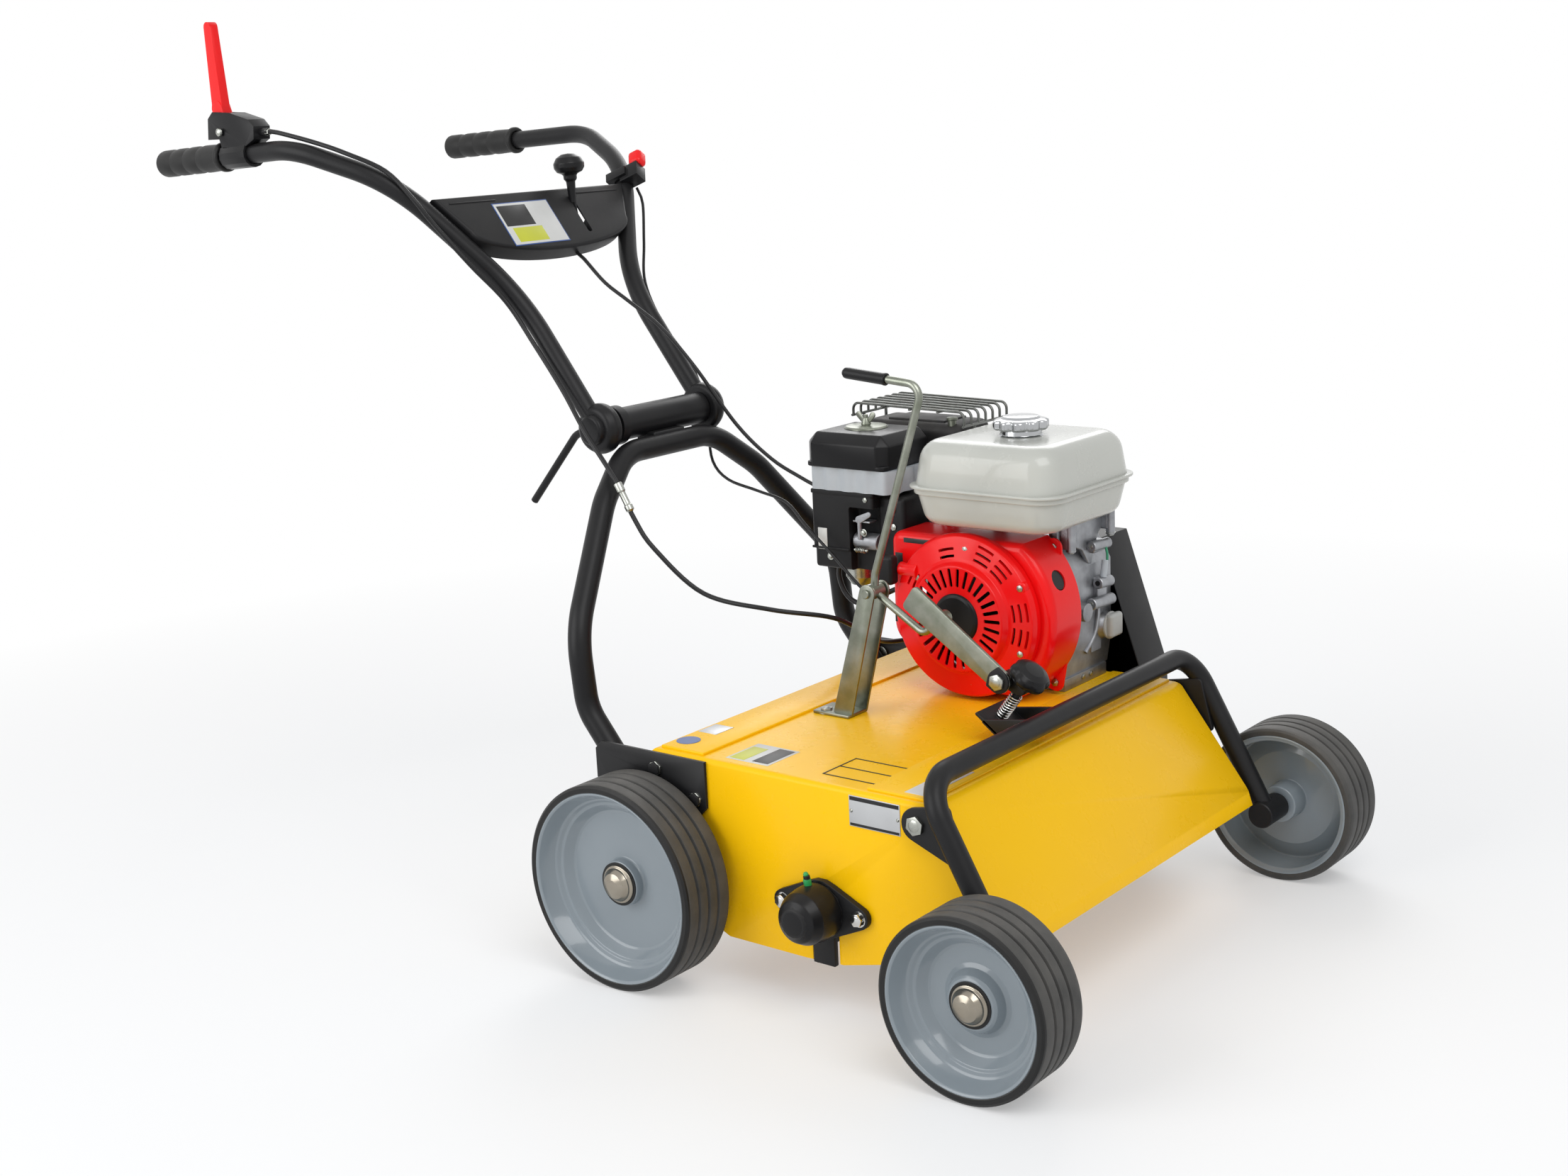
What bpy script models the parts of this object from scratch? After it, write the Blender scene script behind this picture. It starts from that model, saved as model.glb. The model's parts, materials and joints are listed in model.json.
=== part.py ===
# Lawn scarifier: a petrol engine on a sheet steel deck, a bladed rotor under it, four wheels,
# a front axle that a hand lever swings up and down, and a clamped handlebar with its controls.
# Sizes are in metres. X points forward, Y to the operator's left, Z up.
# Pieces are placed in the deck's frame, whose origin is the middle of the rear axle.

import math

import bmesh
import bpy
from mathutils import Matrix, Quaternion, Vector

GAP = 0.0003           # between pieces that touch
RUN = 0.0006           # radial running clearance of pins and shafts

# Wheels
REAR_TYRE_R = 0.127
FRONT_TYRE_R = 0.1015
TYRE_BAND = 0.009      # rubber that shows round the rim
TYRE_W = 0.075
WHEEL_SIDES = 18       # shared by tyre and rim; a flat facet lies on the ground
GROOVE_DEPTH = 0.003
HUB_R = 0.024
AXLE_R = 0.010
CAP_R = 0.0185
REAR_WHEEL_GAP = 0.012   # between the deck's side and a rear tyre
FRONT_WHEEL_GAP = 0.028  # between the axle frame's leg and a front tyre
WHEELBASE = 0.512
FRONT_AXLE_DROP = 0.0105

# Deck
DECK_W = 0.550
SHEET = 0.003
DECK_TOP = 0.149
DECK_BACK = 0.003
DECK_FRONT = 0.401
REAR_PANEL_FOOT = 0.025
DECK_FOOT = -0.064
LIP_X = 0.499
LIP_Z = 0.0185
LIP_FLANGE = 0.015
STRIP_H = 0.003
REAR_STRIP = 0.074
FRONT_STRIP = 0.090
SIDE_Y = DECK_W / 2
REAR_TRACK = SIDE_Y + REAR_WHEEL_GAP + TYRE_W    # outer face of the rear tyres from the middle

# Rotor
ROTOR_X = 0.252
ROTOR_Z = 0.003
ROTOR_SHAFT_R = 0.0125
ROTOR_TUBE_R = 0.022
BLADE_R = 0.105
BLADE_T = 0.003
BLADE_COUNT = 12
BLADE_ARMS = 3
BLADE_PITCH = 0.042
SLOT_W = 0.038
BEARING_R = 0.031
BEARING_DEPTH = 0.034
BEARING_BOLT_SPAN = 0.105
FLANGE_T = 0.008

# Belt drive, on the machine's left
BELT_Y = SIDE_Y + 0.026
BELT_W = 0.009
BELT_T = 0.008
PULLEY_W = 0.024
ROTOR_PULLEY_R = 0.052
CRANK_PULLEY_R = 0.034
GUARD_DEPTH = 0.068
ARM_PIVOT = (0.150, 0.125)
ARM_CABLE = (0.118, 0.185)
IDLER = (0.170, 0.075)
ARM_T = 0.005
ARM_Y = BELT_Y - 0.0125

# Engine
CRANK_X = 0.215
CRANK_H = 0.107        # crankshaft over the deck
COVER_Y = 0.055        # face of the recoil cover
SHROUD_Y = 0.085
SHROUD_BACK = 0.150
SHROUD_R = 0.120
COVER_R = 0.103
COVER_SIDES = 20
ENGINE_FACE = SIDE_Y - 0.0025   # the side that the belt is on
CRANK_R = 0.0125
FAN_R = 0.082
STARTER_R = 0.026
SLOT_COUNT = 26
SLOT_IN = 0.036
SLOT_OUT = 0.057
TANK = (0.152, 0.350, 0.053, 0.249)
SHROUD_RISE = 0.094    # top of the shroud over the crankshaft
TANK_GAP = 0.022       # between the shroud and the tank
TANK_SEAM_H = 0.043
TANK_H = 0.102
FUEL_CAP_R = 0.036

# Handlebar and its arch
BAR_R = 0.0125
BAR_Y = 0.103
BAR_X = -0.214
BAR_Z = 0.488
CROSS_R = 0.021
DISC_R = 0.032
DISC_T = 0.010
ARCH_R = 0.0145
LEG_Y = SIDE_Y - 0.0155
GRIP_R = 0.018
GRIP_L = 0.143
GRIP_SIDES = 12
GRIP_END = 0.003
BRACKET_T = 0.004

# Front axle and its lift gear
FRAME_R = 0.0125
FRAME_Y = SIDE_Y + 0.019
FRONT_TRACK = FRAME_Y + FRONT_WHEEL_GAP + TYRE_W
CROSSBAR_X = 0.405
CROSSBAR_Z = 0.182
PIVOT_X = 0.387
PIVOT_Z = 0.128
LEVER_X = 0.167
LEVER_Z = 0.307
LEVER_Y = -0.045
LEVER_ROD_R = 0.0055
LINK_Y = -0.060
LINK_T = 0.005
CRANK_PIN = (0.265, 0.286)
LINK_BOLT = (0.352, 0.226)
LINK_BOLT_R = 0.004
CRANK_PIN_R = 0.0045
PIN_TRAVEL = 0.0135    # how far the crank pin slides along the link's slot
PIN_SIDE_PLAY = 0.0022
KNOB = (0.3792, 0.2276)
KNOB_R = 0.0205
KNOB_FOOT = 0.003
SPINDLE_R = 0.0048
BLOCK_R = 0.009
SPRING_R = 0.0078
SPRING_WIRE = 0.0012
SPRING_CURLS = 8
CURL_POINTS = 8

# Controls
CONSOLE_TOP = 0.0155   # face of the console over the plane of the tubes
CONSOLE_DEPTH = 0.0255
CONSOLE_WALL = 0.0025
COLLAR_R = 0.0252
THROTTLE_Y = 0.060
THROTTLE_PIVOT = (-0.386, 0.7146)
TRIGGER_PIVOT = (-0.688, 0.8745)
CABLE_STEP = 0.045

CRANK_Z = DECK_TOP + CRANK_H
SHROUD_TOP = CRANK_Z + SHROUD_RISE
TANK_FOOT = SHROUD_TOP + TANK_GAP
TANK_SEAM = TANK_FOOT + TANK_SEAM_H
TANK_TOP = TANK_FOOT + TANK_H
FLAT = math.cos(math.pi / WHEEL_SIDES)
REAR_AXLE_H = REAR_TYRE_R * FLAT
FRONT_AXLE_H = FRONT_TYRE_R * FLAT
PITCH = (math.asin((REAR_AXLE_H - FRONT_AXLE_H) / math.hypot(WHEELBASE, FRONT_AXLE_DROP))
         - math.atan2(FRONT_AXLE_DROP, WHEELBASE))

# The handlebar's bends, from the cross tube to the end of the grip
BAR_PATH = [(BAR_X, BAR_Y, BAR_Z), (-0.338, 0.103, 0.652), (-0.436, 0.212, 0.802),
            (-0.560, 0.268, 0.850), (-0.838, 0.260, 0.836)]
BAR_BENDS = [0.22, 0.20, 0.12]

# Cable routes
CLUTCH_CABLE = [(-0.6055, -0.2652, 0.8725), (-0.588, -0.2656, 0.871), (-0.530, -0.256, 0.857),
                (-0.486, -0.2435, 0.842), (-0.441, -0.220, 0.818), (-0.408, -0.208, 0.783),
                (-0.392, -0.193, 0.752), (-0.361, -0.163, 0.697), (-0.335, -0.131, 0.648),
                (-0.297, -0.123, 0.593), (-0.250, -0.126, 0.538), (-0.205, -0.136, 0.488),
                (-0.150, -0.145, 0.433), (-0.123, -0.145, 0.388), (-0.095, -0.142, 0.352),
                (-0.036, -0.122, 0.298), (0.050, -0.100, 0.283), (0.100, -0.040, 0.265),
                (0.098, 0.030, 0.228), (0.080, 0.100, 0.200), (0.092, 0.190, 0.190),
                (0.116, 0.255, 0.187), (0.118, 0.2855, 0.185)]
THROTTLE_CABLE = [(-0.386, 0.0485, 0.7146), (-0.3865, 0.042, 0.7135), (-0.384, 0.030, 0.692),
                  (-0.355, 0.022, 0.678), (-0.270, 0.020, 0.650), (-0.205, 0.030, 0.595),
                  (-0.160, 0.060, 0.500), (-0.110, 0.095, 0.420), (-0.050, 0.112, 0.383),
                  (-0.0223, 0.112, 0.381)]
STOP_WIRE = [(-0.408, 0.206, 0.772), (-0.394, 0.201, 0.750), (-0.365, 0.167, 0.699),
             (-0.334, 0.131, 0.648), (-0.297, 0.122, 0.593), (-0.252, 0.124, 0.540),
             (-0.240, 0.132, 0.490), (-0.229, 0.125, 0.452), (-0.207, 0.103, 0.412),
             (-0.161, 0.098, 0.400), (-0.115, 0.092, 0.379), (-0.060, 0.085, 0.350),
             (0.000, 0.084, 0.315), (0.060, 0.090, 0.262), (0.092, 0.100, 0.246), (0.1056, 0.100, 0.246)]


def clear_scene():
    for ob in list(bpy.data.objects):
        bpy.data.objects.remove(ob, do_unlink=True)


clear_scene()
PARTS = bpy.data.collections.new("lawn_scarifier")
CUTTERS = bpy.data.collections.new("cutters")
for group in (PARTS, CUTTERS):
    bpy.context.scene.collection.children.link(group)


def material(name, colour, roughness, metallic=0.0):
    mat = bpy.data.materials.new(name)
    mat.use_nodes = True
    shader = mat.node_tree.nodes["Principled BSDF"]
    shader.inputs["Base Color"].default_value = (*colour, 1.0)
    shader.inputs["Roughness"].default_value = roughness
    shader.inputs["Metallic"].default_value = metallic
    return mat


YELLOW = material("yellow_paint", (0.95, 0.52, 0.01), 0.30)
BLACK = material("black_paint", (0.012, 0.012, 0.014), 0.35)
RUBBER = material("rubber", (0.020, 0.020, 0.021), 0.75)
GREY = material("wheel_grey", (0.28, 0.33, 0.37), 0.35)
STEEL = material("steel", (0.55, 0.54, 0.50), 0.25, 1.0)
ZINC = material("zinc_plate", (0.58, 0.60, 0.56), 0.35, 1.0)
ALLOY = material("cast_alloy", (0.50, 0.51, 0.52), 0.50, 1.0)
RED = material("red_enamel", (0.80, 0.01, 0.01), 0.25)
CREAM = material("cream_paint", (0.78, 0.77, 0.70), 0.30)
WHITE = material("white_plastic", (0.75, 0.78, 0.80), 0.50)
PLASTIC = material("black_plastic", (0.015, 0.015, 0.017), 0.45)


def frame_empty(name, place, pitch):
    ob = bpy.data.objects.new(name, None)
    ob.location = place
    ob.rotation_euler = (0.0, pitch, 0.0)
    PARTS.objects.link(ob)
    return ob


def turned_x(x, z):
    """World x of a point of the deck's frame, before the whole is centred."""
    return x * math.cos(PITCH) + z * math.sin(PITCH)


FRONT_REACH = turned_x(WHEELBASE, -FRONT_AXLE_DROP) + FRONT_TYRE_R
REAR_REACH = turned_x(BAR_PATH[-1][0] - GRIP_END, BAR_PATH[-1][2] - GRIP_R)
DECK = frame_empty("deck_frame", (-(FRONT_REACH + REAR_REACH) / 2, 0.0, REAR_AXLE_H), PITCH)


def place(ob, mat=None, cutter=False):
    ob.parent = DECK
    if cutter:
        CUTTERS.objects.link(ob)
        ob.hide_render = True
        ob.display_type = "WIRE"
    else:
        PARTS.objects.link(ob)
        ob.data.materials.append(mat)
    return ob


def from_bmesh(name, bm, mat=None, cutter=False):
    mesh = bpy.data.meshes.new(name)
    bm.to_mesh(mesh)
    bm.free()
    return place(bpy.data.objects.new(name, mesh), mat, cutter)


def box(name, low, high, mat=None, cutter=False):
    bm = bmesh.new()
    size = Matrix.Diagonal([h - l for l, h in zip(low, high)] + [1.0])
    bmesh.ops.create_cube(bm, size=1.0, matrix=size)
    ob = from_bmesh(name, bm, mat, cutter)
    ob.location = [(l + h) / 2 for l, h in zip(low, high)]
    return ob


def rod(name, start, end, radius, mat=None, cutter=False, sides=16, end_radius=None):
    start, end = Vector(start), Vector(end)
    bm = bmesh.new()
    bmesh.ops.create_cone(bm, cap_ends=True, segments=sides, radius1=radius,
                          radius2=radius if end_radius is None else end_radius,
                          depth=(end - start).length)
    ob = from_bmesh(name, bm, mat, cutter)
    ob.location = (start + end) / 2
    ob.rotation_euler = (end - start).to_track_quat("Z", "Y").to_euler()
    return ob


def turned(name, profile, centre, mat=None, cutter=False, steps=24, closed=False, axis=(0, 1, 0)):
    """Revolves (radius, height) points, outer side top to bottom, about an axis through centre."""
    mesh = bpy.data.meshes.new(name)
    count = len(profile)
    edges = [(i, i + 1) for i in range(count - 1)]
    if closed:
        edges.append((count - 1, 0))
    mesh.from_pydata([(r, 0.0, h) for r, h in profile], edges, [])
    ob = place(bpy.data.objects.new(name, mesh), mat, cutter)
    ob.location = centre
    ob.rotation_euler = Vector(axis).to_track_quat("Z", "X").to_euler()
    screw = ob.modifiers.new("turn", "SCREW")
    screw.steps = steps
    screw.render_steps = steps
    screw.use_merge_vertices = True
    screw.merge_threshold = 0.00001
    return ob


def plate(name, outline, thickness, y, mat=None, cutter=False, holes=()):
    """A flat piece in the X Z plane with its middle at y; outlines are lists of (x, z)."""
    curve = bpy.data.curves.new(name, "CURVE")
    curve.dimensions = "2D"
    curve.fill_mode = "BOTH"
    curve.extrude = thickness / 2
    for loop in (outline, *holes):
        spline = curve.splines.new("POLY")
        spline.points.add(len(loop) - 1)
        for point, (x, z) in zip(spline.points, loop):
            point.co = (x, z, 0.0, 1.0)
        spline.use_cyclic_u = True
    ob = bpy.data.objects.new(name, curve)
    ob.rotation_euler = (math.pi / 2, 0.0, 0.0)
    ob.location = (0.0, y, 0.0)
    return as_mesh(place(ob, mat, cutter), mat, cutter)


def tube(name, path, radius, mat=None, cutter=False, resolution=4):
    curve = bpy.data.curves.new(name, "CURVE")
    curve.dimensions = "3D"
    curve.bevel_depth = radius
    curve.bevel_resolution = resolution
    curve.use_fill_caps = True
    spline = curve.splines.new("POLY")
    spline.points.add(len(path) - 1)
    for point, co in zip(spline.points, path):
        point.co = (*co, 1.0)
    return place(bpy.data.objects.new(name, curve), mat, cutter)


def as_mesh(ob, mat=None, cutter=False):
    """Turns a curve object into a closed mesh object with welded caps."""
    bpy.context.view_layer.update()
    seen = ob.evaluated_get(bpy.context.evaluated_depsgraph_get())
    mesh = bpy.data.meshes.new_from_object(seen)
    bm = bmesh.new()
    bm.from_mesh(mesh)
    bmesh.ops.remove_doubles(bm, verts=bm.verts, dist=0.00001)
    bmesh.ops.recalc_face_normals(bm, faces=bm.faces)
    bmesh.ops.dissolve_limit(bm, angle_limit=0.01, verts=bm.verts, edges=bm.edges)
    bm.to_mesh(mesh)
    bm.free()
    mesh.materials.clear()
    solid = bpy.data.objects.new(ob.name, mesh)
    matrix = ob.matrix_local.copy()
    name = ob.name
    bpy.data.objects.remove(ob, do_unlink=True)
    solid.name = name
    place(solid, mat, cutter)
    solid.matrix_local = matrix
    return solid


def solid_tube(name, path, radius, mat=None, cutter=False, resolution=4):
    return as_mesh(tube(name, path, radius, mat, cutter, resolution), mat, cutter)


def boolean(ob, other, operation):
    step = ob.modifiers.new(other.name, "BOOLEAN")
    step.operation = operation
    step.solver = "EXACT"
    step.object = other


def cut(ob, *cutters):
    for cutter in cutters:
        boolean(ob, cutter, "DIFFERENCE")


def join(ob, *pieces):
    for piece in pieces:
        boolean(ob, piece, "UNION")


def rounded(ob, width, segments=2, angle=0.6):
    bevel = ob.modifiers.new("rounded", "BEVEL")
    bevel.width = width
    bevel.segments = segments
    bevel.limit_method = "ANGLE"
    bevel.angle_limit = angle
    return ob


def smooth(ob, angle=0.6):
    ob.data.shade_smooth()
    ob.data.set_sharp_from_angle(angle=angle)
    return ob


def origin_at(ob, x, y, z):
    """Moves a mesh object's origin to a joint's axis and leaves its surface where it was."""
    point = Vector((x, y, z))
    ob.data.transform(Matrix.Translation(-point) @ ob.matrix_basis)
    ob.matrix_basis = Matrix.Translation(point)
    return ob


def circle(x, z, radius, count, start=0.0):
    return [(x + radius * math.cos(start + math.tau * i / count),
             z + radius * math.sin(start + math.tau * i / count)) for i in range(count)]


def hull(*discs, count=16):
    """Outline of a belt drawn tightly round discs given as (x, z, radius)."""
    points = sorted({(round(x, 6), round(z, 6)) for disc in discs for x, z in circle(*disc, count)})

    def half(run):
        chain = []
        for p in run:
            while len(chain) > 1 and ((chain[-1][0] - chain[-2][0]) * (p[1] - chain[-2][1])
                                      <= (chain[-1][1] - chain[-2][1]) * (p[0] - chain[-2][0])):
                chain.pop()
            chain.append(p)
        return chain[:-1]

    return half(points) + half(points[::-1])


def bent(points, radii, pieces=5):
    """A path of straight runs joined by arcs of the given radii."""
    corners = [Vector(p) for p in points]
    path = [corners[0]]
    for before, corner, after, radius in zip(corners, corners[1:], corners[2:], radii):
        back = (before - corner).normalized()
        ahead = (after - corner).normalized()
        half = back.angle(ahead) / 2
        start = corner + back * radius / math.tan(half)
        middle = corner + (back + ahead).normalized() * radius / math.sin(half)
        axis = back.cross(ahead)
        sweep = -(math.pi - 2 * half)
        for i in range(pieces + 1):
            path.append(middle + Quaternion(axis, sweep * i / pieces) @ (start - middle))
    path.append(corners[-1])
    return path


def flowing(points, spacing):
    """Points along a smooth curve through a cord's own route."""
    knots = [Vector(p) for p in points]
    knots = [2 * knots[0] - knots[1], *knots, 2 * knots[-1] - knots[-2]]
    path = []
    for a, b, c, d in zip(knots, knots[1:], knots[2:], knots[3:]):
        steps = max(1, round((c - b).length / spacing))
        for i in range(steps):
            t = i / steps
            path.append(0.5 * (2 * b + (c - a) * t + (2 * a - 5 * b + 4 * c - d) * t ** 2
                               + (3 * b - a - 3 * c + d) * t ** 3))
    path.append(knots[-2])
    return path


def mirrored(path):
    return [(x, -y, z) for x, y, z in path]


def bore(radius, clearance=RUN, sides=16):
    """Radius of a faceted hole that clears a round shaft all the way round."""
    return (radius + clearance) / math.cos(math.pi / sides)


# Wheels

def tyre_profile(tyre_r, seat_r):
    lip = seat_r + 0.004
    half = TYRE_W / 2
    points = [(lip + GAP, half), (tyre_r, half - 0.004)]
    for middle in (half * 0.35, -half * 0.35):
        points += [(tyre_r, middle + 0.003), (tyre_r - GROOVE_DEPTH, middle), (tyre_r, middle - 0.003)]
    points += [(tyre_r, 0.004 - half), (lip + GAP, -half)]
    points += [(seat_r + GAP, 0.005 - half), (seat_r + GAP, half - 0.005)]
    return points


def rim_profile(seat_r):
    lip = seat_r + 0.004
    half = TYRE_W / 2
    face = half - 0.034
    hole = bore(AXLE_R, sides=WHEEL_SIDES)
    return [(hole, face + 0.012), (HUB_R - 0.003, face + 0.012), (HUB_R + 0.002, face + 0.001),
            (seat_r * 0.64, face - 0.002), (seat_r * 0.71, face + 0.008),
            (seat_r - 0.004, face + 0.012), (seat_r - 0.003, half - 0.003), (lip, half),
            (seat_r, half - 0.005 - GAP), (seat_r, 0.005 - half + GAP), (lip, -half),
            (seat_r - 0.003, 0.002 - half), (seat_r - 0.003, face + 0.007), (HUB_R, face - 0.005),
            (HUB_R, -half + 0.004), (hole, -half + 0.004)]


def wheel(name, x, z, side, track, tyre_r):
    """One wheel; side is -1 on the machine's right and 1 on its left."""
    centre = (x, side * (track - TYRE_W / 2), z)
    seat_r = tyre_r - TYRE_BAND - 0.004
    outward = (0, side, 0)
    tyre = turned(name + "_tyre", tyre_profile(tyre_r, seat_r), centre, RUBBER,
                  steps=WHEEL_SIDES, closed=True, axis=outward)
    rim = turned(name + "_rim", rim_profile(seat_r), centre, GREY,
                 steps=WHEEL_SIDES, closed=True, axis=outward)
    base = TYRE_W / 2 - 0.022 + GAP
    cap = turned(name + "_hub_cap", [(0.0, base + 0.013), (CAP_R * 0.55, base + 0.011),
                                     (CAP_R * 0.88, base + 0.006), (CAP_R, base), (0.0, base)],
                 centre, STEEL, steps=12, axis=outward)
    half_facet = Matrix.Rotation(math.pi / WHEEL_SIDES, 4, "Z")
    for ob in (tyre, rim, cap):
        turn = ob.rotation_euler.to_matrix().to_4x4()
        ob.rotation_euler = (Matrix.Rotation(-PITCH, 4, "Y") @ turn @ half_facet).to_euler()


def hub_face(track):
    """How far out an axle reaches, just under the hub cap."""
    return track - 0.022 - 0.0005


def make_wheels():
    for side, hand in ((-1, "right"), (1, "left")):
        wheel("rear_" + hand, 0.0, 0.0, side, REAR_TRACK, REAR_TYRE_R)
        wheel("front_" + hand, WHEELBASE, -FRONT_AXLE_DROP, side, FRONT_TRACK, FRONT_TYRE_R)
    axle = rod("rear_axle", (0, -hub_face(REAR_TRACK), 0), (0, hub_face(REAR_TRACK), 0), AXLE_R, STEEL)
    for side in (-1, 1):
        join(axle, rod("axle_spacer_%d" % side, (0, side * (SIDE_Y + 2 * GAP + BRACKET_T), 0),
                       (0, side * (REAR_TRACK - TYRE_W + 0.0035), 0), 0.016, cutter=True,
                       sides=12))


# Deck housing

def make_deck():
    lip_dx, lip_dz = 0.005, -LIP_FLANGE
    outline = [(DECK_BACK, DECK_TOP), (DECK_FRONT, DECK_TOP), (LIP_X, LIP_Z),
               (LIP_X + lip_dx, LIP_Z + lip_dz), (0.325, -0.049), (0.276, -0.061),
               (0.224, DECK_FOOT), (0.110, DECK_FOOT), (0.045, -0.035), (DECK_BACK, REAR_PANEL_FOOT)]
    ob = plate("deck_housing", outline, DECK_W, 0.0, YELLOW)
    bm = bmesh.new()
    bm.from_mesh(ob.data)
    fold = [e for e in bm.edges if len(e.link_faces) == 2 and e.calc_face_angle() > 0.5
            and all(v.co.y > DECK_TOP - 0.0001 for v in e.verts)]
    bmesh.ops.bevel(bm, geom=fold, offset=0.007, segments=2, affect="EDGES", profile=0.5)
    open_below = [f for f in bm.faces if abs(f.normal.z) < 0.5 and f.calc_center_median().y < LIP_Z
                  and (f.normal.y < -0.3)]
    bmesh.ops.delete(bm, geom=open_below, context="FACES")
    bm.to_mesh(ob.data)
    bm.free()
    shell = ob.modifiers.new("sheet", "SOLIDIFY")
    shell.thickness = SHEET
    shell.offset = -1.0
    shell.use_even_offset = True
    inset = SIDE_Y - 0.008
    sunk = DECK_TOP - 0.001
    rear = box("rear_strip", (DECK_BACK + 0.009, -inset, sunk),
               (DECK_BACK + REAR_STRIP, inset, DECK_TOP + STRIP_H), cutter=True)
    front = box("front_strip", (DECK_FRONT - FRONT_STRIP, -inset, sunk),
                (DECK_FRONT - 0.009, inset, DECK_TOP + STRIP_H), cutter=True)
    join(ob, rear, front)
    for side in (-1, 1):
        hand = "left" if side > 0 else "right"
        cut(ob, box("bearing_slot_" + hand,
                    (ROTOR_X - SLOT_W / 2, side * SIDE_Y - 0.01, DECK_FOOT - 0.01),
                    (ROTOR_X + SLOT_W / 2, side * SIDE_Y + 0.01, ROTOR_Z + SLOT_W / 2), cutter=True))
        cut(ob, rod("pivot_hole_" + hand, (PIVOT_X, side * (SIDE_Y - 0.01), PIVOT_Z),
                    (PIVOT_X, side * (SIDE_Y + 0.01), PIVOT_Z), bore(0.006, sides=12),
                    cutter=True, sides=12))


def hex_bolt(name, x, y, z, side, head_r, shank_r, length, head_t=0.006):
    """Hexagon head outside and a shank that runs inward; side is the way the head faces."""
    head = rod(name + "_head", (x, y, z), (x, y + side * head_t, z), head_r, cutter=True, sides=6)
    shank = rod(name + "_shank", (x, y + side * head_t / 2, z), (x, y - side * length, z), shank_r,
                cutter=True, sides=12)
    return head, shank


def make_rear_brackets():
    for side, hand in ((-1, "right"), (1, "left")):
        y = side * (SIDE_Y + GAP + BRACKET_T / 2)
        outline = [(-0.084, 0.100), (-0.020, 0.010)] + [
            (0.024 * math.cos(a), 0.024 * math.sin(a)) for a in (math.radians(d) for d in range(200, 361, 32))
        ] + [(0.024, 0.010), (0.070, 0.072), (0.088, 0.090), (0.088, 0.146), (-0.074, 0.146), (-0.084, 0.136)]
        ob = plate("rear_bracket_" + hand, outline, BRACKET_T, y, BLACK,
                   holes=[circle(0, 0, bore(AXLE_R, 0.0001), 16)])
        outer = side * (SIDE_Y + GAP + BRACKET_T)
        for i, (x, z) in enumerate(((0.013, 0.127), (0.073, 0.099))):
            join(ob, rod("bracket_bolt_%s_%d" % (hand, i), (x, outer - side * 0.001, z),
                         (x, outer + side * 0.0055, z), 0.0085, cutter=True, sides=6))
        inner = side * (SIDE_Y + GAP)
        join(ob, rod("leg_boss_" + hand, (-0.060, inner + side * 0.001, 0.124),
                     (-0.060, side * (LEG_Y + ARCH_R + GAP), 0.124), 0.009, cutter=True, sides=12))


def make_arch():
    leg = [(-0.060, LEG_Y, 0.112), (-0.118, LEG_Y, 0.268), (-0.168, 0.150, 0.405), (-0.189, 0.085, 0.456)]
    path = leg + mirrored(leg[::-1])
    radii = [0.10, 0.12, 0.075, 0.075, 0.12, 0.10]
    solid_tube("lower_arch", bent(path, radii, 2), ARCH_R, BLACK, resolution=3)
    top = path[3]
    reach = BAR_Y - BAR_R - GAP
    cross = rod("cross_tube", (BAR_X, -reach, BAR_Z), (BAR_X, reach, BAR_Z), CROSS_R, BLACK, sides=20)
    saddle = box("saddle", (-0.218, -0.030, 0.4575), (-0.184, 0.030, 0.474), cutter=True)
    seat = rod("saddle_seat", (top[0], -0.1, top[2]), (top[0], 0.1, top[2]), bore(ARCH_R, GAP),
               cutter=True)
    cut(saddle, seat)
    join(cross, saddle)


# Rotor and its bearings

def blade_outline():
    """A blade with hooked arms round its boss."""
    points = []
    for i in range(BLADE_ARMS):
        a = math.tau * i / BLADE_ARMS
        for radius, turn in ((0.038, -0.50), (BLADE_R, -0.07), (BLADE_R, 0.06), (0.070, 0.19)):
            points.append((radius * math.cos(a + turn), radius * math.sin(a + turn)))
    return points


def make_rotor():
    inner = SIDE_Y - SHEET - 0.006
    end = SIDE_Y + GAP + BEARING_DEPTH - 0.001
    low = BELT_Y - PULLEY_W / 2
    high = BELT_Y + PULLEY_W / 2
    groove = ROTOR_PULLEY_R - BELT_T - 0.002
    profile = [(0.0, high + 0.006), (ROTOR_SHAFT_R, high + 0.006), (ROTOR_SHAFT_R, high),
               (ROTOR_PULLEY_R, high), (ROTOR_PULLEY_R, BELT_Y + 0.0065), (groove, BELT_Y + 0.0045),
               (groove, BELT_Y - 0.0045), (ROTOR_PULLEY_R, BELT_Y - 0.0065), (ROTOR_PULLEY_R, low),
               (ROTOR_SHAFT_R, low), (ROTOR_SHAFT_R, inner), (ROTOR_TUBE_R, inner),
               (ROTOR_TUBE_R, -inner), (ROTOR_SHAFT_R, -inner), (ROTOR_SHAFT_R, -end), (0.0, -end)]
    rotor = turned("rotor", profile, (ROTOR_X, 0, ROTOR_Z), BLACK, steps=12)
    bm = bmesh.new()
    outline = blade_outline()
    for i in range(BLADE_COUNT):
        y = (i - (BLADE_COUNT - 1) / 2) * BLADE_PITCH
        turn = Matrix.Rotation(math.tau * i * 2 / (BLADE_ARMS * 7), 4, "Y")
        rings = []
        for edge in (-BLADE_T / 2, BLADE_T / 2):
            rings.append([bm.verts.new(turn @ Vector((u, y + edge, v))) for u, v in outline])
        bm.faces.new(rings[0])
        bm.faces.new(rings[1][::-1])
        for j in range(len(outline)):
            k = (j + 1) % len(outline)
            bm.faces.new((rings[0][j], rings[1][j], rings[1][k], rings[0][k]))
    bmesh.ops.recalc_face_normals(bm, faces=bm.faces)
    blades = from_bmesh("blades", bm, cutter=True)
    blades.location = (ROTOR_X, 0, ROTOR_Z)
    join(rotor, blades)


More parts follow.
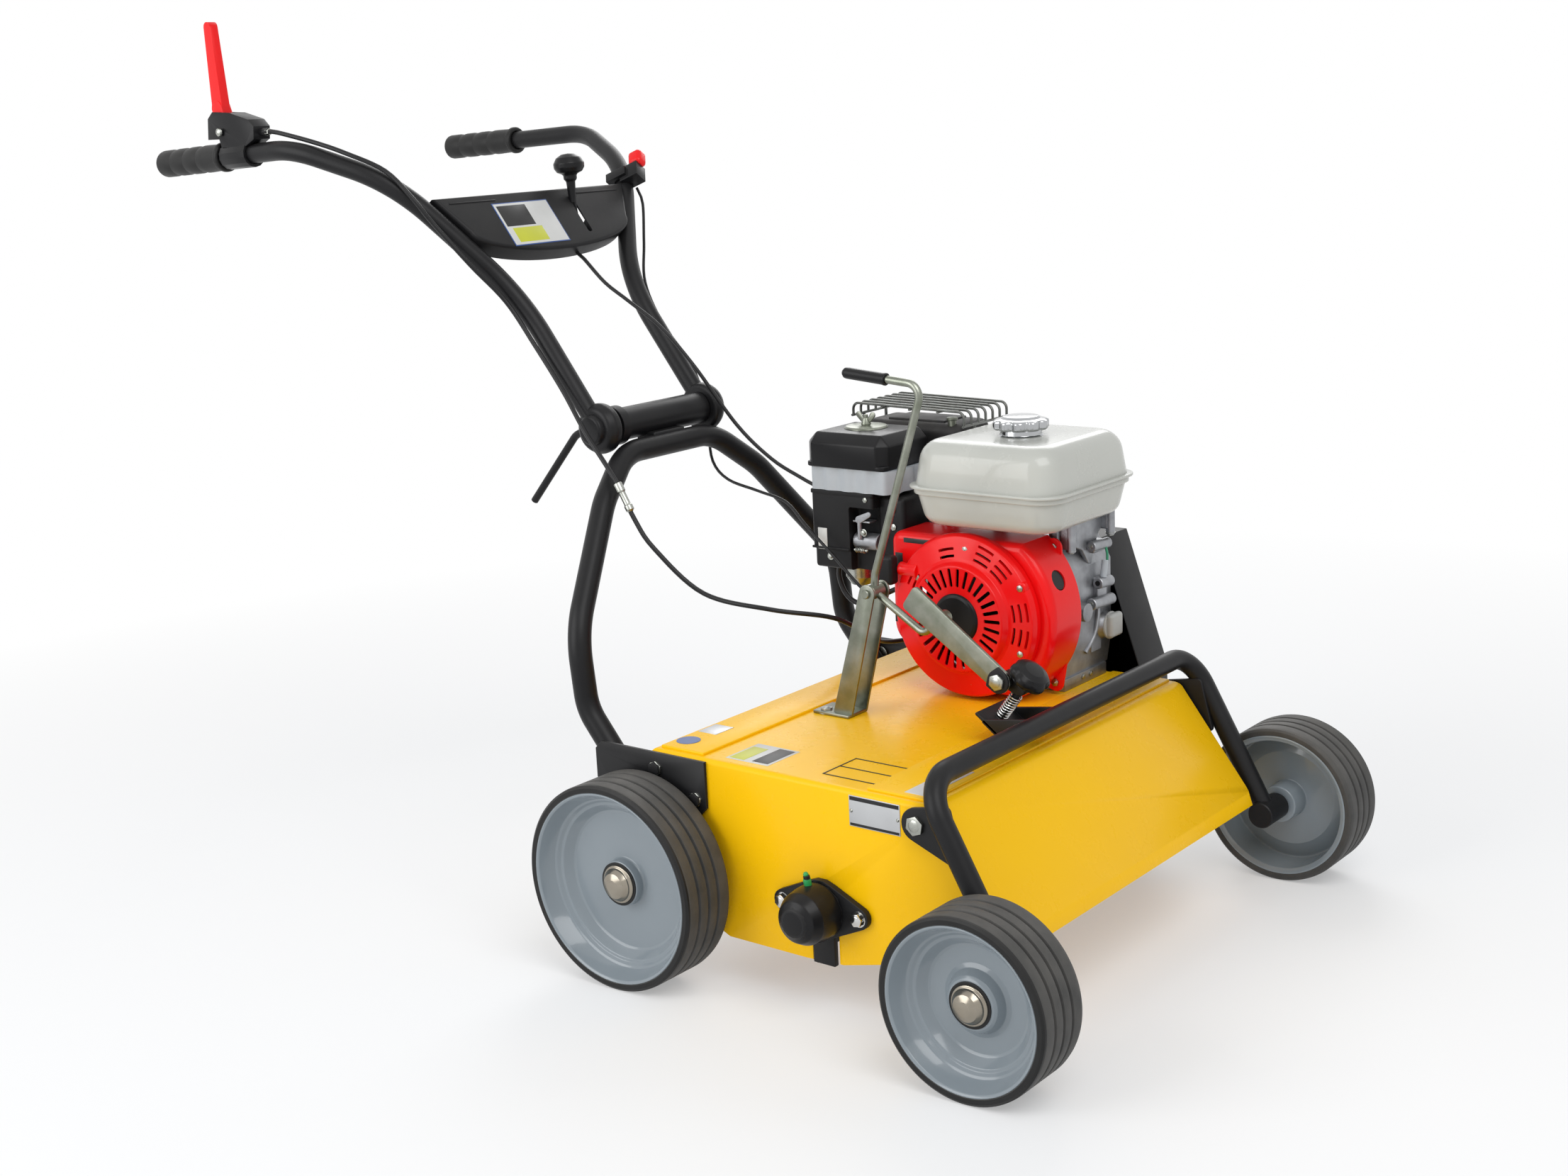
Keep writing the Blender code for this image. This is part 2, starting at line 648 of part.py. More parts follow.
def make_bearing(side, hand):
    inner = side * (SIDE_Y + GAP)
    outer = inner + side * FLANGE_T
    span = BEARING_BOLT_SPAN / 2
    outline = hull((ROTOR_X, ROTOR_Z, BEARING_R + 0.004), (ROTOR_X - span, ROTOR_Z, 0.013),
                   (ROTOR_X + span, ROTOR_Z, 0.013), count=18)
    ob = plate("bearing_housing_" + hand, outline, FLANGE_T, (inner + outer) / 2, BLACK)
    tongue = box("slot_tongue_" + hand,
                 (ROTOR_X - SLOT_W / 2 + 0.004, min(inner - side * 0.003, inner + side * 0.004),
                  DECK_FOOT if side < 0 else DECK_FOOT + 0.014),
                 (ROTOR_X + SLOT_W / 2 - 0.004, max(inner - side * 0.003, inner + side * 0.004), ROTOR_Z),
                 cutter=True)
    join(ob, tongue)
    if side < 0:
        boss = turned("bearing_boss", [(0.0, 0.056), (0.016, 0.055), (0.0235, 0.048), (0.0245, 0.040),
                                       (0.0245, 0.036), (BEARING_R, 0.033), (BEARING_R, 0.004), (0.0, 0.004)],
                      (ROTOR_X, outer - side * 0.005, ROTOR_Z), cutter=True, steps=14, axis=(0, side, 0))
        join(ob, boss)
        nipple = rod("grease_nipple", (ROTOR_X - 0.004, outer + side * 0.012, ROTOR_Z + BEARING_R - 0.004),
                     (ROTOR_X - 0.006, outer + side * 0.014, ROTOR_Z + BEARING_R + 0.013), 0.004,
                     cutter=True, sides=8)
        join(ob, nipple)
        depth = BEARING_DEPTH
    else:
        depth = FLANGE_T
    hole = rod("bearing_bore_" + hand, (ROTOR_X, inner - side * 0.01, ROTOR_Z),
               (ROTOR_X, inner + side * (depth + (0.01 if side > 0 else 0.0)), ROTOR_Z),
               bore(ROTOR_SHAFT_R, sides=16), cutter=True, sides=16)
    cut(ob, hole)
    for i, dx in enumerate((-span, span)):
        join(ob, rod("bearing_nut_%s_%d" % (hand, i), (ROTOR_X + dx, outer - side * 0.001, ROTOR_Z),
                     (ROTOR_X + dx, outer + side * 0.0045, ROTOR_Z), 0.0085, cutter=True, sides=6))


# Belt drive

def make_belt_drive():
    ride = GAP + 0.0002
    discs = [(CRANK_X, CRANK_Z, CRANK_PULLEY_R - BELT_T - 0.002),
             (ROTOR_X, ROTOR_Z, ROTOR_PULLEY_R - BELT_T - 0.002)]
    inner = hull(*[(x, z, r / math.cos(math.pi / 16) + ride) for x, z, r in discs], count=16)
    outer = hull(*[(x, z, r + ride + BELT_T) for x, z, r in discs], count=16)
    plate("drive_belt", outer, BELT_W - 0.0006, BELT_Y, RUBBER, holes=[inner])
    outline = [(0.128, 0.322), (0.290, 0.322), (0.348, 0.150), (0.352, 0.020), (0.318, -0.060),
               (0.196, -0.060), (0.148, 0.010), (0.098, 0.130), (0.098, 0.205)]
    near = SIDE_Y + GAP
    guard = plate("belt_guard", outline, GUARD_DEPTH, near + GUARD_DEPTH / 2, BLACK)
    bm = bmesh.new()
    bm.from_mesh(guard.data)
    back = [f for f in bm.faces if f.normal.z > 0.9]
    bmesh.ops.delete(bm, geom=back, context="FACES")
    bm.to_mesh(guard.data)
    bm.free()
    shell = guard.modifiers.new("sheet", "SOLIDIFY")
    shell.thickness = 0.002
    shell.offset = -1.0
    shell.use_even_offset = True
    arm = plate("tension_arm", hull((*ARM_PIVOT, 0.010), (*IDLER, 0.009), count=12), ARM_T, ARM_Y, ZINC)
    arm_end = plate("arm_end", hull((*ARM_PIVOT, 0.009), (*ARM_CABLE, 0.006), count=12), ARM_T, ARM_Y,
                    cutter=True)
    roller = rod("idler", (IDLER[0], ARM_Y, IDLER[1]), (IDLER[0], BELT_Y + 0.008, IDLER[1]), 0.016,
                 cutter=True, sides=12)
    pin = rod("arm_pin", (ARM_PIVOT[0], near, ARM_PIVOT[1]), (ARM_PIVOT[0], ARM_Y + 0.007, ARM_PIVOT[1]),
              0.006, cutter=True, sides=12)
    join(arm, arm_end, roller, pin)
    origin_at(arm, ARM_PIVOT[0], 0, ARM_PIVOT[1])


# Engine

def make_engine():
    foot = DECK_TOP + GAP
    block = plate("crankcase", [(0.130, foot + 0.014), (0.300, foot + 0.014), (0.306, 0.200), (0.306, 0.300),
                                (0.285, 0.335), (0.150, 0.335), (0.125, 0.300), (0.125, 0.200)],
                  ENGINE_FACE - SHROUD_BACK - 0.012, (ENGINE_FACE + SHROUD_BACK + 0.012) / 2, ALLOY)
    base = box("engine_base", (0.122, SHROUD_BACK + 0.010, foot), (0.304, ENGINE_FACE - 0.010, foot + 0.015),
               cutter=True)
    front_face = rod("crankcase_cover", (CRANK_X, SHROUD_BACK + 0.002, CRANK_Z - 0.004),
                     (CRANK_X, SHROUD_BACK + 0.014, CRANK_Z - 0.004), 0.078, cutter=True, sides=16)
    join(block, base, front_face)
    tilt = math.radians(25)
    along = Vector((-math.cos(tilt), 0, math.sin(tilt)))
    for i, (reach, size) in enumerate([(0.085, 0.078)] + [(0.096 + 0.011 * k, 0.094) for k in range(3)]):
        middle = Vector((CRANK_X, ENGINE_FACE - 0.0585, CRANK_Z + 0.012)) + along * reach
        thick = 0.060 if i == 0 else 0.003
        fin = box("cylinder_%d" % i, (-thick / 2, -size / 2, -size / 2), (thick / 2, size / 2, size / 2),
                  cutter=True)
        fin.location = middle
        fin.rotation_euler = (0, tilt, 0)
        join(block, fin)
    head = box("rocker_cover", (0.068, 0.166, 0.262), (0.106, 0.262, 0.356), cutter=True)
    join(block, head)
    for i, (x, y) in enumerate(((0.290, 0.170), (0.290, 0.235), (0.165, 0.235))):
        join(block, rod("tank_post_%d" % i, (x, y, 0.328), (x, y, TANK_FOOT - GAP), 0.010,
                        cutter=True, sides=12))
    plug = box("oil_plug", (0.300, 0.222, 0.186), (0.326, 0.246, 0.210), cutter=True)
    boss = rod("fuel_boss", (0.300, 0.195, 0.245), (0.318, 0.195, 0.245), 0.012, cutter=True, sides=12)
    join(block, plug, boss)
    cut(block, rod("crank_bore", (CRANK_X, 0.1, CRANK_Z), (CRANK_X, 0.35, CRANK_Z),
                   bore(CRANK_R, sides=16), cutter=True, sides=16))

    low, high = BELT_Y - PULLEY_W / 2, BELT_Y + PULLEY_W / 2
    groove = CRANK_PULLEY_R - BELT_T - 0.002
    fan_y = SHROUD_Y + 0.022
    profile = [(0.0, high + 0.004), (CRANK_R, high + 0.004), (CRANK_R, high), (CRANK_PULLEY_R, high),
               (CRANK_PULLEY_R, BELT_Y + 0.0065), (groove, BELT_Y + 0.0045), (groove, BELT_Y - 0.0045),
               (CRANK_PULLEY_R, BELT_Y - 0.0065), (CRANK_PULLEY_R, low), (CRANK_R, low),
               (CRANK_R, fan_y + 0.010), (FAN_R, fan_y + 0.010), (FAN_R, fan_y), (0.0, fan_y)]
    turned("crankshaft", profile, (CRANK_X, 0, CRANK_Z), PLASTIC, steps=16)


def arc(x, z, radius, start, end, count):
    """Points of an arc; angles in degrees."""
    return [(x + radius * math.cos(math.radians(start + (end - start) * i / count)),
             z + radius * math.sin(math.radians(start + (end - start) * i / count)))
            for i in range(count + 1)]


def make_shroud():
    left = CRANK_X - 0.109
    foot = DECK_TOP + 0.007
    drop = math.degrees(math.asin((foot - CRANK_Z) / SHROUD_R))
    rise = math.degrees(math.asin(SHROUD_RISE / SHROUD_R))
    outline = (arc(CRANK_X, CRANK_Z, SHROUD_R, drop, rise, 10)
               + [(left + 0.014, SHROUD_TOP)] + arc(left + 0.014, SHROUD_TOP - 0.014, 0.014, 90, 180, 2)[1:]
               + [(left, CRANK_Z - 0.036), (CRANK_X - 0.050, foot)])
    depth = SHROUD_BACK - SHROUD_Y - GAP
    opening = FAN_R - 0.004
    ob = plate("fan_shroud", outline, depth, SHROUD_Y + GAP + depth / 2, RED,
               holes=[circle(CRANK_X, CRANK_Z, opening, COVER_SIDES)])
    bm = bmesh.new()
    bm.from_mesh(ob.data)
    middle = Vector((CRANK_X, CRANK_Z, 0.0))
    gone = [f for f in bm.faces if f.normal.z < -0.9
            or (abs(f.normal.z) < 0.5 and (f.calc_center_median() - middle).xy.length < opening)]
    bmesh.ops.delete(bm, geom=gone, context="FACES")
    rim = [e for e in bm.edges if any(f.normal.z > 0.9 for f in e.link_faces)
           and any(abs(f.normal.z) < 0.5 for f in e.link_faces)]
    bmesh.ops.bevel(bm, geom=rim, offset=0.010, segments=2, affect="EDGES", profile=0.5)
    bmesh.ops.triangulate(bm, faces=bm.faces)
    bm.to_mesh(ob.data)
    bm.free()
    shell = ob.modifiers.new("sheet", "SOLIDIFY")
    shell.thickness = 0.002
    shell.offset = -1.0
    shell.use_even_offset = True
    cut(ob, rod("inspection_hole", (0.30, 0.115, 0.292), (0.36, 0.115, 0.322), 0.013, cutter=True, sides=12))


def slot_cutters():
    """One mesh of the radial slots and the outer curved slots of the recoil cover."""
    bm = bmesh.new()
    for i in range(SLOT_COUNT):
        inner = SLOT_IN if i % 2 == 0 else SLOT_IN + 0.006
        middle = (inner + SLOT_OUT) / 2
        size = Matrix.Diagonal((SLOT_OUT - inner, 0.020, 0.0036, 1.0))
        turn = Matrix.Rotation(math.tau * i / SLOT_COUNT, 4, "Y")
        bmesh.ops.create_cube(bm, size=1.0, matrix=turn @ Matrix.Translation((middle, 0, 0)) @ size)
    for start in (-4, 52, 78, 140):
        for row in range(2):
            radius = 0.0700 + 0.0080 * row
            turn = Matrix.Rotation(-math.radians(start + 9), 4, "Y")
            size = Matrix.Diagonal((0.0034, 0.070, 0.020 + 0.002 * row, 1.0))
            bmesh.ops.create_cube(bm, size=1.0, matrix=turn @ Matrix.Translation((radius, 0, 0)) @ size)
    ob = from_bmesh("cover_slots", bm, cutter=True)
    ob.location = (CRANK_X, COVER_Y + 0.004, CRANK_Z)
    return ob


def make_recoil_cover():
    depth = SHROUD_Y - COVER_Y
    t = 0.0022
    outer = [(STARTER_R, depth), (0.061, depth), (0.064, depth - 0.008), (0.095, depth - 0.014),
             (COVER_R, depth - 0.021), (COVER_R, 0.0)]
    inner = [(COVER_R - 0.018, 0.0), (COVER_R - 0.019, depth - 0.019), (0.063 - t, depth - 0.012),
             (0.058, depth - t), (STARTER_R, depth - t)]
    profile = outer + inner
    ob = turned("recoil_cover", profile, (CRANK_X, SHROUD_Y, CRANK_Z), RED, steps=COVER_SIDES,
                closed=True, axis=(0, -1, 0))
    cut(ob, slot_cutters())
    edge = STARTER_R - 2 * GAP
    disc = turned("starter_disc", [(0.0, 0.0045), (edge - 0.006, 0.004), (edge, 0.001), (edge, -0.006),
                                   (0.0, -0.006)],
                  (CRANK_X, COVER_Y + 0.002, CRANK_Z), PLASTIC, steps=COVER_SIDES, axis=(0, -1, 0))
    shaft = rod("starter_boss", (CRANK_X, COVER_Y + 0.004, CRANK_Z),
                (CRANK_X, SHROUD_Y + 0.022 - GAP, CRANK_Z), 0.012, cutter=True, sides=12)
    join(disc, shaft)
    horn_end = 0.1055
    join(ob, rod("rope_horn", (0.154, 0.064, 0.311), (horn_end, 0.064, 0.311), 0.009, cutter=True, sides=12))
    grip = box("starter_grip", (0.088, 0.053, 0.286), (horn_end - 0.0005, 0.071, 0.340), PLASTIC)
    rounded(grip, 0.004, 1)


def make_tank():
    x0, x1, y0, y1 = TANK
    ob = box("fuel_tank", (x0 + 0.004, y0 + 0.004, TANK_FOOT), (x1 - 0.004, y1 - 0.004, TANK_TOP), CREAM)
    bm = bmesh.new()
    bm.from_mesh(ob.data)
    seam = TANK_SEAM - ob.location.z
    geom = bm.verts[:] + bm.edges[:] + bm.faces[:]
    bmesh.ops.bisect_plane(bm, geom=geom, plane_co=(0, 0, seam), plane_no=(0, 0, 1))
    half = (TANK_TOP - TANK_FOOT) / 2
    for v in bm.verts:
        inset = 0.016 if v.co.z < seam - 0.001 else (0.012 if v.co.z > seam + 0.001 else 0.0)
        v.co.x -= math.copysign(inset, v.co.x)
        v.co.y -= math.copysign(inset, v.co.y)
    upright = [e for e in bm.edges if abs(e.verts[0].co.z - e.verts[1].co.z) > 0.02]
    bmesh.ops.bevel(bm, geom=upright, offset=0.030, segments=2, affect="EDGES", profile=0.5)
    rims = [e for e in bm.edges if all(abs(v.co.z) > half - 0.0001 for v in e.verts)
            and any(abs(f.normal.z) < 0.7 for f in e.link_faces)]
    bmesh.ops.bevel(bm, geom=rims, offset=0.014, segments=2, affect="EDGES", profile=0.5)
    bm.to_mesh(ob.data)
    bm.free()
    seam_ob = box("tank_seam", (x0, y0, TANK_SEAM - 0.002), (x1, y1, TANK_SEAM + 0.002), cutter=True)
    corner = seam_ob.data
    bm = bmesh.new()
    bm.from_mesh(corner)
    upright = [e for e in bm.edges if abs(e.verts[0].co.z - e.verts[1].co.z) > 0.002]
    bmesh.ops.bevel(bm, geom=upright, offset=0.032, segments=2, affect="EDGES", profile=0.5)
    bm.to_mesh(corner)
    bm.free()
    join(ob, seam_ob)
    middle = ((x0 + x1) / 2 + 0.002, (y0 + y1) / 2)
    neck = rod("filler_neck", (*middle, TANK_TOP - 0.004), (*middle, TANK_TOP + 0.004), 0.024, cutter=True)
    join(ob, neck)
    cap = [(0.0, 0.024), (FUEL_CAP_R - 0.012, 0.024), (FUEL_CAP_R - 0.002, 0.020), (FUEL_CAP_R, 0.017),
           (FUEL_CAP_R, 0.004), (FUEL_CAP_R - 0.004, 0.0), (0.0, 0.0)]
    turned("fuel_cap", cap, (*middle, TANK_TOP + 0.004 + GAP), STEEL, steps=16, axis=(0, 0, 1))


def make_intake():
    x0, x1, y0, y1 = -0.029, 0.080, 0.090, 0.200
    cover = box("filter_cover", (x0, y0, 0.422), (x1, y1, 0.462), PLASTIC)
    rounded(cover, 0.010, 1)
    dome = turned("filter_washer", [(0.0, 0.016), (0.003, 0.016), (0.003, 0.004), (0.0255, 0.002),
                                    (0.0265, -0.002), (0.0, -0.002)], (0.050, 0.135, 0.462),
                  cutter=True, steps=12, axis=(0, 0, 1))
    join(cover, dome)
    for i, side in enumerate((-1, 1)):
        join(cover, rod("wing_%d" % i, (0.050 + side * 0.001, 0.135, 0.471),
                        (0.050 + side * 0.015, 0.135, 0.482), 0.004, cutter=True, sides=6))
    band = box("filter_band", (x0 + 0.002, y0 + 0.002, 0.398), (x1 - 0.002, y1 - 0.002, 0.422 - GAP), WHITE)
    rounded(band, 0.008, 1, 1.2)
    carb = box("carburettor", (-0.022, 0.096, 0.330), (0.052, 0.186, 0.398 - GAP), PLASTIC)
    rounded(carb, 0.008, 1)
    body = box("carburettor_body", (-0.018, 0.110, 0.296), (0.056, 0.178, 0.338), cutter=True)
    bowl = turned("float_bowl", [(0.0, 0.020), (0.020, 0.020), (0.020, -0.008), (0.012, -0.020),
                                 (0.0, -0.020)],
                  (0.036, 0.140, 0.290), cutter=True, steps=14, axis=(0, 0, 1))
    flange = box("intake_flange", (0.040, 0.168, 0.288), (0.068 - GAP, 0.184, 0.352), cutter=True)
    join(carb, body, bowl, flange)


def make_exhaust():
    x0, x1, y0, y1 = -0.035, 0.122, 0.212, 0.290
    muffler = box("muffler", (x0, y0, 0.385), (x1, y1, 0.466), PLASTIC)
    rounded(muffler, 0.012, 2)
    pipe = rod("exhaust_pipe", (0.088, 0.232, 0.356 + GAP), (0.088, 0.232, 0.392), 0.012, cutter=True,
               sides=12)
    join(muffler, pipe)
    gx0, gx1, gy0, gy1 = -0.050, 0.140, 0.2030, 0.304
    top, foot, wire = 0.486, 0.425, 0.0018
    ring = [(gx0, gy0), (gx1, gy0), (gx1, gy1), (gx0, gy1)]
    corners = [(x, y, foot) for x, y in ring]
    start = ((gx0 + gx1) / 2, gy0, foot)
    frame = solid_tube("muffler_guard", bent([start, *corners[1:], corners[0], (start[0] - 0.001, gy0, foot)],
                                             [0.008] * 4, 1), wire, STEEL, resolution=1)
    count = 5
    for i in range(count):
        x = gx0 + 0.014 + (gx1 - gx0 - 0.028) * i / (count - 1)
        hoop = bent([(x, gy0, foot - 0.001), (x, gy0, top), (x, gy1, top), (x, gy1, foot - 0.001)],
                    [0.010, 0.010], 1)
        join(frame, solid_tube("guard_hoop_%d" % i, hoop, wire * 0.9, cutter=True, resolution=1))
    for i, (x, edge) in enumerate(((gx0, x0 - GAP), (gx1, x1 + GAP))):
        join(frame, rod("guard_tab_%d" % i, (x, 0.25, foot), (edge, 0.25, foot), wire * 1.6,
                        cutter=True, sides=8))


# Front axle and lift gear

def make_front_axle():
    leg = [(WHEELBASE, -FRAME_Y, -FRONT_AXLE_DROP), (CROSSBAR_X, -FRAME_Y, CROSSBAR_Z)]
    path = leg + mirrored(leg[::-1])
    ob = solid_tube("front_axle_frame", bent(path, [0.045, 0.045], 4), FRAME_R, BLACK, resolution=3)
    for side, hand in ((-1, "right"), (1, "left")):
        stub = rod("stub_axle_" + hand, (WHEELBASE, side * (FRAME_Y - 0.016), -FRONT_AXLE_DROP),
                   (WHEELBASE, side * hub_face(FRONT_TRACK), -FRONT_AXLE_DROP), AXLE_R, cutter=True, sides=12)
        sleeve = rod("axle_sleeve_" + hand, (WHEELBASE, side * (FRAME_Y - 0.018), -FRONT_AXLE_DROP),
                     (WHEELBASE, side * (FRONT_TRACK - TYRE_W + 0.002), -FRONT_AXLE_DROP), 0.0165,
                     cutter=True, sides=12)
        ears = hull((PIVOT_X, PIVOT_Z, 0.019), (0.424, 0.148, 0.006), (0.440, 0.092, 0.005), count=12)
        ear = plate("pivot_ear_" + hand, ears, 0.006, side * (SIDE_Y + 0.0065), cutter=True)
        outer = side * (SIDE_Y + 0.0095)
        head, shank = hex_bolt("pivot_bolt_" + hand, PIVOT_X, outer - side * 0.001, PIVOT_Z, side, 0.011,
                               0.006, 0.016, 0.008)
        washer = rod("pivot_nut_" + hand, (PIVOT_X, side * (SIDE_Y - SHEET - 0.0003), PIVOT_Z),
                     (PIVOT_X, side * (SIDE_Y - SHEET - 0.007), PIVOT_Z), 0.010, cutter=True, sides=6)
        spacer = rod("pivot_spacer_" + hand, (PIVOT_X, side * (SIDE_Y + 0.0003), PIVOT_Z),
                     (PIVOT_X, side * (SIDE_Y + 0.005), PIVOT_Z), 0.010, cutter=True, sides=12)
        join(ob, sleeve, stub, ear, spacer, shank, head, washer)
    knob = Vector((KNOB[0], LEVER_Y, KNOB[1]))
    down = Vector((-0.595, 0.0, -0.804)).normalized()
    shelf_z = (knob + down * 0.066).z
    shelf = box("spindle_shelf", (0.322, LEVER_Y - 0.028, shelf_z - 0.0045),
                (CROSSBAR_X - 0.004, LEVER_Y + 0.028, shelf_z), cutter=True)
    spindle = rod("spindle", knob - down * 0.006, knob + down * 0.080, SPINDLE_R, cutter=True, sides=10)
    seat = rod("spring_seat", knob + down * 0.060, knob + down * 0.070, 0.0095, cutter=True, sides=12)
    block_end = knob + down * (KNOB_FOOT + GAP + BLOCK_R)
    block = plate("spindle_block", hull((*LINK_BOLT, 0.0085), (block_end.x, block_end.z, BLOCK_R), count=12),
                  0.018, LEVER_Y, cutter=True)
    bolt_y = LINK_Y - LINK_T / 2
    shank = rod("link_bolt", (LINK_BOLT[0], LEVER_Y, LINK_BOLT[1]),
                (LINK_BOLT[0], bolt_y - 0.005, LINK_BOLT[1]), LINK_BOLT_R, cutter=True, sides=10)
    head = rod("link_bolt_head", (LINK_BOLT[0], bolt_y - 0.001, LINK_BOLT[1]),
               (LINK_BOLT[0], bolt_y - 0.006, LINK_BOLT[1]), 0.0085, cutter=True, sides=6)
    join(ob, shelf, seat, spindle, block, shank, head)
    origin_at(ob, PIVOT_X, 0, PIVOT_Z)
    turned("depth_knob", [(0.0, 0.019), (KNOB_R * 0.55, 0.016), (KNOB_R * 0.9, 0.009), (KNOB_R, 0.002),
                          (KNOB_R - 0.002, -KNOB_FOOT), (bore(SPINDLE_R, sides=16), -KNOB_FOOT),
                          (bore(SPINDLE_R, sides=16), 0.008), (0.0, 0.008)],
           knob, PLASTIC, steps=16, axis=-down)
    return knob, down


def make_spring(knob, down):
    """A coil round the spindle, drawn as one unbroken helix."""
    first = knob + down * (KNOB_FOOT + GAP + 2 * BLOCK_R + 0.0028 + SPRING_WIRE)
    last = knob + down * (0.060 - GAP - SPRING_WIRE)
    length = (last - first).length
    across = down.orthogonal().normalized()
    side = down.cross(across)
    total = SPRING_CURLS * CURL_POINTS
    path = []
    for i in range(total + 1):
        a = math.tau * i / CURL_POINTS
        path.append(first + down * (length * i / total)
                    + (across * math.cos(a) + side * math.sin(a)) * SPRING_R)
    ob = tube("depth_spring", path, SPRING_WIRE, STEEL, resolution=1)
    least = min((a - b).length for i, a in enumerate(path) for b in path[i + CURL_POINTS // 2:])
    print("least gap between curls, mm:", round((least - 2 * SPRING_WIRE) * 1000, 2))
    return ob


def make_lift_gear():
    low = DECK_TOP + GAP
    flange_y = (LEVER_Y - 0.0235, LEVER_Y + 0.0235)
    bracket = box("lever_bracket", (0.082, flange_y[0] - 0.0015, low),
                  (0.134, flange_y[1] + 0.0015, low + 0.004), ZINC)
    outline = hull((LEVER_X, LEVER_Z, 0.011), (0.109, low + 0.003, 0.0025), (0.130, low + 0.003, 0.0025),
                   count=12)
    for i, y in enumerate(flange_y):
        join(bracket, plate("lever_flange_%d" % i, outline, 0.003, y, cutter=True))
    join(bracket, rod("bracket_bolt", (0.094, LEVER_Y - 0.010, low + 0.002),
                      (0.094, LEVER_Y - 0.010, low + 0.011), 0.009, cutter=True, sides=6))
    cut(bracket, rod("lever_pin_hole", (LEVER_X, LEVER_Y - 0.04, LEVER_Z), (LEVER_X, LEVER_Y + 0.04, LEVER_Z),
                     bore(0.0055), cutter=True))

    rod_path = bent([(LEVER_X, LEVER_Y, LEVER_Z), (0.169, LEVER_Y, 0.328), (0.245, LEVER_Y, 0.565),
                     (0.142, LEVER_Y, 0.565)], [0.030, 0.016], 3)
    lever = solid_tube("lift_lever", rod_path, LEVER_ROD_R, ZINC, resolution=2)
    pin = rod("lever_pin", (LEVER_X, LEVER_Y - 0.029, LEVER_Z), (LEVER_X, LEVER_Y + 0.029, LEVER_Z),
              0.0055, cutter=True, sides=12)
    boss = rod("lever_boss", (LEVER_X, LEVER_Y - 0.016, LEVER_Z), (LEVER_X, LEVER_Y + 0.016, LEVER_Z),
               0.009, cutter=True, sides=12)
    crank = rod("crank_arm", (LEVER_X, LEVER_Y, LEVER_Z), (CRANK_PIN[0], LEVER_Y, CRANK_PIN[1]),
                LEVER_ROD_R, cutter=True, sides=12)
    end = rod("crank_pin", (CRANK_PIN[0], LEVER_Y + 0.007, CRANK_PIN[1]),
              (CRANK_PIN[0], LINK_Y - LINK_T / 2 - 0.004, CRANK_PIN[1]), CRANK_PIN_R, cutter=True, sides=12)
    eye = rod("crank_eye", (CRANK_PIN[0], LEVER_Y + 0.0065, CRANK_PIN[1]),
              (CRANK_PIN[0], LEVER_Y - 0.0065, CRANK_PIN[1]), 0.009, cutter=True, sides=12)
    join(lever, boss, pin, crank, eye, end)
    origin_at(lever, LEVER_X, 0, LEVER_Z)
    hole = (LEVER_ROD_R + GAP) / math.cos(math.pi / 10)
    turned("lever_grip", [(0.0, 0.0105), (0.0052, 0.009), (0.0085, 0.004), (0.0088, -0.050),
                          (0.0075, -0.053), (hole, -0.053), (hole, GAP), (0.0, GAP)],
           (0.142, LEVER_Y, 0.565), PLASTIC, steps=10, axis=(-1, 0, 0))

    run = Vector((LINK_BOLT[0] - CRANK_PIN[0], LINK_BOLT[1] - CRANK_PIN[1])).normalized()
    top = Vector(CRANK_PIN) - run * 0.040
    tail = Vector(LINK_BOLT)
    slot_r = CRANK_PIN_R + PIN_SIDE_PLAY
    near = Vector(CRANK_PIN) + run * 0.001
    far = Vector(CRANK_PIN) - run * PIN_TRAVEL
    link = plate("lift_link", hull((*top, 0.0135), (*tail, 0.0135), count=16), LINK_T, LINK_Y, ZINC,
                 holes=[hull((*near, slot_r), (*far, slot_r), count=12),
                        circle(*LINK_BOLT, bore(LINK_BOLT_R, sides=10), 10)])
    origin_at(link, LINK_BOLT[0], 0, LINK_BOLT[1])


# Handlebar and controls

def make_handlebar():
    for side, hand in ((-1, "right"), (1, "left")):
        path = [(x, side * y, z) for x, y, z in BAR_PATH]
        ob = solid_tube("handlebar_" + hand, bent(path, BAR_BENDS, 3), BAR_R, BLACK, resolution=3)
        disc = rod("clamp_disc_" + hand, (BAR_X, side * (BAR_Y - BAR_R), BAR_Z),
                   (BAR_X, side * (BAR_Y + DISC_T), BAR_Z), DISC_R, cutter=True, sides=20)
        boss = rod("clamp_boss_" + hand, (BAR_X, side * BAR_Y, BAR_Z),
                   (BAR_X, side * (BAR_Y + 0.018), BAR_Z), 0.022, cutter=True, sides=20, end_radius=0.017)
        join(ob, disc, boss)
        origin_at(ob, BAR_X, 0, BAR_Z)
        tip = Vector(path[-1])
        run = (Vector(path[-2]) - tip).normalized()
        tip = tip - run * GRIP_END
        hole = (BAR_R + GAP) / math.cos(math.pi / GRIP_SIDES)
        profile = [(0.0, 0.0), (GRIP_R - 0.003, 0.0), (GRIP_R, 0.004)]
        for i in range(3):
            start = 0.024 + 0.030 * i
            profile += [(GRIP_R, start), (GRIP_R - 0.0015, start + 0.008), (GRIP_R, start + 0.016)]
        profile += [(GRIP_R, GRIP_L - 0.009), (GRIP_R + 0.0015, GRIP_L - 0.007), (GRIP_R + 0.0015, GRIP_L),
                    (hole, GRIP_L), (hole, GRIP_END - GAP), (0.0, GRIP_END - GAP)]
        turned("grip_" + hand, profile[::-1], tip, RUBBER, steps=GRIP_SIDES, axis=run)


SLOPE = Vector((0.61, 0.0, -0.79)).normalized()
FACE = Vector((0.79, 0.0, 0.61)).normalized()


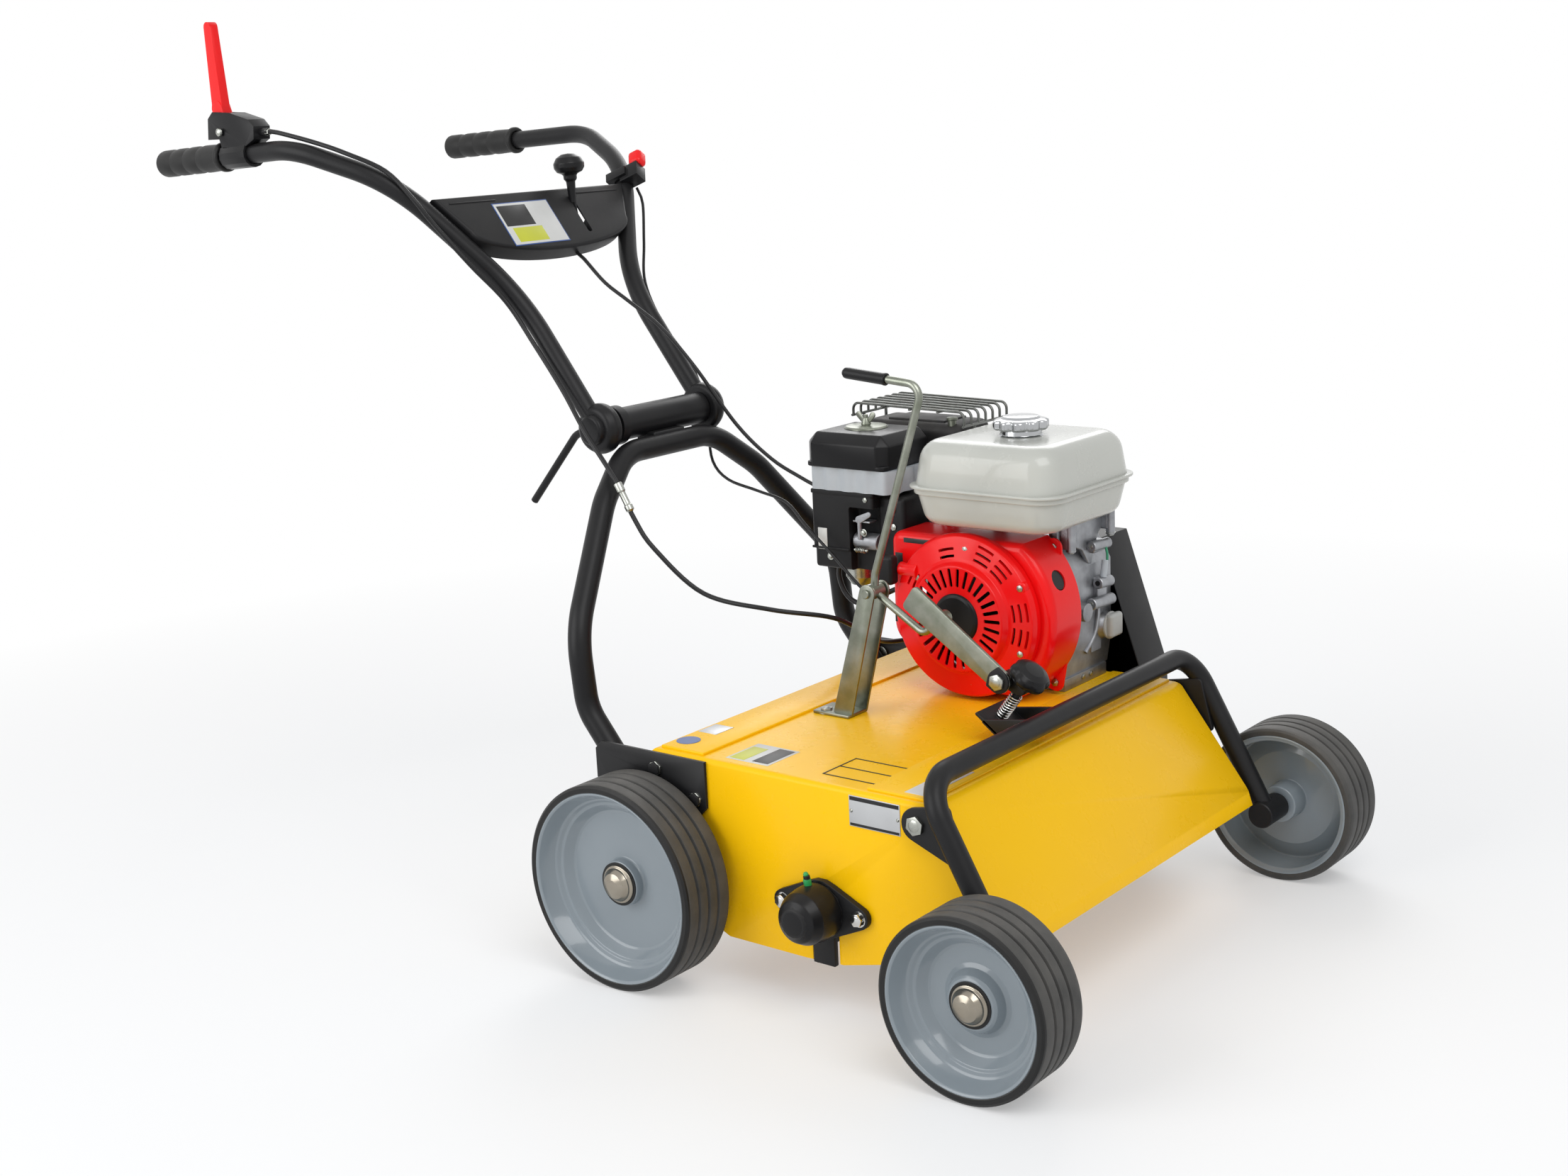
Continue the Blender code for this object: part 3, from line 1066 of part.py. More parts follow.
def console_point(y, down, lift=0.0):
    """A point of the console's face: y across, down its slope, lift off the tubes' plane."""
    return Vector((-0.419, y, 0.772)) + SLOPE * down + FACE * lift


def console_turn():
    """Rotation that lays a plate's outline (minus y, down the slope) on the console's face."""
    return Matrix((Vector((0, -1, 0)), SLOPE, FACE)).transposed().to_4x4()


def make_console():
    back, middle = 0.176, 0.146
    front = arc(0.0, 0.052, 1.0, 0, 180, 8)
    front = [(x * middle, 0.052 + (z - 0.052) * 0.031) for x, z in front]
    ob = plate("console", [(back, 0.0)] + front + [(-back, 0.0)], CONSOLE_DEPTH, 0.0, BLACK)
    ob.matrix_basis = (Matrix.Translation(console_point(0, 0, CONSOLE_TOP - CONSOLE_DEPTH / 2))
                       @ console_turn())
    bm = bmesh.new()
    bm.from_mesh(ob.data)
    below = [f for f in bm.faces if f.normal.z < -0.9]
    bmesh.ops.delete(bm, geom=below, context="FACES")
    bm.to_mesh(ob.data)
    bm.free()
    shell = ob.modifiers.new("sheet", "SOLIDIFY")
    shell.thickness = CONSOLE_WALL
    shell.offset = -1.0
    shell.use_even_offset = True
    for side in (-1, 1):
        path = [(x, side * y, z) for x, y, z in BAR_PATH]
        cut(ob, solid_tube("bar_seat_%d" % side, bent(path, BAR_BENDS, 3),
                           (BAR_R + GAP) / math.cos(math.pi / 10), cutter=True, resolution=3))
    under = CONSOLE_TOP - CONSOLE_WALL / 2
    ends = [console_point(0, down, under) for down in (0.052, 0.080)]
    ears = hull((*THROTTLE_PIVOT, 0.008), *[(p.x, p.z, 0.001) for p in ends], count=12)
    for i, y in enumerate((THROTTLE_Y - 0.008, THROTTLE_Y + 0.008)):
        join(ob, plate("throttle_ear_%d" % i, ears, 0.003, y, cutter=True))
    cut(ob, rod("throttle_pin_hole", (THROTTLE_PIVOT[0], THROTTLE_Y - 0.02, THROTTLE_PIVOT[1]),
                (THROTTLE_PIVOT[0], THROTTLE_Y + 0.02, THROTTLE_PIVOT[1]), bore(0.003, sides=12),
                cutter=True, sides=12))
    slot = box("throttle_slot", (-THROTTLE_Y - 0.004, 0.022, -0.006), (-THROTTLE_Y + 0.004, 0.074, 0.006),
               cutter=True)
    slot.matrix_basis = (Matrix.Translation(console_point(0, 0, CONSOLE_TOP)) @ console_turn()
                         @ Matrix.Translation((-THROTTLE_Y, 0.046, 0)))
    cut(ob, slot)


def make_throttle():
    px, pz = THROTTLE_PIVOT
    stalk = plate("throttle_lever", hull((px, pz, 0.006), (px - 0.002, pz + 0.060, 0.0035), count=12), 0.003,
                  THROTTLE_Y, PLASTIC)
    pin = rod("throttle_pin", (px, THROTTLE_Y - 0.011, pz), (px, THROTTLE_Y + 0.011, pz), 0.003,
              cutter=True, sides=12)
    top = (px - 0.003, THROTTLE_Y, pz + 0.106)
    knob = turned("throttle_knob", [(0.0, 0.014), (0.012, 0.012), (0.0195, 0.005), (0.0215, -0.003),
                                    (0.019, -0.010), (0.009, -0.014), (0.006, -0.017), (0.006, -0.052),
                                    (0.0, -0.052)], top, cutter=True, steps=12, axis=(0, 0, 1))
    join(stalk, pin, knob)
    origin_at(stalk, px, 0, pz)


def make_clamp_lever():
    tilt = Vector(BAR_PATH[4]) - Vector(BAR_PATH[3])
    tilt.y *= -1
    run = tilt.normalized()
    start = Vector((BAR_PATH[3][0], -BAR_PATH[3][1], BAR_PATH[3][2]))

    def on_bar(x):
        return start + run * ((x - start.x) / run.x)

    y = on_bar(-0.66).y
    clamp = rod("lever_clamp", on_bar(-0.6935), on_bar(-0.640), 0.0172, PLASTIC, sides=14)
    outline = [(-0.717, 0.8655), (-0.7135, 0.892), (-0.703, 0.9005), (-0.668, 0.8985), (-0.630, 0.889),
               (-0.620, 0.880), (-0.622, 0.864), (-0.642, 0.855), (-0.690, 0.855), (-0.6935, 0.8655)]
    horn = plate("clamp_horn", outline, 0.026, y, cutter=True)
    join(clamp, horn)
    cut(clamp, solid_tube("clamp_seat", bent([(a, -b, c) for a, b, c in BAR_PATH], BAR_BENDS, 3),
                          (BAR_R + GAP) / math.cos(math.pi / 10), cutter=True, resolution=3))
    cut(clamp, box("lever_fork", (-0.730, y - 0.0078, 0.8645), (TRIGGER_PIVOT[0] + 0.012, y + 0.0078, 0.93),
                   cutter=True))
    px, pz = TRIGGER_PIVOT
    join(clamp, rod("trigger_bolt", (px, y - 0.0165, pz), (px, y + 0.0145, pz), 0.0038, cutter=True,
                    sides=12))
    join(clamp, rod("cable_ferrule", (-0.628, y, 0.8725), (-0.606, y, 0.8725), 0.0048, cutter=True, sides=8))

    tip = (px - 0.0165, pz + 0.133)
    knee = (px - 0.012, pz + 0.030)
    lower = hull((px, pz, 0.0095), (*knee, 0.0105), count=14)
    upper = hull((*knee, 0.0105), (*tip, 0.0065), count=14)
    lever = plate("deadman_lever", lower, 0.0145, y, RED)
    join(lever, plate("trigger_blade", upper, 0.0125, y, cutter=True))
    cut(lever, rod("trigger_bore", (px, y - 0.02, pz), (px, y + 0.02, pz), bore(0.0038, sides=12),
                   cutter=True, sides=12))
    origin_at(lever, px, 0, pz)


def make_switch():
    centre = Vector((-0.4235, 0.1925, 0.783))
    along = Vector((-0.466, 0.523, 0.713)).normalized()
    out = Vector((0.80, 0.25, 0.35))
    out = (out - along * out.dot(along)).normalized()
    across = along.cross(out)
    turn = Matrix((across, out, along)).transposed().to_4x4()

    def block(name, low, high, mat=None, cutter=False):
        ob = box(name, low, high, mat, cutter)
        shift = Matrix.Translation(ob.location)
        ob.matrix_basis = Matrix.Translation(centre) @ turn @ shift
        return ob

    body = block("switch_body", (-0.011, 0.004, -0.012), (0.011, 0.033, 0.012), PLASTIC)
    band = block("switch_band", (-0.016, -0.016, -0.006), (0.016, 0.016, 0.008), cutter=True)
    join(body, band)
    cut(body, solid_tube("switch_seat", bent(BAR_PATH, BAR_BENDS, 3), (BAR_R + GAP) / math.cos(math.pi / 10),
                         cutter=True, resolution=3))
    rocker = block("switch_knob", (-0.010, 0.017, 0.012 + GAP), (0.010, 0.038, 0.036), RED)
    rounded(rocker, 0.004, 1)


def make_clamp_rod():
    y = -0.075
    ob = turned("clamp_rod", [(COLLAR_R, 0.007), (COLLAR_R, -0.007), (CROSS_R + 0.0004, -0.007),
                              (CROSS_R + 0.0004, 0.007)], (BAR_X, y, BAR_Z), ZINC, steps=20,
                closed=True, axis=(0, 1, 0))
    path = bent([(BAR_X - COLLAR_R + 0.002, y, 0.484), (-0.281, y, 0.4735), (-0.368, y, 0.378)], [0.030], 4)
    join(ob, solid_tube("clamp_handle", path, 0.005, cutter=True, resolution=2))


def make_cables():
    for name, route, radius, mat in (("clutch_cable", CLUTCH_CABLE, 0.0030, RUBBER),
                                     ("throttle_cable", THROTTLE_CABLE, 0.0025, RUBBER),
                                     ("stop_wire", STOP_WIRE, 0.0020, RUBBER)):
        tube(name, flowing(route, CABLE_STEP), radius, mat, resolution=2)


def main():
    make_wheels()
    make_deck()
    make_rear_brackets()
    make_arch()
    make_rotor()
    make_bearing(-1, "right")
    make_bearing(1, "left")
    make_belt_drive()
    make_engine()
    make_shroud()
    make_recoil_cover()
    make_tank()
    make_intake()
    make_exhaust()
    knob, down = make_front_axle()
    make_spring(knob, down)
    make_lift_gear()
    make_handlebar()
    make_console()
    make_throttle()
    make_clamp_lever()
    make_switch()
    make_clamp_rod()
    make_cables()


main()
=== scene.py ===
# %% [markdown]
# # A lawn scarifier, dressed for its photograph
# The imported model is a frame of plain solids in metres: it says where every piece is and what
# moves. This script hangs the finished surfaces on it. The scarifier has a yellow sheet steel
# deck with a petrol engine, four grey wheels, a tube handlebar and a linkage that lifts the
# front axle. The cells after the helpers make them one by one, from the ground upwards.

# %% Load the frame
import json
import math

import bmesh
import bpy
from mathutils import Matrix, Quaternion, Vector

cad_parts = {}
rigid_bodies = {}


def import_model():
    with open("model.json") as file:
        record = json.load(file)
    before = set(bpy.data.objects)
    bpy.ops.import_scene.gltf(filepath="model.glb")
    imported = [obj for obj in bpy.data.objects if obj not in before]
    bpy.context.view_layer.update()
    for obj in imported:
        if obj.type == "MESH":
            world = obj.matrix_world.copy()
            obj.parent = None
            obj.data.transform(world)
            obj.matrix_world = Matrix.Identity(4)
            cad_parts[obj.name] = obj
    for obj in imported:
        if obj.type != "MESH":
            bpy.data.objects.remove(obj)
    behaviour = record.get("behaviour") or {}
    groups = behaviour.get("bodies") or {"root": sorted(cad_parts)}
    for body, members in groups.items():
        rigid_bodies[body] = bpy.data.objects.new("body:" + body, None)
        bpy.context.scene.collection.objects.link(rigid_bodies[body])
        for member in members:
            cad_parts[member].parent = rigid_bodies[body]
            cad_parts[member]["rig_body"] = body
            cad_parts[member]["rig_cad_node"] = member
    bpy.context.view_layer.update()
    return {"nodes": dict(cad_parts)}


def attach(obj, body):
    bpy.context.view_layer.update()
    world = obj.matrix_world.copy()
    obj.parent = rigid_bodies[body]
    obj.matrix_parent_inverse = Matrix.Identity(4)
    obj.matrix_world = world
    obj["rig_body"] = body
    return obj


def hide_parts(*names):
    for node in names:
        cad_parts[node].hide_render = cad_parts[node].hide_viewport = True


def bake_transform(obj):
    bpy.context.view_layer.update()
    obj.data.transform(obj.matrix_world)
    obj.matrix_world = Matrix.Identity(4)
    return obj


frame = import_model()

# %% [markdown]
# ## The camera
# The view was matched to the photograph: the camera stands at the machine's front right, a
# little above the engine, and is rolled a few degrees, as a hand held one is. A lens in
# millimetres and a sensor of 36 mm say how wide it sees.

# %% Camera
bpy.ops.object.camera_add(location=(1.7058, -1.9536, 0.9545),
                          rotation=[math.radians(a) for a in (77.753, 3.883, 38.541)])
camera = bpy.context.object
camera.data.lens = 46.954
camera.data.sensor_width = 36
bpy.context.scene.camera = camera
bpy.context.scene.view_settings.view_transform = "Standard"
print("camera lens, mm:", round(camera.data.lens, 2))

# %% [markdown]
# ## Floor, world and lamps
# The machine stands on a pale sweep with a soft shadow. Near the wheels the floor is plain
# matt white, which takes the shadow, and further out it fades to the same white as the world,
# so no horizon shows. Three large area lamps stand for soft boxes: large lamps give wide, soft
# reflections in gloss paint. The world is plain white to the camera and to reflections, and
# dimmer and a little blue as a light. Nodes are made and wired by one small helper.

# %% Shader nodes
def shader_node(tree, kind, sources=(), **settings):
    """A node of this kind; sources are (its input, a socket or a value) pairs."""
    node = tree.nodes.new("ShaderNode" + kind)
    for name, value in settings.items():
        setattr(node, name, value)
    wire_up(tree, node, sources)
    return node


def wire_up(tree, node, sources):
    """Links sockets to a node's inputs and sets its plain values."""
    for key, value in sources:
        if isinstance(value, bpy.types.NodeSocket):
            tree.links.new(value, node.inputs[key])
        else:
            node.inputs[key].default_value = value


# %% Studio
FLOOR_R, MATT_TO, WHITE_FROM, LEAST_GLOW = 9.0, 0.9, 2.4, 0.35


def white_sweep():
    mat = bpy.data.materials.new("white_sweep")
    mat.use_nodes = True
    tree = mat.node_tree
    shader = tree.nodes["Principled BSDF"]
    wire_up(tree, shader, [("Base Color", (0.9, 0.9, 0.9, 1)), ("Roughness", 0.6)])
    coords = shader_node(tree, "TexCoord")
    length = shader_node(tree, "VectorMath", [(0, coords.outputs["Object"])], operation="LENGTH")
    far = shader_node(tree, "MapRange", [("Value", length.outputs["Value"]), ("From Min", MATT_TO),
                                         ("From Max", WHITE_FROM), ("To Min", LEAST_GLOW)])
    glow = shader_node(tree, "Emission")
    mix = shader_node(tree, "MixShader", [("Fac", far.outputs["Result"]), (1, shader.outputs["BSDF"]),
                                          (2, glow.outputs["Emission"])])
    wire_up(tree, tree.nodes["Material Output"], [("Surface", mix.outputs["Shader"])])
    return mat


def white_world(ambient):
    world = bpy.data.worlds.new("white_room")
    bpy.context.scene.world = world
    world.use_nodes = True
    tree = world.node_tree
    soft = tree.nodes["Background"]
    wire_up(tree, soft, [("Color", (0.93, 0.96, 1.0, 1)), ("Strength", ambient)])
    seen = shader_node(tree, "Background", [("Color", (1, 1, 1, 1)), ("Strength", 1.0)])
    rays = shader_node(tree, "LightPath").outputs
    either = shader_node(tree, "Math", [(0, rays["Is Camera Ray"]), (1, rays["Is Glossy Ray"])],
                         operation="MAXIMUM")
    any_ray = shader_node(tree, "Math", [(0, either.outputs[0]), (1, rays["Is Transmission Ray"])],
                          operation="MAXIMUM")
    mix = shader_node(tree, "MixShader", [("Fac", any_ray.outputs[0]), (1, soft.outputs["Background"]),
                                          (2, seen.outputs["Background"])])
    wire_up(tree, tree.nodes["World Output"], [("Surface", mix.outputs["Shader"])])


bpy.ops.mesh.primitive_circle_add(vertices=96, radius=FLOOR_R, fill_type="NGON", location=(0, 0, 0))
floor = bpy.context.object
floor.name = "floor"
floor.data.materials.append(white_sweep())
white_world(0.45)

for label, place, size, watts in (("key", (2.2, -1.2, 2.9), 2.2, 55),
                                  ("fill", (-1.2, -3.0, 1.7), 2.4, 58),
                                  ("back", (-1.2, 2.6, 2.4), 2.0, 34)):
    aim = (Vector((0, 0, 0.45)) - Vector(place)).to_track_quat("-Z", "Y").to_euler()
    bpy.ops.object.light_add(type="AREA", location=place, rotation=aim)
    lamp = bpy.context.object
    lamp.name = "lamp_" + label
    lamp.data.size = size
    lamp.data.energy = watts
    print("lamp", label, "watts", watts)

# %% [markdown]
# ## Shared effects
# Paint, plating and moulded plastic differ in colour and gloss, but they share what time and
# handling do to them: uneven colour, worn edges, dust on what faces up, fine grain and lines
# from drawing or brushing. Each effect is a node group, built once and set by its inputs. All
# of them read Object coordinates, so a pattern stays on its piece when the piece moves.

# %% Group helper
def effect_group(title, inputs, outputs):
    """An empty shader group with its sockets; inputs are (name, kind, value)."""
    tree = bpy.data.node_groups.new(title, "ShaderNodeTree")
    for name, kind, value in inputs:
        socket = tree.interface.new_socket(name=name, in_out="INPUT", socket_type=kind)
        socket.default_value = value
    for name, kind in outputs:
        tree.interface.new_socket(name=name, in_out="OUTPUT", socket_type=kind)
    return tree, tree.nodes.new("NodeGroupInput"), tree.nodes.new("NodeGroupOutput")


def math_node(tree, operation, first, second, clamp=False):
    """A Math node fed by sockets or plain numbers; returns its output."""
    node = shader_node(tree, "Math", [(0, first), (1, second)], operation=operation, use_clamp=clamp)
    return node.outputs[0]


def noise_node(tree, scale, detail=3.0, roughness=0.55, stretch=None):
    """Noise on Object coordinates, with a stretch along each axis if one is given."""
    start = shader_node(tree, "TexCoord").outputs["Object"]
    if stretch:
        start = shader_node(tree, "Mapping", [("Vector", start), ("Scale", stretch)]).outputs["Vector"]
    return shader_node(tree, "TexNoise", [("Vector", start), ("Scale", scale), ("Detail", detail),
                                          ("Roughness", roughness)]).outputs["Fac"]


def colour_mix(tree, share, below, above):
    """Lays one colour over another by a share; each is a socket or a value."""
    return shader_node(tree, "Mix", [("Factor", share), (6, below), (7, above)],
                       data_type="RGBA").outputs[2]


FLOAT, COLOUR = "NodeSocketFloat", "NodeSocketColor"

# %% Uneven colour
tree, given, result = effect_group("uneven_colour", [
    ("Colour", COLOUR, (0.5, 0.5, 0.5, 1)), ("Second Colour", COLOUR, (0.4, 0.4, 0.4, 1)),
    ("Scale", FLOAT, 14.0), ("Amount", FLOAT, 0.5)], [("Colour", COLOUR)])
patches = noise_node(tree, given.outputs["Scale"], 4.0)
spread = math_node(tree, "MULTIPLY_ADD", patches, 3.0)
spread.node.inputs[2].default_value = -1.0
above = math_node(tree, "MAXIMUM", spread, 0.0)
share = math_node(tree, "MULTIPLY", above, given.outputs["Amount"], True)
mixed = colour_mix(tree, share, given.outputs["Colour"], given.outputs["Second Colour"])
tree.links.new(mixed, result.inputs["Colour"])
UNEVEN = tree

# %% [markdown]
# Paint goes first where it is thinnest, on corners. A Bevel node gives the normal that a
# rounded corner would have, and where that differs from the true normal there is an edge.
# Noise breaks the line up, so the wear isn't a drawn outline.

# %% Worn edges
tree, given, result = effect_group("worn_edges", [
    ("Radius", FLOAT, 0.0015), ("Amount", FLOAT, 0.5)], [("Mask", FLOAT)])
rounded = shader_node(tree, "Bevel", [("Radius", given.outputs["Radius"])], samples=4)
true_normal = shader_node(tree, "NewGeometry").outputs["Normal"]
dot = shader_node(tree, "VectorMath", [(0, rounded.outputs["Normal"]), (1, true_normal)],
                  operation="DOT_PRODUCT")
edge = math_node(tree, "SUBTRACT", 1.0, dot.outputs["Value"])
broken = math_node(tree, "MULTIPLY", noise_node(tree, 95.0, 5.0), 1.6)
bare = math_node(tree, "MULTIPLY", edge, broken)
chips = math_node(tree, "MULTIPLY", bare, given.outputs["Amount"], True)
tree.links.new(chips, result.inputs["Mask"])
WORN = tree

# %% Settled dust
tree, given, result = effect_group("settled_dust", [
    ("Amount", FLOAT, 0.2), ("Scale", FLOAT, 30.0)], [("Mask", FLOAT)])
facing = shader_node(tree, "NewGeometry").outputs["Normal"]
parts = shader_node(tree, "SeparateXYZ", [("Vector", facing)])
upward = math_node(tree, "MAXIMUM", parts.outputs["Z"], 0.0)
drift = math_node(tree, "MULTIPLY", upward, noise_node(tree, given.outputs["Scale"], 5.0, 0.7))
tree.links.new(math_node(tree, "MULTIPLY", drift, given.outputs["Amount"], True), result.inputs["Mask"])
DUST = tree

# %% [markdown]
# Grain is a height, for a Bump node: fine noise for moulded plastic, rubber and castings, and
# noise drawn out along one axis for brushed or plated metal. Handling is a roughness that
# wanders a little, as fingers, oil and polish leave it.

# %% Grain, drawn lines and handling
tree, given, result = effect_group("moulded_grain", [
    ("Scale", FLOAT, 900.0), ("Waviness", FLOAT, 0.2)], [("Height", FLOAT)])
fine = noise_node(tree, given.outputs["Scale"], 2.0)
broad = math_node(tree, "MULTIPLY", noise_node(tree, 24.0, 2.0), given.outputs["Waviness"])
tree.links.new(math_node(tree, "ADD", fine, broad), result.inputs["Height"])
GRAIN = tree

tree, given, result = effect_group("drawn_lines", [("Scale", FLOAT, 60.0)], [("Height", FLOAT)])
lines = noise_node(tree, given.outputs["Scale"], 3.0, 0.6, stretch=(1.0, 1.0, 16.0))
tree.links.new(lines, result.inputs["Height"])
LINES = tree

tree, given, result = effect_group("handled_gloss", [
    ("Roughness", FLOAT, 0.4), ("Spread", FLOAT, 0.1), ("Scale", FLOAT, 22.0)],
    [("Roughness", FLOAT)])
cloud = math_node(tree, "SUBTRACT", noise_node(tree, given.outputs["Scale"], 5.0, 0.65), 0.5)
shift = math_node(tree, "MULTIPLY", cloud, given.outputs["Spread"])
both_ways = math_node(tree, "MULTIPLY", shift, 2.0)
tree.links.new(math_node(tree, "ADD", given.outputs["Roughness"], both_ways, True),
               result.inputs["Roughness"])
HANDLED = tree
print("effect groups:", len(bpy.data.node_groups))

# %% [markdown]
# ## The finishes
# One function lays a finish: base colour through uneven colour, then wear on the edges and
# dust on top, roughness through handling, and grain or lines into a Bump node. Every finish
# passes its own numbers.

# %% Lay a finish
RELIEF, LEAST_GRAIN, WORN_RADIUS = 0.0004, 0.05, 0.0012
DUST_COLOUR = (0.42, 0.39, 0.34, 1)


def finish_for(title, colour, second, roughness, *, metallic=0.0, patch_scale=14.0, patch=0.5,
               spread=0.08, worn=0.0, worn_colour=(0.45, 0.45, 0.44), dust=0.12, grain=0.0,
               grain_scale=900.0, lines=0.0, clear=0.0, clear_rough=0.06, waviness=0.2,
               sheen_level=0.3):
    """A material of this title, with its own colours and settings."""
    mat = bpy.data.materials.new(title)
    mat.use_nodes = True
    tree = mat.node_tree

    def effect(group, **values):
        sources = [(name.replace("_", " "), value) for name, value in values.items()]
        node = shader_node(tree, "Group", node_tree=group)
        wire_up(tree, node, sources)
        return node.outputs[0]

    seen = effect(UNEVEN, Colour=(*colour, 1), Second_Colour=(*second, 1), Scale=patch_scale,
                  Amount=patch)
    if worn:
        mask = effect(WORN, Radius=WORN_RADIUS, Amount=worn)
        seen = colour_mix(tree, mask, seen, (*worn_colour, 1))
    if dust:
        seen = colour_mix(tree, effect(DUST, Amount=dust), seen, DUST_COLOUR)
    relief = effect(LINES) if lines else effect(GRAIN, Scale=grain_scale, Waviness=waviness)
    bump = shader_node(tree, "Bump", [("Distance", RELIEF), ("Strength", lines or grain or LEAST_GRAIN),
                                      ("Height", relief)])
    wire_up(tree, tree.nodes["Principled BSDF"], [
        ("Base Color", seen), ("Metallic", metallic), ("Coat Weight", clear),
        ("Specular IOR Level", sheen_level if metallic < 0.5 else 0.5),
        ("Coat Roughness", clear_rough), ("Normal", bump.outputs["Normal"]),
        ("Roughness", effect(HANDLED, Roughness=roughness, Spread=spread))])
    return mat


# %% Paints
YELLOW = finish_for("deck_yellow", (0.98, 0.56, 0.003), (0.94, 0.51, 0.003), 0.28,
                    patch_scale=5.0, patch=0.35, worn=0.5, worn_colour=(0.62, 0.4, 0.05), dust=0.03,
                    grain=0.05, grain_scale=420.0, waviness=1.5, sheen_level=0.16)
BLACK = finish_for("tube_black", (0.007, 0.007, 0.008), (0.013, 0.013, 0.014), 0.4,
                   worn=0.4, worn_colour=(0.06, 0.06, 0.06), dust=0.02, grain=0.04, grain_scale=500.0,
                   waviness=1.2, sheen_level=0.2)
PRESSED_BLACK = finish_for("pressed_black", (0.009, 0.009, 0.01), (0.017, 0.017, 0.018),
                           0.42, worn=0.7, worn_colour=(0.11, 0.11, 0.11), dust=0.04, grain=0.06,
                           grain_scale=380.0, waviness=1.5, sheen_level=0.2)
RED = finish_for("shroud_red", (0.88, 0.0035, 0.005), (0.74, 0.003, 0.004), 0.24,
                 patch_scale=6.0, worn=0.4, worn_colour=(0.5, 0.06, 0.05), dust=0.02, grain=0.04,
                 grain_scale=300.0, clear=0.05, waviness=1.6, sheen_level=0.24)
CREAM = finish_for("tank_cream", (0.5, 0.505, 0.465), (0.46, 0.465, 0.425), 0.26,
                   patch_scale=8.0, dust=0.04, grain=0.04, grain_scale=260.0, clear=0.3, waviness=1.2)
STOVE_BLACK = finish_for("muffler_black", (0.012, 0.012, 0.013), (0.028, 0.026, 0.025),
                         0.55, metallic=0.2, patch_scale=30.0, patch=0.8, worn=0.6,
                         worn_colour=(0.1, 0.09, 0.08), dust=0.08, grain=0.22, grain_scale=520.0)

# %% Plastics and rubber
CASE_BLACK = finish_for("case_black", (0.007, 0.007, 0.008), (0.012, 0.012, 0.013),
                        0.3, worn=0.4, worn_colour=(0.05, 0.05, 0.05), dust=0.03, grain=0.07,
                        grain_scale=1100.0, sheen_level=0.18)
GRAINED_BLACK = finish_for("grained_black", (0.009, 0.009, 0.01),
                           (0.015, 0.015, 0.016), 0.42, worn=0.4,
                           worn_colour=(0.06, 0.06, 0.06), dust=0.04, grain=0.22,
                           grain_scale=1400.0, sheen_level=0.18)
RED_KEY = finish_for("lever_red", (0.86, 0.006, 0.007), (0.72, 0.005, 0.006), 0.32,
                     patch_scale=18.0, worn=0.4, worn_colour=(0.7, 0.1, 0.09), dust=0.03, grain=0.08,
                     grain_scale=1200.0)
MILKY = finish_for("milky_band", (0.44, 0.47, 0.5), (0.36, 0.39, 0.42), 0.38,
                   patch_scale=30.0, dust=0.05, grain=0.08, grain_scale=700.0)
WHEEL_GREY = finish_for("rim_grey", (0.232, 0.268, 0.294), (0.2, 0.236, 0.262), 0.22,
                        patch_scale=9.0, worn=0.7, worn_colour=(0.42, 0.46, 0.49), dust=0.05,
                        grain=0.06, grain_scale=800.0, clear=0.55, clear_rough=0.08)
TYRE = finish_for("tyre_black", (0.042, 0.042, 0.041), (0.072, 0.069, 0.065), 0.6,
                  patch_scale=26.0, patch=0.9, spread=0.14, worn=1.0, worn_colour=(0.13, 0.12, 0.11),
                  dust=0.16, grain=0.3, grain_scale=950.0)
GRIP = finish_for("grip_rubber", (0.008, 0.008, 0.008), (0.015, 0.015, 0.015), 0.46,
                  patch_scale=40.0, worn=0.5, worn_colour=(0.05, 0.05, 0.05), dust=0.04, grain=0.2,
                  grain_scale=1300.0, sheen_level=0.26)
CABLE = finish_for("cable_black", (0.008, 0.008, 0.009), (0.014, 0.014, 0.015), 0.36,
                   patch_scale=60.0, dust=0.03, grain=0.1, grain_scale=1500.0, sheen_level=0.26)

# %% Metals
ZINC = finish_for("zinc_plate", (0.19, 0.205, 0.165), (0.3, 0.31, 0.27), 0.34,
                  metallic=1.0, patch_scale=45.0, patch=0.8, spread=0.16, dust=0.03, lines=0.1)
BOLT = finish_for("bolt_zinc", (0.42, 0.43, 0.4), (0.3, 0.31, 0.28), 0.28, metallic=1.0,
                  patch_scale=90.0, patch=0.8, spread=0.14, dust=0.03, grain=0.08, grain_scale=900.0)
BRIGHT = finish_for("bright_steel", (0.6, 0.6, 0.59), (0.52, 0.52, 0.5), 0.14, metallic=1.0,
                    patch_scale=40.0, spread=0.08, dust=0.03, lines=0.04)
CHROME = finish_for("cap_chrome", (0.45, 0.46, 0.47), (0.38, 0.39, 0.4), 0.12,
                    metallic=1.0, patch_scale=30.0, spread=0.05, dust=0.03, grain=0.02,
                    grain_scale=500.0)
WIRE = finish_for("guard_wire", (0.2, 0.21, 0.2), (0.14, 0.14, 0.13), 0.3, metallic=1.0,
                  patch_scale=70.0, patch=0.9, spread=0.14, dust=0.05, grain=0.1, grain_scale=900.0)
CAST = finish_for("cast_alloy", (0.35, 0.36, 0.38), (0.24, 0.245, 0.26), 0.44,
                  metallic=0.9, patch_scale=55.0, patch=0.9, spread=0.14, dust=0.06,
                  grain=0.45, grain_scale=420.0)
BRONZE = finish_for("cap_bronze", (0.32, 0.29, 0.24), (0.24, 0.21, 0.17), 0.2, metallic=1.0,
                    patch_scale=40.0, spread=0.1, dust=0.03, lines=0.05)
LABEL_DARK = finish_for("label_dark", (0.02, 0.02, 0.02), (0.03, 0.03, 0.03), 0.34,
                        patch_scale=40.0, dust=0.03, grain=0.03)
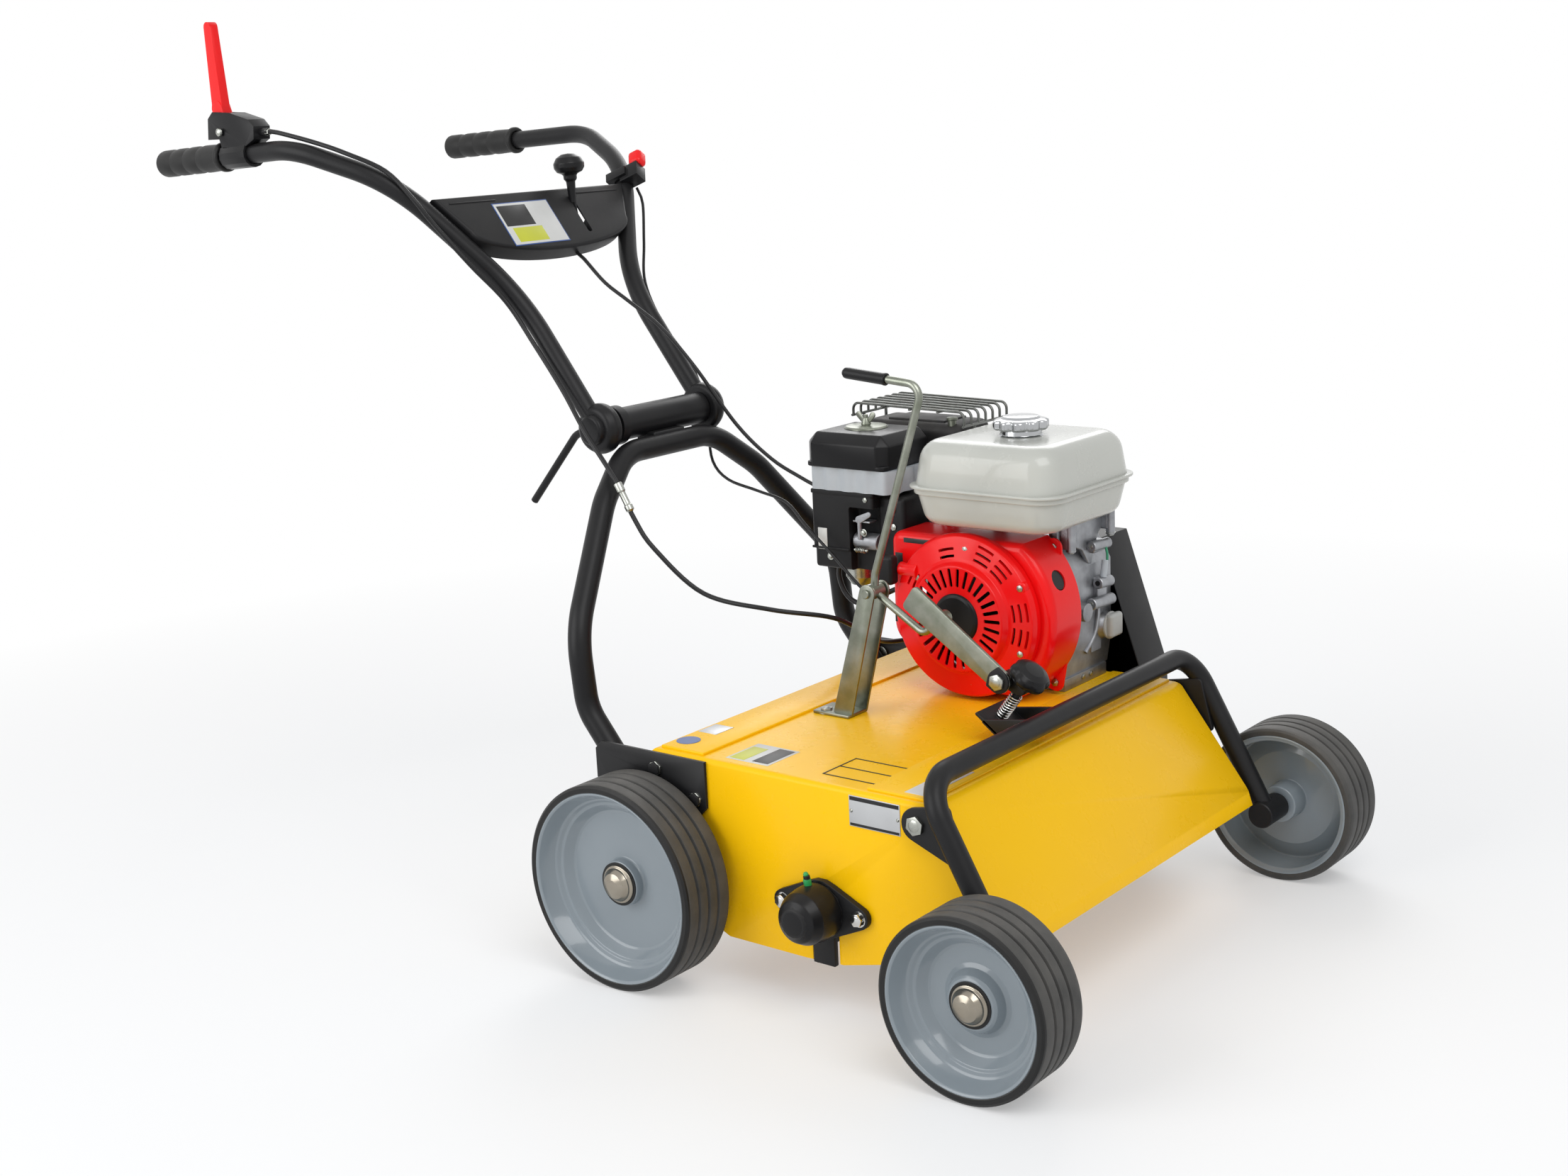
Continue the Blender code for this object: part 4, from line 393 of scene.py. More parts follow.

# %% [markdown]
# ## Ways of making
# The machine's pieces come in a few families: turned ones (wheels, caps, knobs), bent tubes,
# flat plates and moulded blocks. Each family has one helper that works as by hand: it adds a
# primitive, goes into edit mode, extrudes or spins it, and merges the doubles. Everything is
# modelled in the deck's own frame, whose origin is the middle of the rear axle, and the last
# step lays the mesh where the machine stands, with its nose a little down. A piece rides on
# one body; the cables are laid in the world and ride on none.

# %% The deck's frame and the last step
REAR_AXLE = (0.102156, 0, 0.125071)
NOSE_DOWN = 0.0285525
DECK = Matrix.Translation(REAR_AXLE) @ Matrix.Rotation(NOSE_DOWN, 4, "Y")
STEPS = 96
DOUBLES = 0.000005
SIDES = ((-1, "right"), (1, "left"))


def pick(*obs):
    """Leaves edit mode and selects only these objects."""
    if bpy.context.mode != "OBJECT":
        bpy.ops.object.mode_set(mode="OBJECT")
    bpy.ops.object.select_all(action="DESELECT")
    for ob in obs:
        ob.select_set(True)
        bpy.context.view_layer.objects.active = ob


def edit(ob):
    pick(ob)
    bpy.ops.object.mode_set(mode="EDIT")
    bpy.ops.mesh.select_all(action="SELECT")


def closed(ob):
    """Merges doubles, turns every face outwards and leaves edit mode."""
    edit(ob)
    bpy.ops.mesh.remove_doubles(threshold=DOUBLES)
    bpy.ops.mesh.normals_make_consistent(inside=False)
    bpy.ops.object.mode_set(mode="OBJECT")
    return ob


def with_modifier(ob, kind, **settings):
    """Adds a modifier with these settings and applies it."""
    pick(ob)
    step = ob.modifiers.new(kind.lower(), kind)
    for name, value in settings.items():
        setattr(step, name, value)
    bpy.ops.object.modifier_apply(modifier=step.name)
    return ob


def eased(ob, width, segments=3, angle=35):
    """Rounds the edges that are sharper than an angle in degrees."""
    return with_modifier(ob, "BEVEL", width=width, segments=segments, limit_method="ANGLE",
                         angle_limit=math.radians(angle), harden_normals=False, use_clamp_overlap=True)


def sheet(ob, thickness):
    """Gives an open surface the thickness of its sheet, inwards."""
    return with_modifier(ob, "SOLIDIFY", thickness=thickness, offset=-1.0, use_even_offset=True)


def cut_with(ob, *cutters):
    """Cuts each cutter out of a piece and deletes the cutter."""
    for cutter in cutters:
        with_modifier(ob, "BOOLEAN", operation="DIFFERENCE", solver="EXACT", object=cutter)
        pick(cutter)
        bpy.ops.object.delete()
    return ob


def done(ob, name, coat, body, *nodes, angle=32):
    """Lays a finished mesh in the world, gives it its coat and ties it to its body.

    body is a name, or a tuple (first body, second body, start, end) whose contents are not used: such a
    piece is tied to no body and does not bend.
    """
    pick(ob)
    ob.matrix_world = DECK @ ob.matrix_world
    bpy.ops.object.transform_apply(location=True, rotation=True, scale=True)
    ob.name = name
    ob.data.name = name
    ob.data.materials.clear()
    ob.data.materials.append(coat)
    bpy.ops.object.shade_smooth_by_angle(angle=math.radians(angle))
    if isinstance(body, str):
        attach(ob, body)
    else:
        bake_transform(ob)
    if nodes:
        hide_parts(*nodes)
    return ob


# %% Edit mode by place or normal
def select(ob, kind, wanted):
    """In edit mode, selects the faces ("FACE") or edges ("EDGE") for which wanted(it) holds."""
    edit(ob)
    bpy.ops.mesh.select_all(action="DESELECT")
    bpy.ops.mesh.select_mode(type=kind)
    bm = bmesh.from_edit_mesh(ob.data)
    for element in bm.faces if kind == "FACE" else bm.edges:
        element.select = wanted(element)
    bmesh.update_edit_mesh(ob.data)


def end_edit():
    bpy.ops.mesh.select_mode(type="VERT")
    bpy.ops.object.mode_set(mode="OBJECT")


def opened(ob, wanted):
    """Deletes the faces for which wanted(face) holds."""
    select(ob, "FACE", wanted)
    bpy.ops.mesh.delete(type="FACE")
    end_edit()


def bevelled(ob, wanted, width, segments):
    """Rounds the edges for which wanted(edge) holds."""
    select(ob, "EDGE", wanted)
    bpy.ops.mesh.bevel(offset=width, segments=segments, affect="EDGES", profile=0.5)
    end_edit()


# %% Chains and turned pieces
def chain(points):
    """One vertex extruded through the points; the object is left in edit mode."""
    pick()
    bpy.ops.mesh.primitive_plane_add(size=0.01, location=(0, 0, 0))
    ob = bpy.context.object
    bpy.ops.object.mode_set(mode="EDIT")
    bpy.ops.mesh.merge(type="CENTER")
    points = [Vector(p) for p in points]
    bpy.ops.transform.translate(value=points[0])
    for before, after in zip(points, points[1:]):
        bpy.ops.mesh.extrude_vertices_move(TRANSFORM_OT_translate={"value": after - before})
    bpy.ops.mesh.select_all(action="SELECT")
    return ob


def softened(points, radius, count=4):
    """A profile with each inner corner rounded by a short arc of the given radius."""
    points = [Vector((*p, 0.0)) for p in points]
    path = [points[0]]
    for before, corner, after in zip(points, points[1:], points[2:]):
        back, ahead = before - corner, after - corner
        turn = math.pi - back.angle(ahead, math.pi)
        if turn < 0.2:
            path.append(corner)
            continue
        reach = min(radius * math.tan(turn / 2), 0.45 * back.length, 0.45 * ahead.length)
        start, end = corner + back.normalized() * reach, corner + ahead.normalized() * reach
        for i in range(count + 1):
            t = i / count
            path.append(start * (1 - t) ** 2 + corner * 2 * t * (1 - t) + end * t * t)
    path.append(points[-1])
    return [(p.x, p.y) for p in path]


def turned(profile, centre, axis=(0, 1, 0), steps=STEPS, soft=0.0, arcs=4):
    """Spins (radius, height) points about an axis through centre; soft rounds their corners."""
    if soft:
        profile = softened(profile, soft, arcs)
    ob = chain([(r, 0.0, h) for r, h in profile])
    bpy.ops.mesh.spin(steps=steps, angle=math.tau, center=(0, 0, 0), axis=(0, 0, 1))
    closed(ob)
    ob.matrix_world = (Matrix.Translation(centre)
                       @ Vector(axis).to_track_quat("Z", "X").to_matrix().to_4x4())
    return ob


def rod(start, end, radius, ease=0.0008, end_radius=None, steps=40):
    """A round bar with eased ends."""
    start, end = Vector(start), Vector(end)
    length = (end - start).length
    far = radius if end_radius is None else end_radius
    profile = [(0, 0), (radius - ease, 0), (radius, ease),
               (far, length - ease), (far - ease, length), (0, length)]
    return turned(profile, start, end - start, steps)


# %% Bent tubes
def bent(points, radii, pieces=10):
    """A path of straight runs joined by arcs of the given radii."""
    corners = [Vector(p) for p in points]
    path = [corners[0]]
    for before, corner, after, radius in zip(corners, corners[1:], corners[2:], radii):
        back = (before - corner).normalized()
        ahead = (after - corner).normalized()
        half = back.angle(ahead) / 2
        start = corner + back * radius / math.tan(half)
        middle = corner + (back + ahead).normalized() * radius / math.sin(half)
        sweep = -(math.pi - 2 * half)
        for i in range(pieces + 1):
            path.append(middle + Quaternion(back.cross(ahead), sweep * i / pieces) @ (start - middle))
    path.append(corners[-1])
    return path


def flowing(points, spacing):
    """Points along a smooth curve through a cable's own route."""
    knots = [Vector(p) for p in points]
    knots = [2 * knots[0] - knots[1], *knots, 2 * knots[-1] - knots[-2]]
    path = []
    for a, b, c, d in zip(knots, knots[1:], knots[2:], knots[3:]):
        steps = max(1, round((c - b).length / spacing))
        for i in range(steps):
            t = i / steps
            path.append(0.5 * (2 * b + (c - a) * t + (2 * a - 5 * b + 4 * c - d) * t ** 2
                               + (3 * b - a - 3 * c + d) * t ** 3))
    path.append(knots[-2])
    return path


def pipe(path, radius, resolution=5):
    """A chain of points made a curve, given a round section and made a mesh again."""
    ob = chain(path)
    bpy.ops.object.mode_set(mode="OBJECT")
    bpy.ops.object.convert(target="CURVE")
    ob = bpy.context.object
    ob.data.bevel_depth = radius
    ob.data.bevel_resolution = resolution
    ob.data.use_fill_caps = True
    bpy.ops.object.convert(target="MESH")
    return closed(bpy.context.object)


# %% Plates and blocks
def circle(x, z, radius, count=32):
    turns = [math.tau * i / count for i in range(count)]
    return [(x + radius * math.cos(a), z + radius * math.sin(a)) for a in turns]


def on_circle(middle, radius, angle):
    """A point on a circle, at an angle in degrees."""
    a = math.radians(angle)
    return (middle[0] + radius * math.cos(a), middle[1] + radius * math.sin(a))


def arc(radius, start, end, count, middle):
    """Points of an arc round a middle; angles in degrees."""
    return [on_circle(middle, radius, start + (end - start) * i / count) for i in range(count + 1)]


def round_rectangle(x0, y0, x1, y1, radius, spacing=0.0012):
    """Evenly spaced points round a rectangle with round corners."""
    corners = [((x1 - radius, y0 + radius), -90), ((x1 - radius, y1 - radius), 0),
               ((x0 + radius, y1 - radius), 90), ((x0 + radius, y0 + radius), 180)]
    path = []
    for middle, start in corners:
        path += arc(radius, start, start + 90, 8, middle)
    points = []
    for (ax, ay), (bx, by) in zip(path, path[1:] + path[:1]):
        steps = max(1, round(math.hypot(bx - ax, by - ay) / spacing))
        points += [(ax + (bx - ax) * i / steps, ay + (by - ay) * i / steps) for i in range(steps)]
    return points


def hull(*discs, count=32):
    """Outline of a belt drawn tightly round discs given as (x, z, radius)."""
    points = sorted({(round(x, 6), round(z, 6))
                     for disc in discs for x, z in circle(*disc, count)})

    def half(run):
        edge = []
        for p in run:
            while len(edge) > 1 and ((edge[-1][0] - edge[-2][0]) * (p[1] - edge[-2][1])
                                     <= (edge[-1][1] - edge[-2][1]) * (p[0] - edge[-2][0])):
                edge.pop()
            edge.append(p)
        return edge[:-1]

    return half(points) + half(points[::-1])


def filled(outline, travel, ease):
    """A closed outline, filled and extruded along travel, with its rims eased."""
    ob = chain(outline)
    bpy.ops.mesh.edge_face_add()
    bpy.ops.mesh.extrude_region_move(TRANSFORM_OT_translate={"value": travel})
    closed(ob)
    return eased(ob, ease) if ease else ob


def plate(outline, thickness, middle_y, ease=0.0):
    """An outline of (x, z) that is thick along Y."""
    start = middle_y - thickness / 2
    return filled([(x, start, z) for x, z in outline], (0, thickness, 0), ease)


def upright(outline, low, high, ease=0.0):
    """An outline of (y, z) from low to high along X."""
    return filled([(low, y, z) for y, z in outline], (high - low, 0, 0), ease)


def slab(outline, low, high, ease=0.0):
    """An outline of (x, y) from low to high along Z."""
    return filled([(x, y, low) for x, y in outline], (0, 0, high - low), ease)


def block(low, high, ease, segments=3):
    """A cube primitive at its size and place, with all its edges rounded."""
    pick()
    low, high = Vector(low), Vector(high)
    bpy.ops.mesh.primitive_cube_add(size=1, location=(low + high) / 2, scale=high - low)
    ob = bpy.context.object
    bpy.ops.object.transform_apply(location=False, rotation=False, scale=True)
    edit(ob)
    bpy.ops.mesh.bevel(offset=ease, segments=segments, affect="EDGES", profile=0.5)
    bpy.ops.object.mode_set(mode="OBJECT")
    return ob


def joined(first, *others):
    """Several closed shells of one piece, such as a head and its washer, in one object."""
    pick(*others, first)
    bpy.ops.object.join()
    return bpy.context.object


def dressed(node, ease=0.001, segments=2, angle=30):
    """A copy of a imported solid, merged to clean faces and with its edges eased."""
    pick(frame["nodes"][node])
    bpy.ops.object.duplicate()
    ob = bpy.context.object
    bpy.ops.object.parent_clear(type="CLEAR_KEEP_TRANSFORM")
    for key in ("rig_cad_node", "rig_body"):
        if key in ob:
            del ob[key]
    edit(ob)
    bpy.ops.mesh.remove_doubles(threshold=0.00001)
    bpy.ops.mesh.dissolve_limited(angle_limit=math.radians(1.5))
    bpy.ops.object.mode_set(mode="OBJECT")
    ob.matrix_world = DECK.inverted()
    return eased(ob, ease, segments, angle)


# %% [markdown]
# ## Bolts
# The machine is held together by hexagon bolts. One bolt head is modelled: a six sided
# cylinder with its top corners turned off, on a washer flange. It is then copied to every
# place, each copy with its own mesh.

# %% One hexagon head, many copies
def hex_head(across=0.017, tall=0.006, washer=0.012):
    pick()
    bpy.ops.mesh.primitive_cylinder_add(vertices=6, radius=across / 2, depth=tall,
                                        location=(0, 0, 0.0012 + tall / 2))
    head = eased(bpy.context.object, across * 0.035, 2)
    flange = turned([(0, 0), (washer, 0), (washer, 0.0012), (across * 0.4, 0.0016), (0, 0.0016)],
                    (0, 0, 0), (0, 0, 1), 32, 0.0004, 2)
    top = turned([(0, tall + 0.0012), (across * 0.3, tall + 0.0012),
                  (across * 0.26, tall + 0.0016), (0, tall + 0.0018)], (0, 0, 0), (0, 0, 1), 24)
    return joined(head, flange, top)


def copied(master, point, outward, turn=0.0, size=1.0):
    """A copy of a small master piece, with its foot at point and its top facing outward."""
    pick(master)
    bpy.ops.object.duplicate()
    ob = bpy.context.object
    facing = Vector(outward).to_track_quat("Z", "X").to_matrix().to_4x4()
    ob.matrix_world = (Matrix.Translation(point) @ facing @ Matrix.Rotation(turn, 4, "Z")
                       @ Matrix.Scale(size, 4))
    return ob


BOLT_MASTER = hex_head()
FIRST_TURN, NEXT_TURN = 0.35, 0.9


def bolts(name, places, outward, size=1.0, coat=BOLT, body="machine"):
    """A row of bolt heads, each turned a little further than the last, joined to one piece."""
    heads = [copied(BOLT_MASTER, place, outward, FIRST_TURN + NEXT_TURN * i, size)
             for i, place in enumerate(places)]
    return done(joined(*heads), name, coat, body)


print("bolt master faces:", len(BOLT_MASTER.data.polygons))

# %% [markdown]
# ## Wheels
# Each wheel is a grey moulded rim with a solid rubber tyre pressed over it, a smooth dark
# sidewall band, and a domed bronze cap with a rubber ring on the axle's end. All of them are
# bodies of revolution, so a half section is drawn as (radius, height) points and spun. The
# height runs along the axle, outwards. The tyre is flat at the sides, round at the shoulders,
# and has three narrow grooves between four ribs.

# %% Wheel sections
TYRE_W = 0.075
HALF = TYRE_W / 2
GROOVE = 0.0035
RIB_W = 0.0165


def tyre_section(ground_r):
    lip = ground_r - 0.0088
    outer = [(lip, HALF - 0.0005), (ground_r - 0.0035, HALF - 0.0002),
             (ground_r - 0.0008, HALF - 0.0022), (ground_r, HALF - 0.006)]
    tread = []
    for i in (1, 0, -1):
        middle = i * RIB_W
        tread += [(ground_r, middle + 0.0022), (ground_r - GROOVE, middle + 0.0012),
                  (ground_r - GROOVE, middle - 0.0012), (ground_r, middle - 0.0022)]
    inner = [(r, -h) for r, h in outer[::-1]]
    seat = [(lip - 0.0045, 0.006 - HALF), (lip - 0.0045, HALF - 0.006)]
    return softened(outer + tread + inner + seat + [outer[0]], 0.0009, 2)


def rim_section(ground_r, sleeve):
    lip = ground_r - 0.0091
    well = lip - 0.03
    hub = 0.0275
    outer = [(lip - 0.0022, HALF - 0.0004), (lip - 0.004, HALF - 0.0022), (lip - 0.0075, HALF - 0.012),
             (lip - 0.0125, HALF - 0.0205), (lip - 0.015, HALF - 0.0215), (lip - 0.018, HALF - 0.025),
             (lip - 0.0215, HALF - 0.0255), (lip - 0.024, HALF - 0.029), (well, HALF - 0.035),
             (well - 0.003, HALF - 0.0362), (0.04, HALF - 0.0362)]
    if sleeve:
        middle = [(0.035, HALF - 0.0352), (hub + 0.0015, HALF - 0.0345), (hub, HALF - 0.0325)]
    else:
        middle = [(0.035, HALF - 0.034), (hub + 0.003, HALF - 0.025)]
    face = [(hub, HALF - 0.0225), (hub - 0.002, HALF - 0.0218), (0.0105, HALF - 0.0218)]
    inside = [(0.0105, 0.005 - HALF), (0.0235, 0.005 - HALF), (0.024, HALF - 0.04),
              (well, HALF - 0.0395), (lip - 0.009, HALF - 0.03), (lip - 0.0075, 0.003 - HALF),
              (lip - 0.002, 0.0004 - HALF), (lip, 0.0012 - HALF)]
    seat = [(lip, HALF - 0.0012), (lip - 0.001, HALF), (lip - 0.0022, HALF - 0.0004)]
    return softened(outer + middle + face + inside + seat, 0.0022, 4)


def sidewall_section(ground_r):
    """The smooth dark band between the rim's lip and the tread."""
    lip = ground_r - 0.0088
    return [(lip, HALF - 0.0016), (lip + 0.0004, HALF - 0.0001), (ground_r - 0.0034, HALF),
            (ground_r - 0.0006, HALF - 0.0021), (ground_r - 0.0002, HALF - 0.0044),
            (ground_r - 0.0012, HALF - 0.0048), (ground_r - 0.0042, HALF - 0.0016),
            (lip, HALF - 0.0016)]


CAP_FOOT = HALF - 0.0216


def cap_section(r):
    """The domed cap with its brim, for a brim of radius r."""
    return softened([(0.0, CAP_FOOT + 0.0135), (0.35 * r, CAP_FOOT + 0.013),
                     (0.65 * r, CAP_FOOT + 0.0105), (0.82 * r, CAP_FOOT + 0.0056),
                     (0.85 * r, CAP_FOOT + 0.0034), (0.98 * r, CAP_FOOT + 0.0028),
                     (r, CAP_FOOT), (0.0, CAP_FOOT)], 0.0018, 3)


def ring_section(r):
    """The rubber ring round the cap's brim."""
    return softened([(r - 0.001, CAP_FOOT - 0.0006), (r + 0.0026, CAP_FOOT - 0.0006),
                     (r + 0.0028, CAP_FOOT + 0.001), (r - 0.001, CAP_FOOT + 0.0012),
                     (r - 0.001, CAP_FOOT - 0.0006)], 0.0004, 2)


# %% [markdown]
# The rear pair is larger than the front pair and has a longer hub sleeve. A wheel is spun
# once for each side, so that the cap faces outwards, and each piece rides on its own wheel.

# %% Four wheels
REAR_TRACK, REAR_R, FRONT_TRACK, FRONT_R = 0.362, 0.12507, 0.397, 0.09996
FRONT_WHEEL = (0.512, -0.0105)
for place, (x, z), track, ground_r, brim in (("rear", (0.0, 0.0), REAR_TRACK, REAR_R, 0.0235),
                                             ("front", FRONT_WHEEL, FRONT_TRACK, FRONT_R, 0.0225)):
    for side, hand in SIDES:
        centre, out = (x, side * (track - HALF), z), (0, side, 0)
        wheel = place + "_" + hand
        for suffix, section, steps, coat, node in (
                ("_tyre_ribbed", tyre_section(ground_r), 120, TYRE, "_tyre"),
                ("_sidewall", sidewall_section(ground_r), 120, GRIP, None),
                ("_rim_dished", rim_section(ground_r, place == "rear"), 120, WHEEL_GREY, "_rim"),
                ("_cap_domed", cap_section(brim), 64, BRONZE, "_hub_cap"),
                ("_cap_ring", ring_section(brim), 64, GRIP, None)):
            nodes = [wheel + node] if node else []
            done(turned(section, centre, out, steps), wheel + suffix, coat, wheel + "_wheel", *nodes)
print("tyres, mm across:", round(2000 * REAR_R, 1), round(2000 * FRONT_R, 1))

# %% [markdown]
# ## Deck
# The deck is one folded steel sheet: the top, the sloping front with its lip, the rear panel
# and the two sides. The outline of a side is extruded across the whole width, the faces that
# are open below are deleted, the folds get a bend radius, and Solidify gives the sheet its
# thickness. A slot in each side, open at the bottom, lets the rotor's shaft in.

# %% Folded sheet
SIDE_Y = 0.275
TOP_Z = 0.149
SHEET = 0.003
LIP_Z, TOP_BEND, LOW_BEND = 0.0185, 0.007, 0.0035
deck_side = [(0.003, TOP_Z), (0.401, TOP_Z), (0.499, LIP_Z), (0.504, 0.0035), (0.325, -0.049),
             (0.276, -0.061), (0.224, -0.064), (0.11, -0.064), (0.045, -0.035), (0.003, 0.025)]


def is_fold(edge):
    return len(edge.link_faces) == 2 and edge.calc_face_angle() > 0.5


deck = plate(deck_side, 2 * SIDE_Y, 0.0)
opened(deck, lambda f: f.calc_center_median().z < LIP_Z and f.normal.z < -0.3)
bevelled(deck, lambda e: is_fold(e) and min(v.co.z for v in e.verts) > TOP_Z - 0.0001,
         TOP_BEND, 8)
bevelled(deck, lambda e: is_fold(e) and max(v.co.z for v in e.verts) <= TOP_Z - TOP_BEND + 0.0001,
         LOW_BEND, 5)
sheet(deck, SHEET)
for side, hand in SIDES:
    slot = block((0.233, side * SIDE_Y - 0.01, -0.08), (0.271, side * SIDE_Y + 0.01, 0.022), 0.004)
    cut_with(deck, slot)
eased(deck, 0.0006, 2, 50)
done(deck, "deck_folded", YELLOW, "machine", "deck_housing")
print("deck faces:", len(deck.data.polygons))

# %% [markdown]
# Two raised strips cross the top, one at the back and one at the front edge. Each is a flat
# block with soft edges that is sunk a little into the sheet. Plain fields, with nothing
# printed on them, stand where such a machine has its data plate and its labels: pale, silver,
# blue, lime and dark ones, and five thin lines that frame a bare field.

# %% Strips and plain plates
STRIP_T = 0.003
strips = [block((x0, 0.008 - SIDE_Y, TOP_Z - 0.0008), (x1, SIDE_Y - 0.008, TOP_Z + STRIP_T), 0.0014)
          for x0, x1 in ((0.012, 0.077), (0.311, 0.392))]
done(joined(*strips), "deck_strips", YELLOW, "machine")

PLATE_SILVER = finish_for("plate_silver", (0.52, 0.53, 0.54), (0.46, 0.47, 0.48), 0.34,
                          metallic=0.7, patch_scale=30.0, dust=0.05, lines=0.05)
PLATE_BLACK = finish_for("plate_black", (0.012, 0.012, 0.013), (0.02, 0.02, 0.02),
                         0.35, dust=0.05, grain=0.05)
LABEL_PALE = finish_for("label_pale", (0.66, 0.66, 0.64), (0.6, 0.6, 0.58), 0.36,
                        patch_scale=40.0, dust=0.06, grain=0.03)
data_plate = block((0.2925, -SIDE_Y - 0.0008, 0.1075), (0.3605, -SIDE_Y + 0.0005, 0.143), 0.0003)
done(data_plate, "data_plate", PLATE_SILVER, "machine")
bars = [block((0.2937, -SIDE_Y - 0.0011, z0), (0.3593, -SIDE_Y - 0.0004, z1), 0.0002)
        for z0, z1 in ((0.1375, 0.142), (0.1085, 0.1115))]
done(joined(*bars), "data_plate_bars", PLATE_BLACK, "machine")
rivets = [turned([(0, 0.0014), (0.0012, 0.0012), (0.002, 0.0004), (0.0021, 0.0), (0, 0)],
                 (x, -SIDE_Y - 0.0007, 0.1252), (0, -1, 0), 24) for x in (0.2955, 0.3575)]
done(joined(*rivets), "data_plate_rivets", BOLT, "machine")
LABEL_BLUE = finish_for("label_blue", (0.045, 0.1, 0.3), (0.035, 0.08, 0.25), 0.34,
                        patch_scale=40.0, dust=0.05, grain=0.03)
LABEL_LIME = finish_for("label_lime", (0.58, 0.6, 0.05), (0.52, 0.54, 0.05), 0.34,
                        patch_scale=40.0, dust=0.05, grain=0.03)
for name, low, high, finish in (("plain_label_top", (0.104, -0.259), (0.166, -0.199), LABEL_PALE),
                                ("plain_label_rear", (0.016, -0.205), (0.044, -0.172), PLATE_SILVER),
                                ("plain_label_front", (0.3555, -0.259), (0.3835, -0.165), LABEL_PALE)):
    level = TOP_Z if name == "plain_label_top" else TOP_Z + STRIP_T
    done(block((*low, level - 0.0004), (*high, level + 0.0005), 0.0003), name, finish, "machine")
fields = [block((0.1395, -0.2545, TOP_Z + 0.0002), (0.1625, -0.203, TOP_Z + 0.0007), 0.0002)]
FRAME_LINES = ((0.236, -0.248, 0.316, -0.2468), (0.236, -0.1862, 0.316, -0.185),
               (0.236, -0.248, 0.2372, -0.185), (0.3148, -0.248, 0.316, -0.185),
               (0.236, -0.217, 0.316, -0.2158))
for x0, y0, x1, y1 in FRAME_LINES:
    fields.append(block((x0, y0, TOP_Z - 0.0002), (x1, y1, TOP_Z + 0.0008), 0.0001, 1))
done(joined(*fields), "plain_label_lines", LABEL_DARK, "machine")
lime = block((0.107, -0.256, TOP_Z + 0.0002), (0.129, -0.211, TOP_Z + 0.0007), 0.0002)
done(lime, "plain_label_lime", LABEL_LIME, "machine")
disc = turned([(0.0, 0.0005), (0.0143, 0.0005), (0.0146, -0.0004), (0.0, -0.0004)],
              (0.0295, -0.238, TOP_Z + STRIP_T), (0, 0, 1), 48)
done(disc, "plain_disc_rear", LABEL_BLUE, "machine")

# %% [markdown]
# ## Rear brackets, axle and lower arch
# A pressed black bracket on each side carries the rear axle and one leg of the arch. The
# bracket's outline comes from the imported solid, which is right, so a copy of it is merged and
# its edges are eased. The arch is one bent tube: straight runs joined by arcs.

# %% Brackets, axle and arch
for side, hand in SIDES:
    done(dressed("rear_bracket_" + hand, 0.001, 3), "rear_bracket_pressed_" + hand, PRESSED_BLACK,
         "machine", "rear_bracket_" + hand)
    outer = side * (SIDE_Y + 0.0041)
    bolts("bracket_bolts_" + hand, [(0.013, outer, 0.127), (0.073, outer, 0.099)], (0, side, 0), 1.08)
    bolts("arch_bolt_" + hand, [(-0.06, side * 0.2745, 0.124)], (0, side, 0), 0.9)
reach = REAR_TRACK - 0.0225
axle = rod((0, -reach, 0), (0, reach, 0), 0.0098)
collars = [rod((0, side * 0.2798, 0), (0, side * 0.29, 0), 0.0158) for side, hand in SIDES]
done(joined(axle, *collars), "rear_axle_turned", BRIGHT, "machine", "rear_axle")

leg = [(-0.06, 0.2595, 0.112), (-0.112, 0.2595, 0.176), (-0.121, 0.2595, 0.268),
       (-0.168, 0.15, 0.405), (-0.189, 0.085, 0.456)]
leg_bends = [0.06, 0.1, 0.12, 0.075]
arch_path = bent(leg + [(x, -y, z) for x, y, z in leg[::-1]], leg_bends + leg_bends[::-1], 12)
done(pipe(arch_path, 0.0145, 8), "arch_bent", BLACK, "machine", "lower_arch")
bar = rod((-0.214, -0.0902, 0.488), (-0.214, 0.0902, 0.488), 0.021, 0.0015, steps=64)
saddle = block((-0.218, -0.03, 0.4585), (-0.186, 0.03, 0.474), 0.003)
done(joined(bar, saddle), "cross_tube_round", BLACK, "machine", "cross_tube")
print("arch points:", len(arch_path))

# %% [markdown]
# ## Rotor, bearings and belt side
# The bladed rotor runs under the deck in a cast bearing housing on each side. On the belt side
# a sheet guard covers both pulleys. These solids already have their true outlines, so copies
# of them are merged and eased, and the fasteners and the domed bearing cap are added.

# %% Rotor, bearings, guard
done(dressed("rotor", 0.0004, 1, 40), "rotor_bladed", PRESSED_BLACK, "rotor", "rotor")
done(dressed("belt_guard", 0.0045, 4, 50), "belt_guard_pressed", PRESSED_BLACK, "machine", "belt_guard")
done(dressed("drive_belt", 0.0008, 2), "drive_belt_vee", GRIP, "machine", "drive_belt")
done(dressed("tension_arm", 0.0006, 2), "tension_arm_plated", ZINC, "tension_arm", "tension_arm")
done(dressed("crankshaft", 0.0006, 2), "crankshaft_fan", CASE_BLACK, "crankshaft", "crankshaft")
for side, hand in SIDES:
    done(dressed("bearing_housing_" + hand, 0.001, 3), "bearing_cast_" + hand, PRESSED_BLACK,
         "machine", "bearing_housing_" + hand)
    face = side * (SIDE_Y + 0.011)
    nuts = [(x, face, 0.003) for x in (0.199, 0.3048)]
    bolts("bearing_nuts_" + hand, nuts, (0, side, 0), 0.95, BRIGHT)
outer = -SIDE_Y - 0.0083
cap = turned([(0.0, 0.0515), (0.014, 0.0502), (0.0245, 0.044), (0.0305, 0.033),
              (0.0328, 0.018), (0.0332, 0.0), (0.0, 0.0)], (0.252, outer, 0.003), (0, -1, 0),
             soft=0.006, arcs=5)
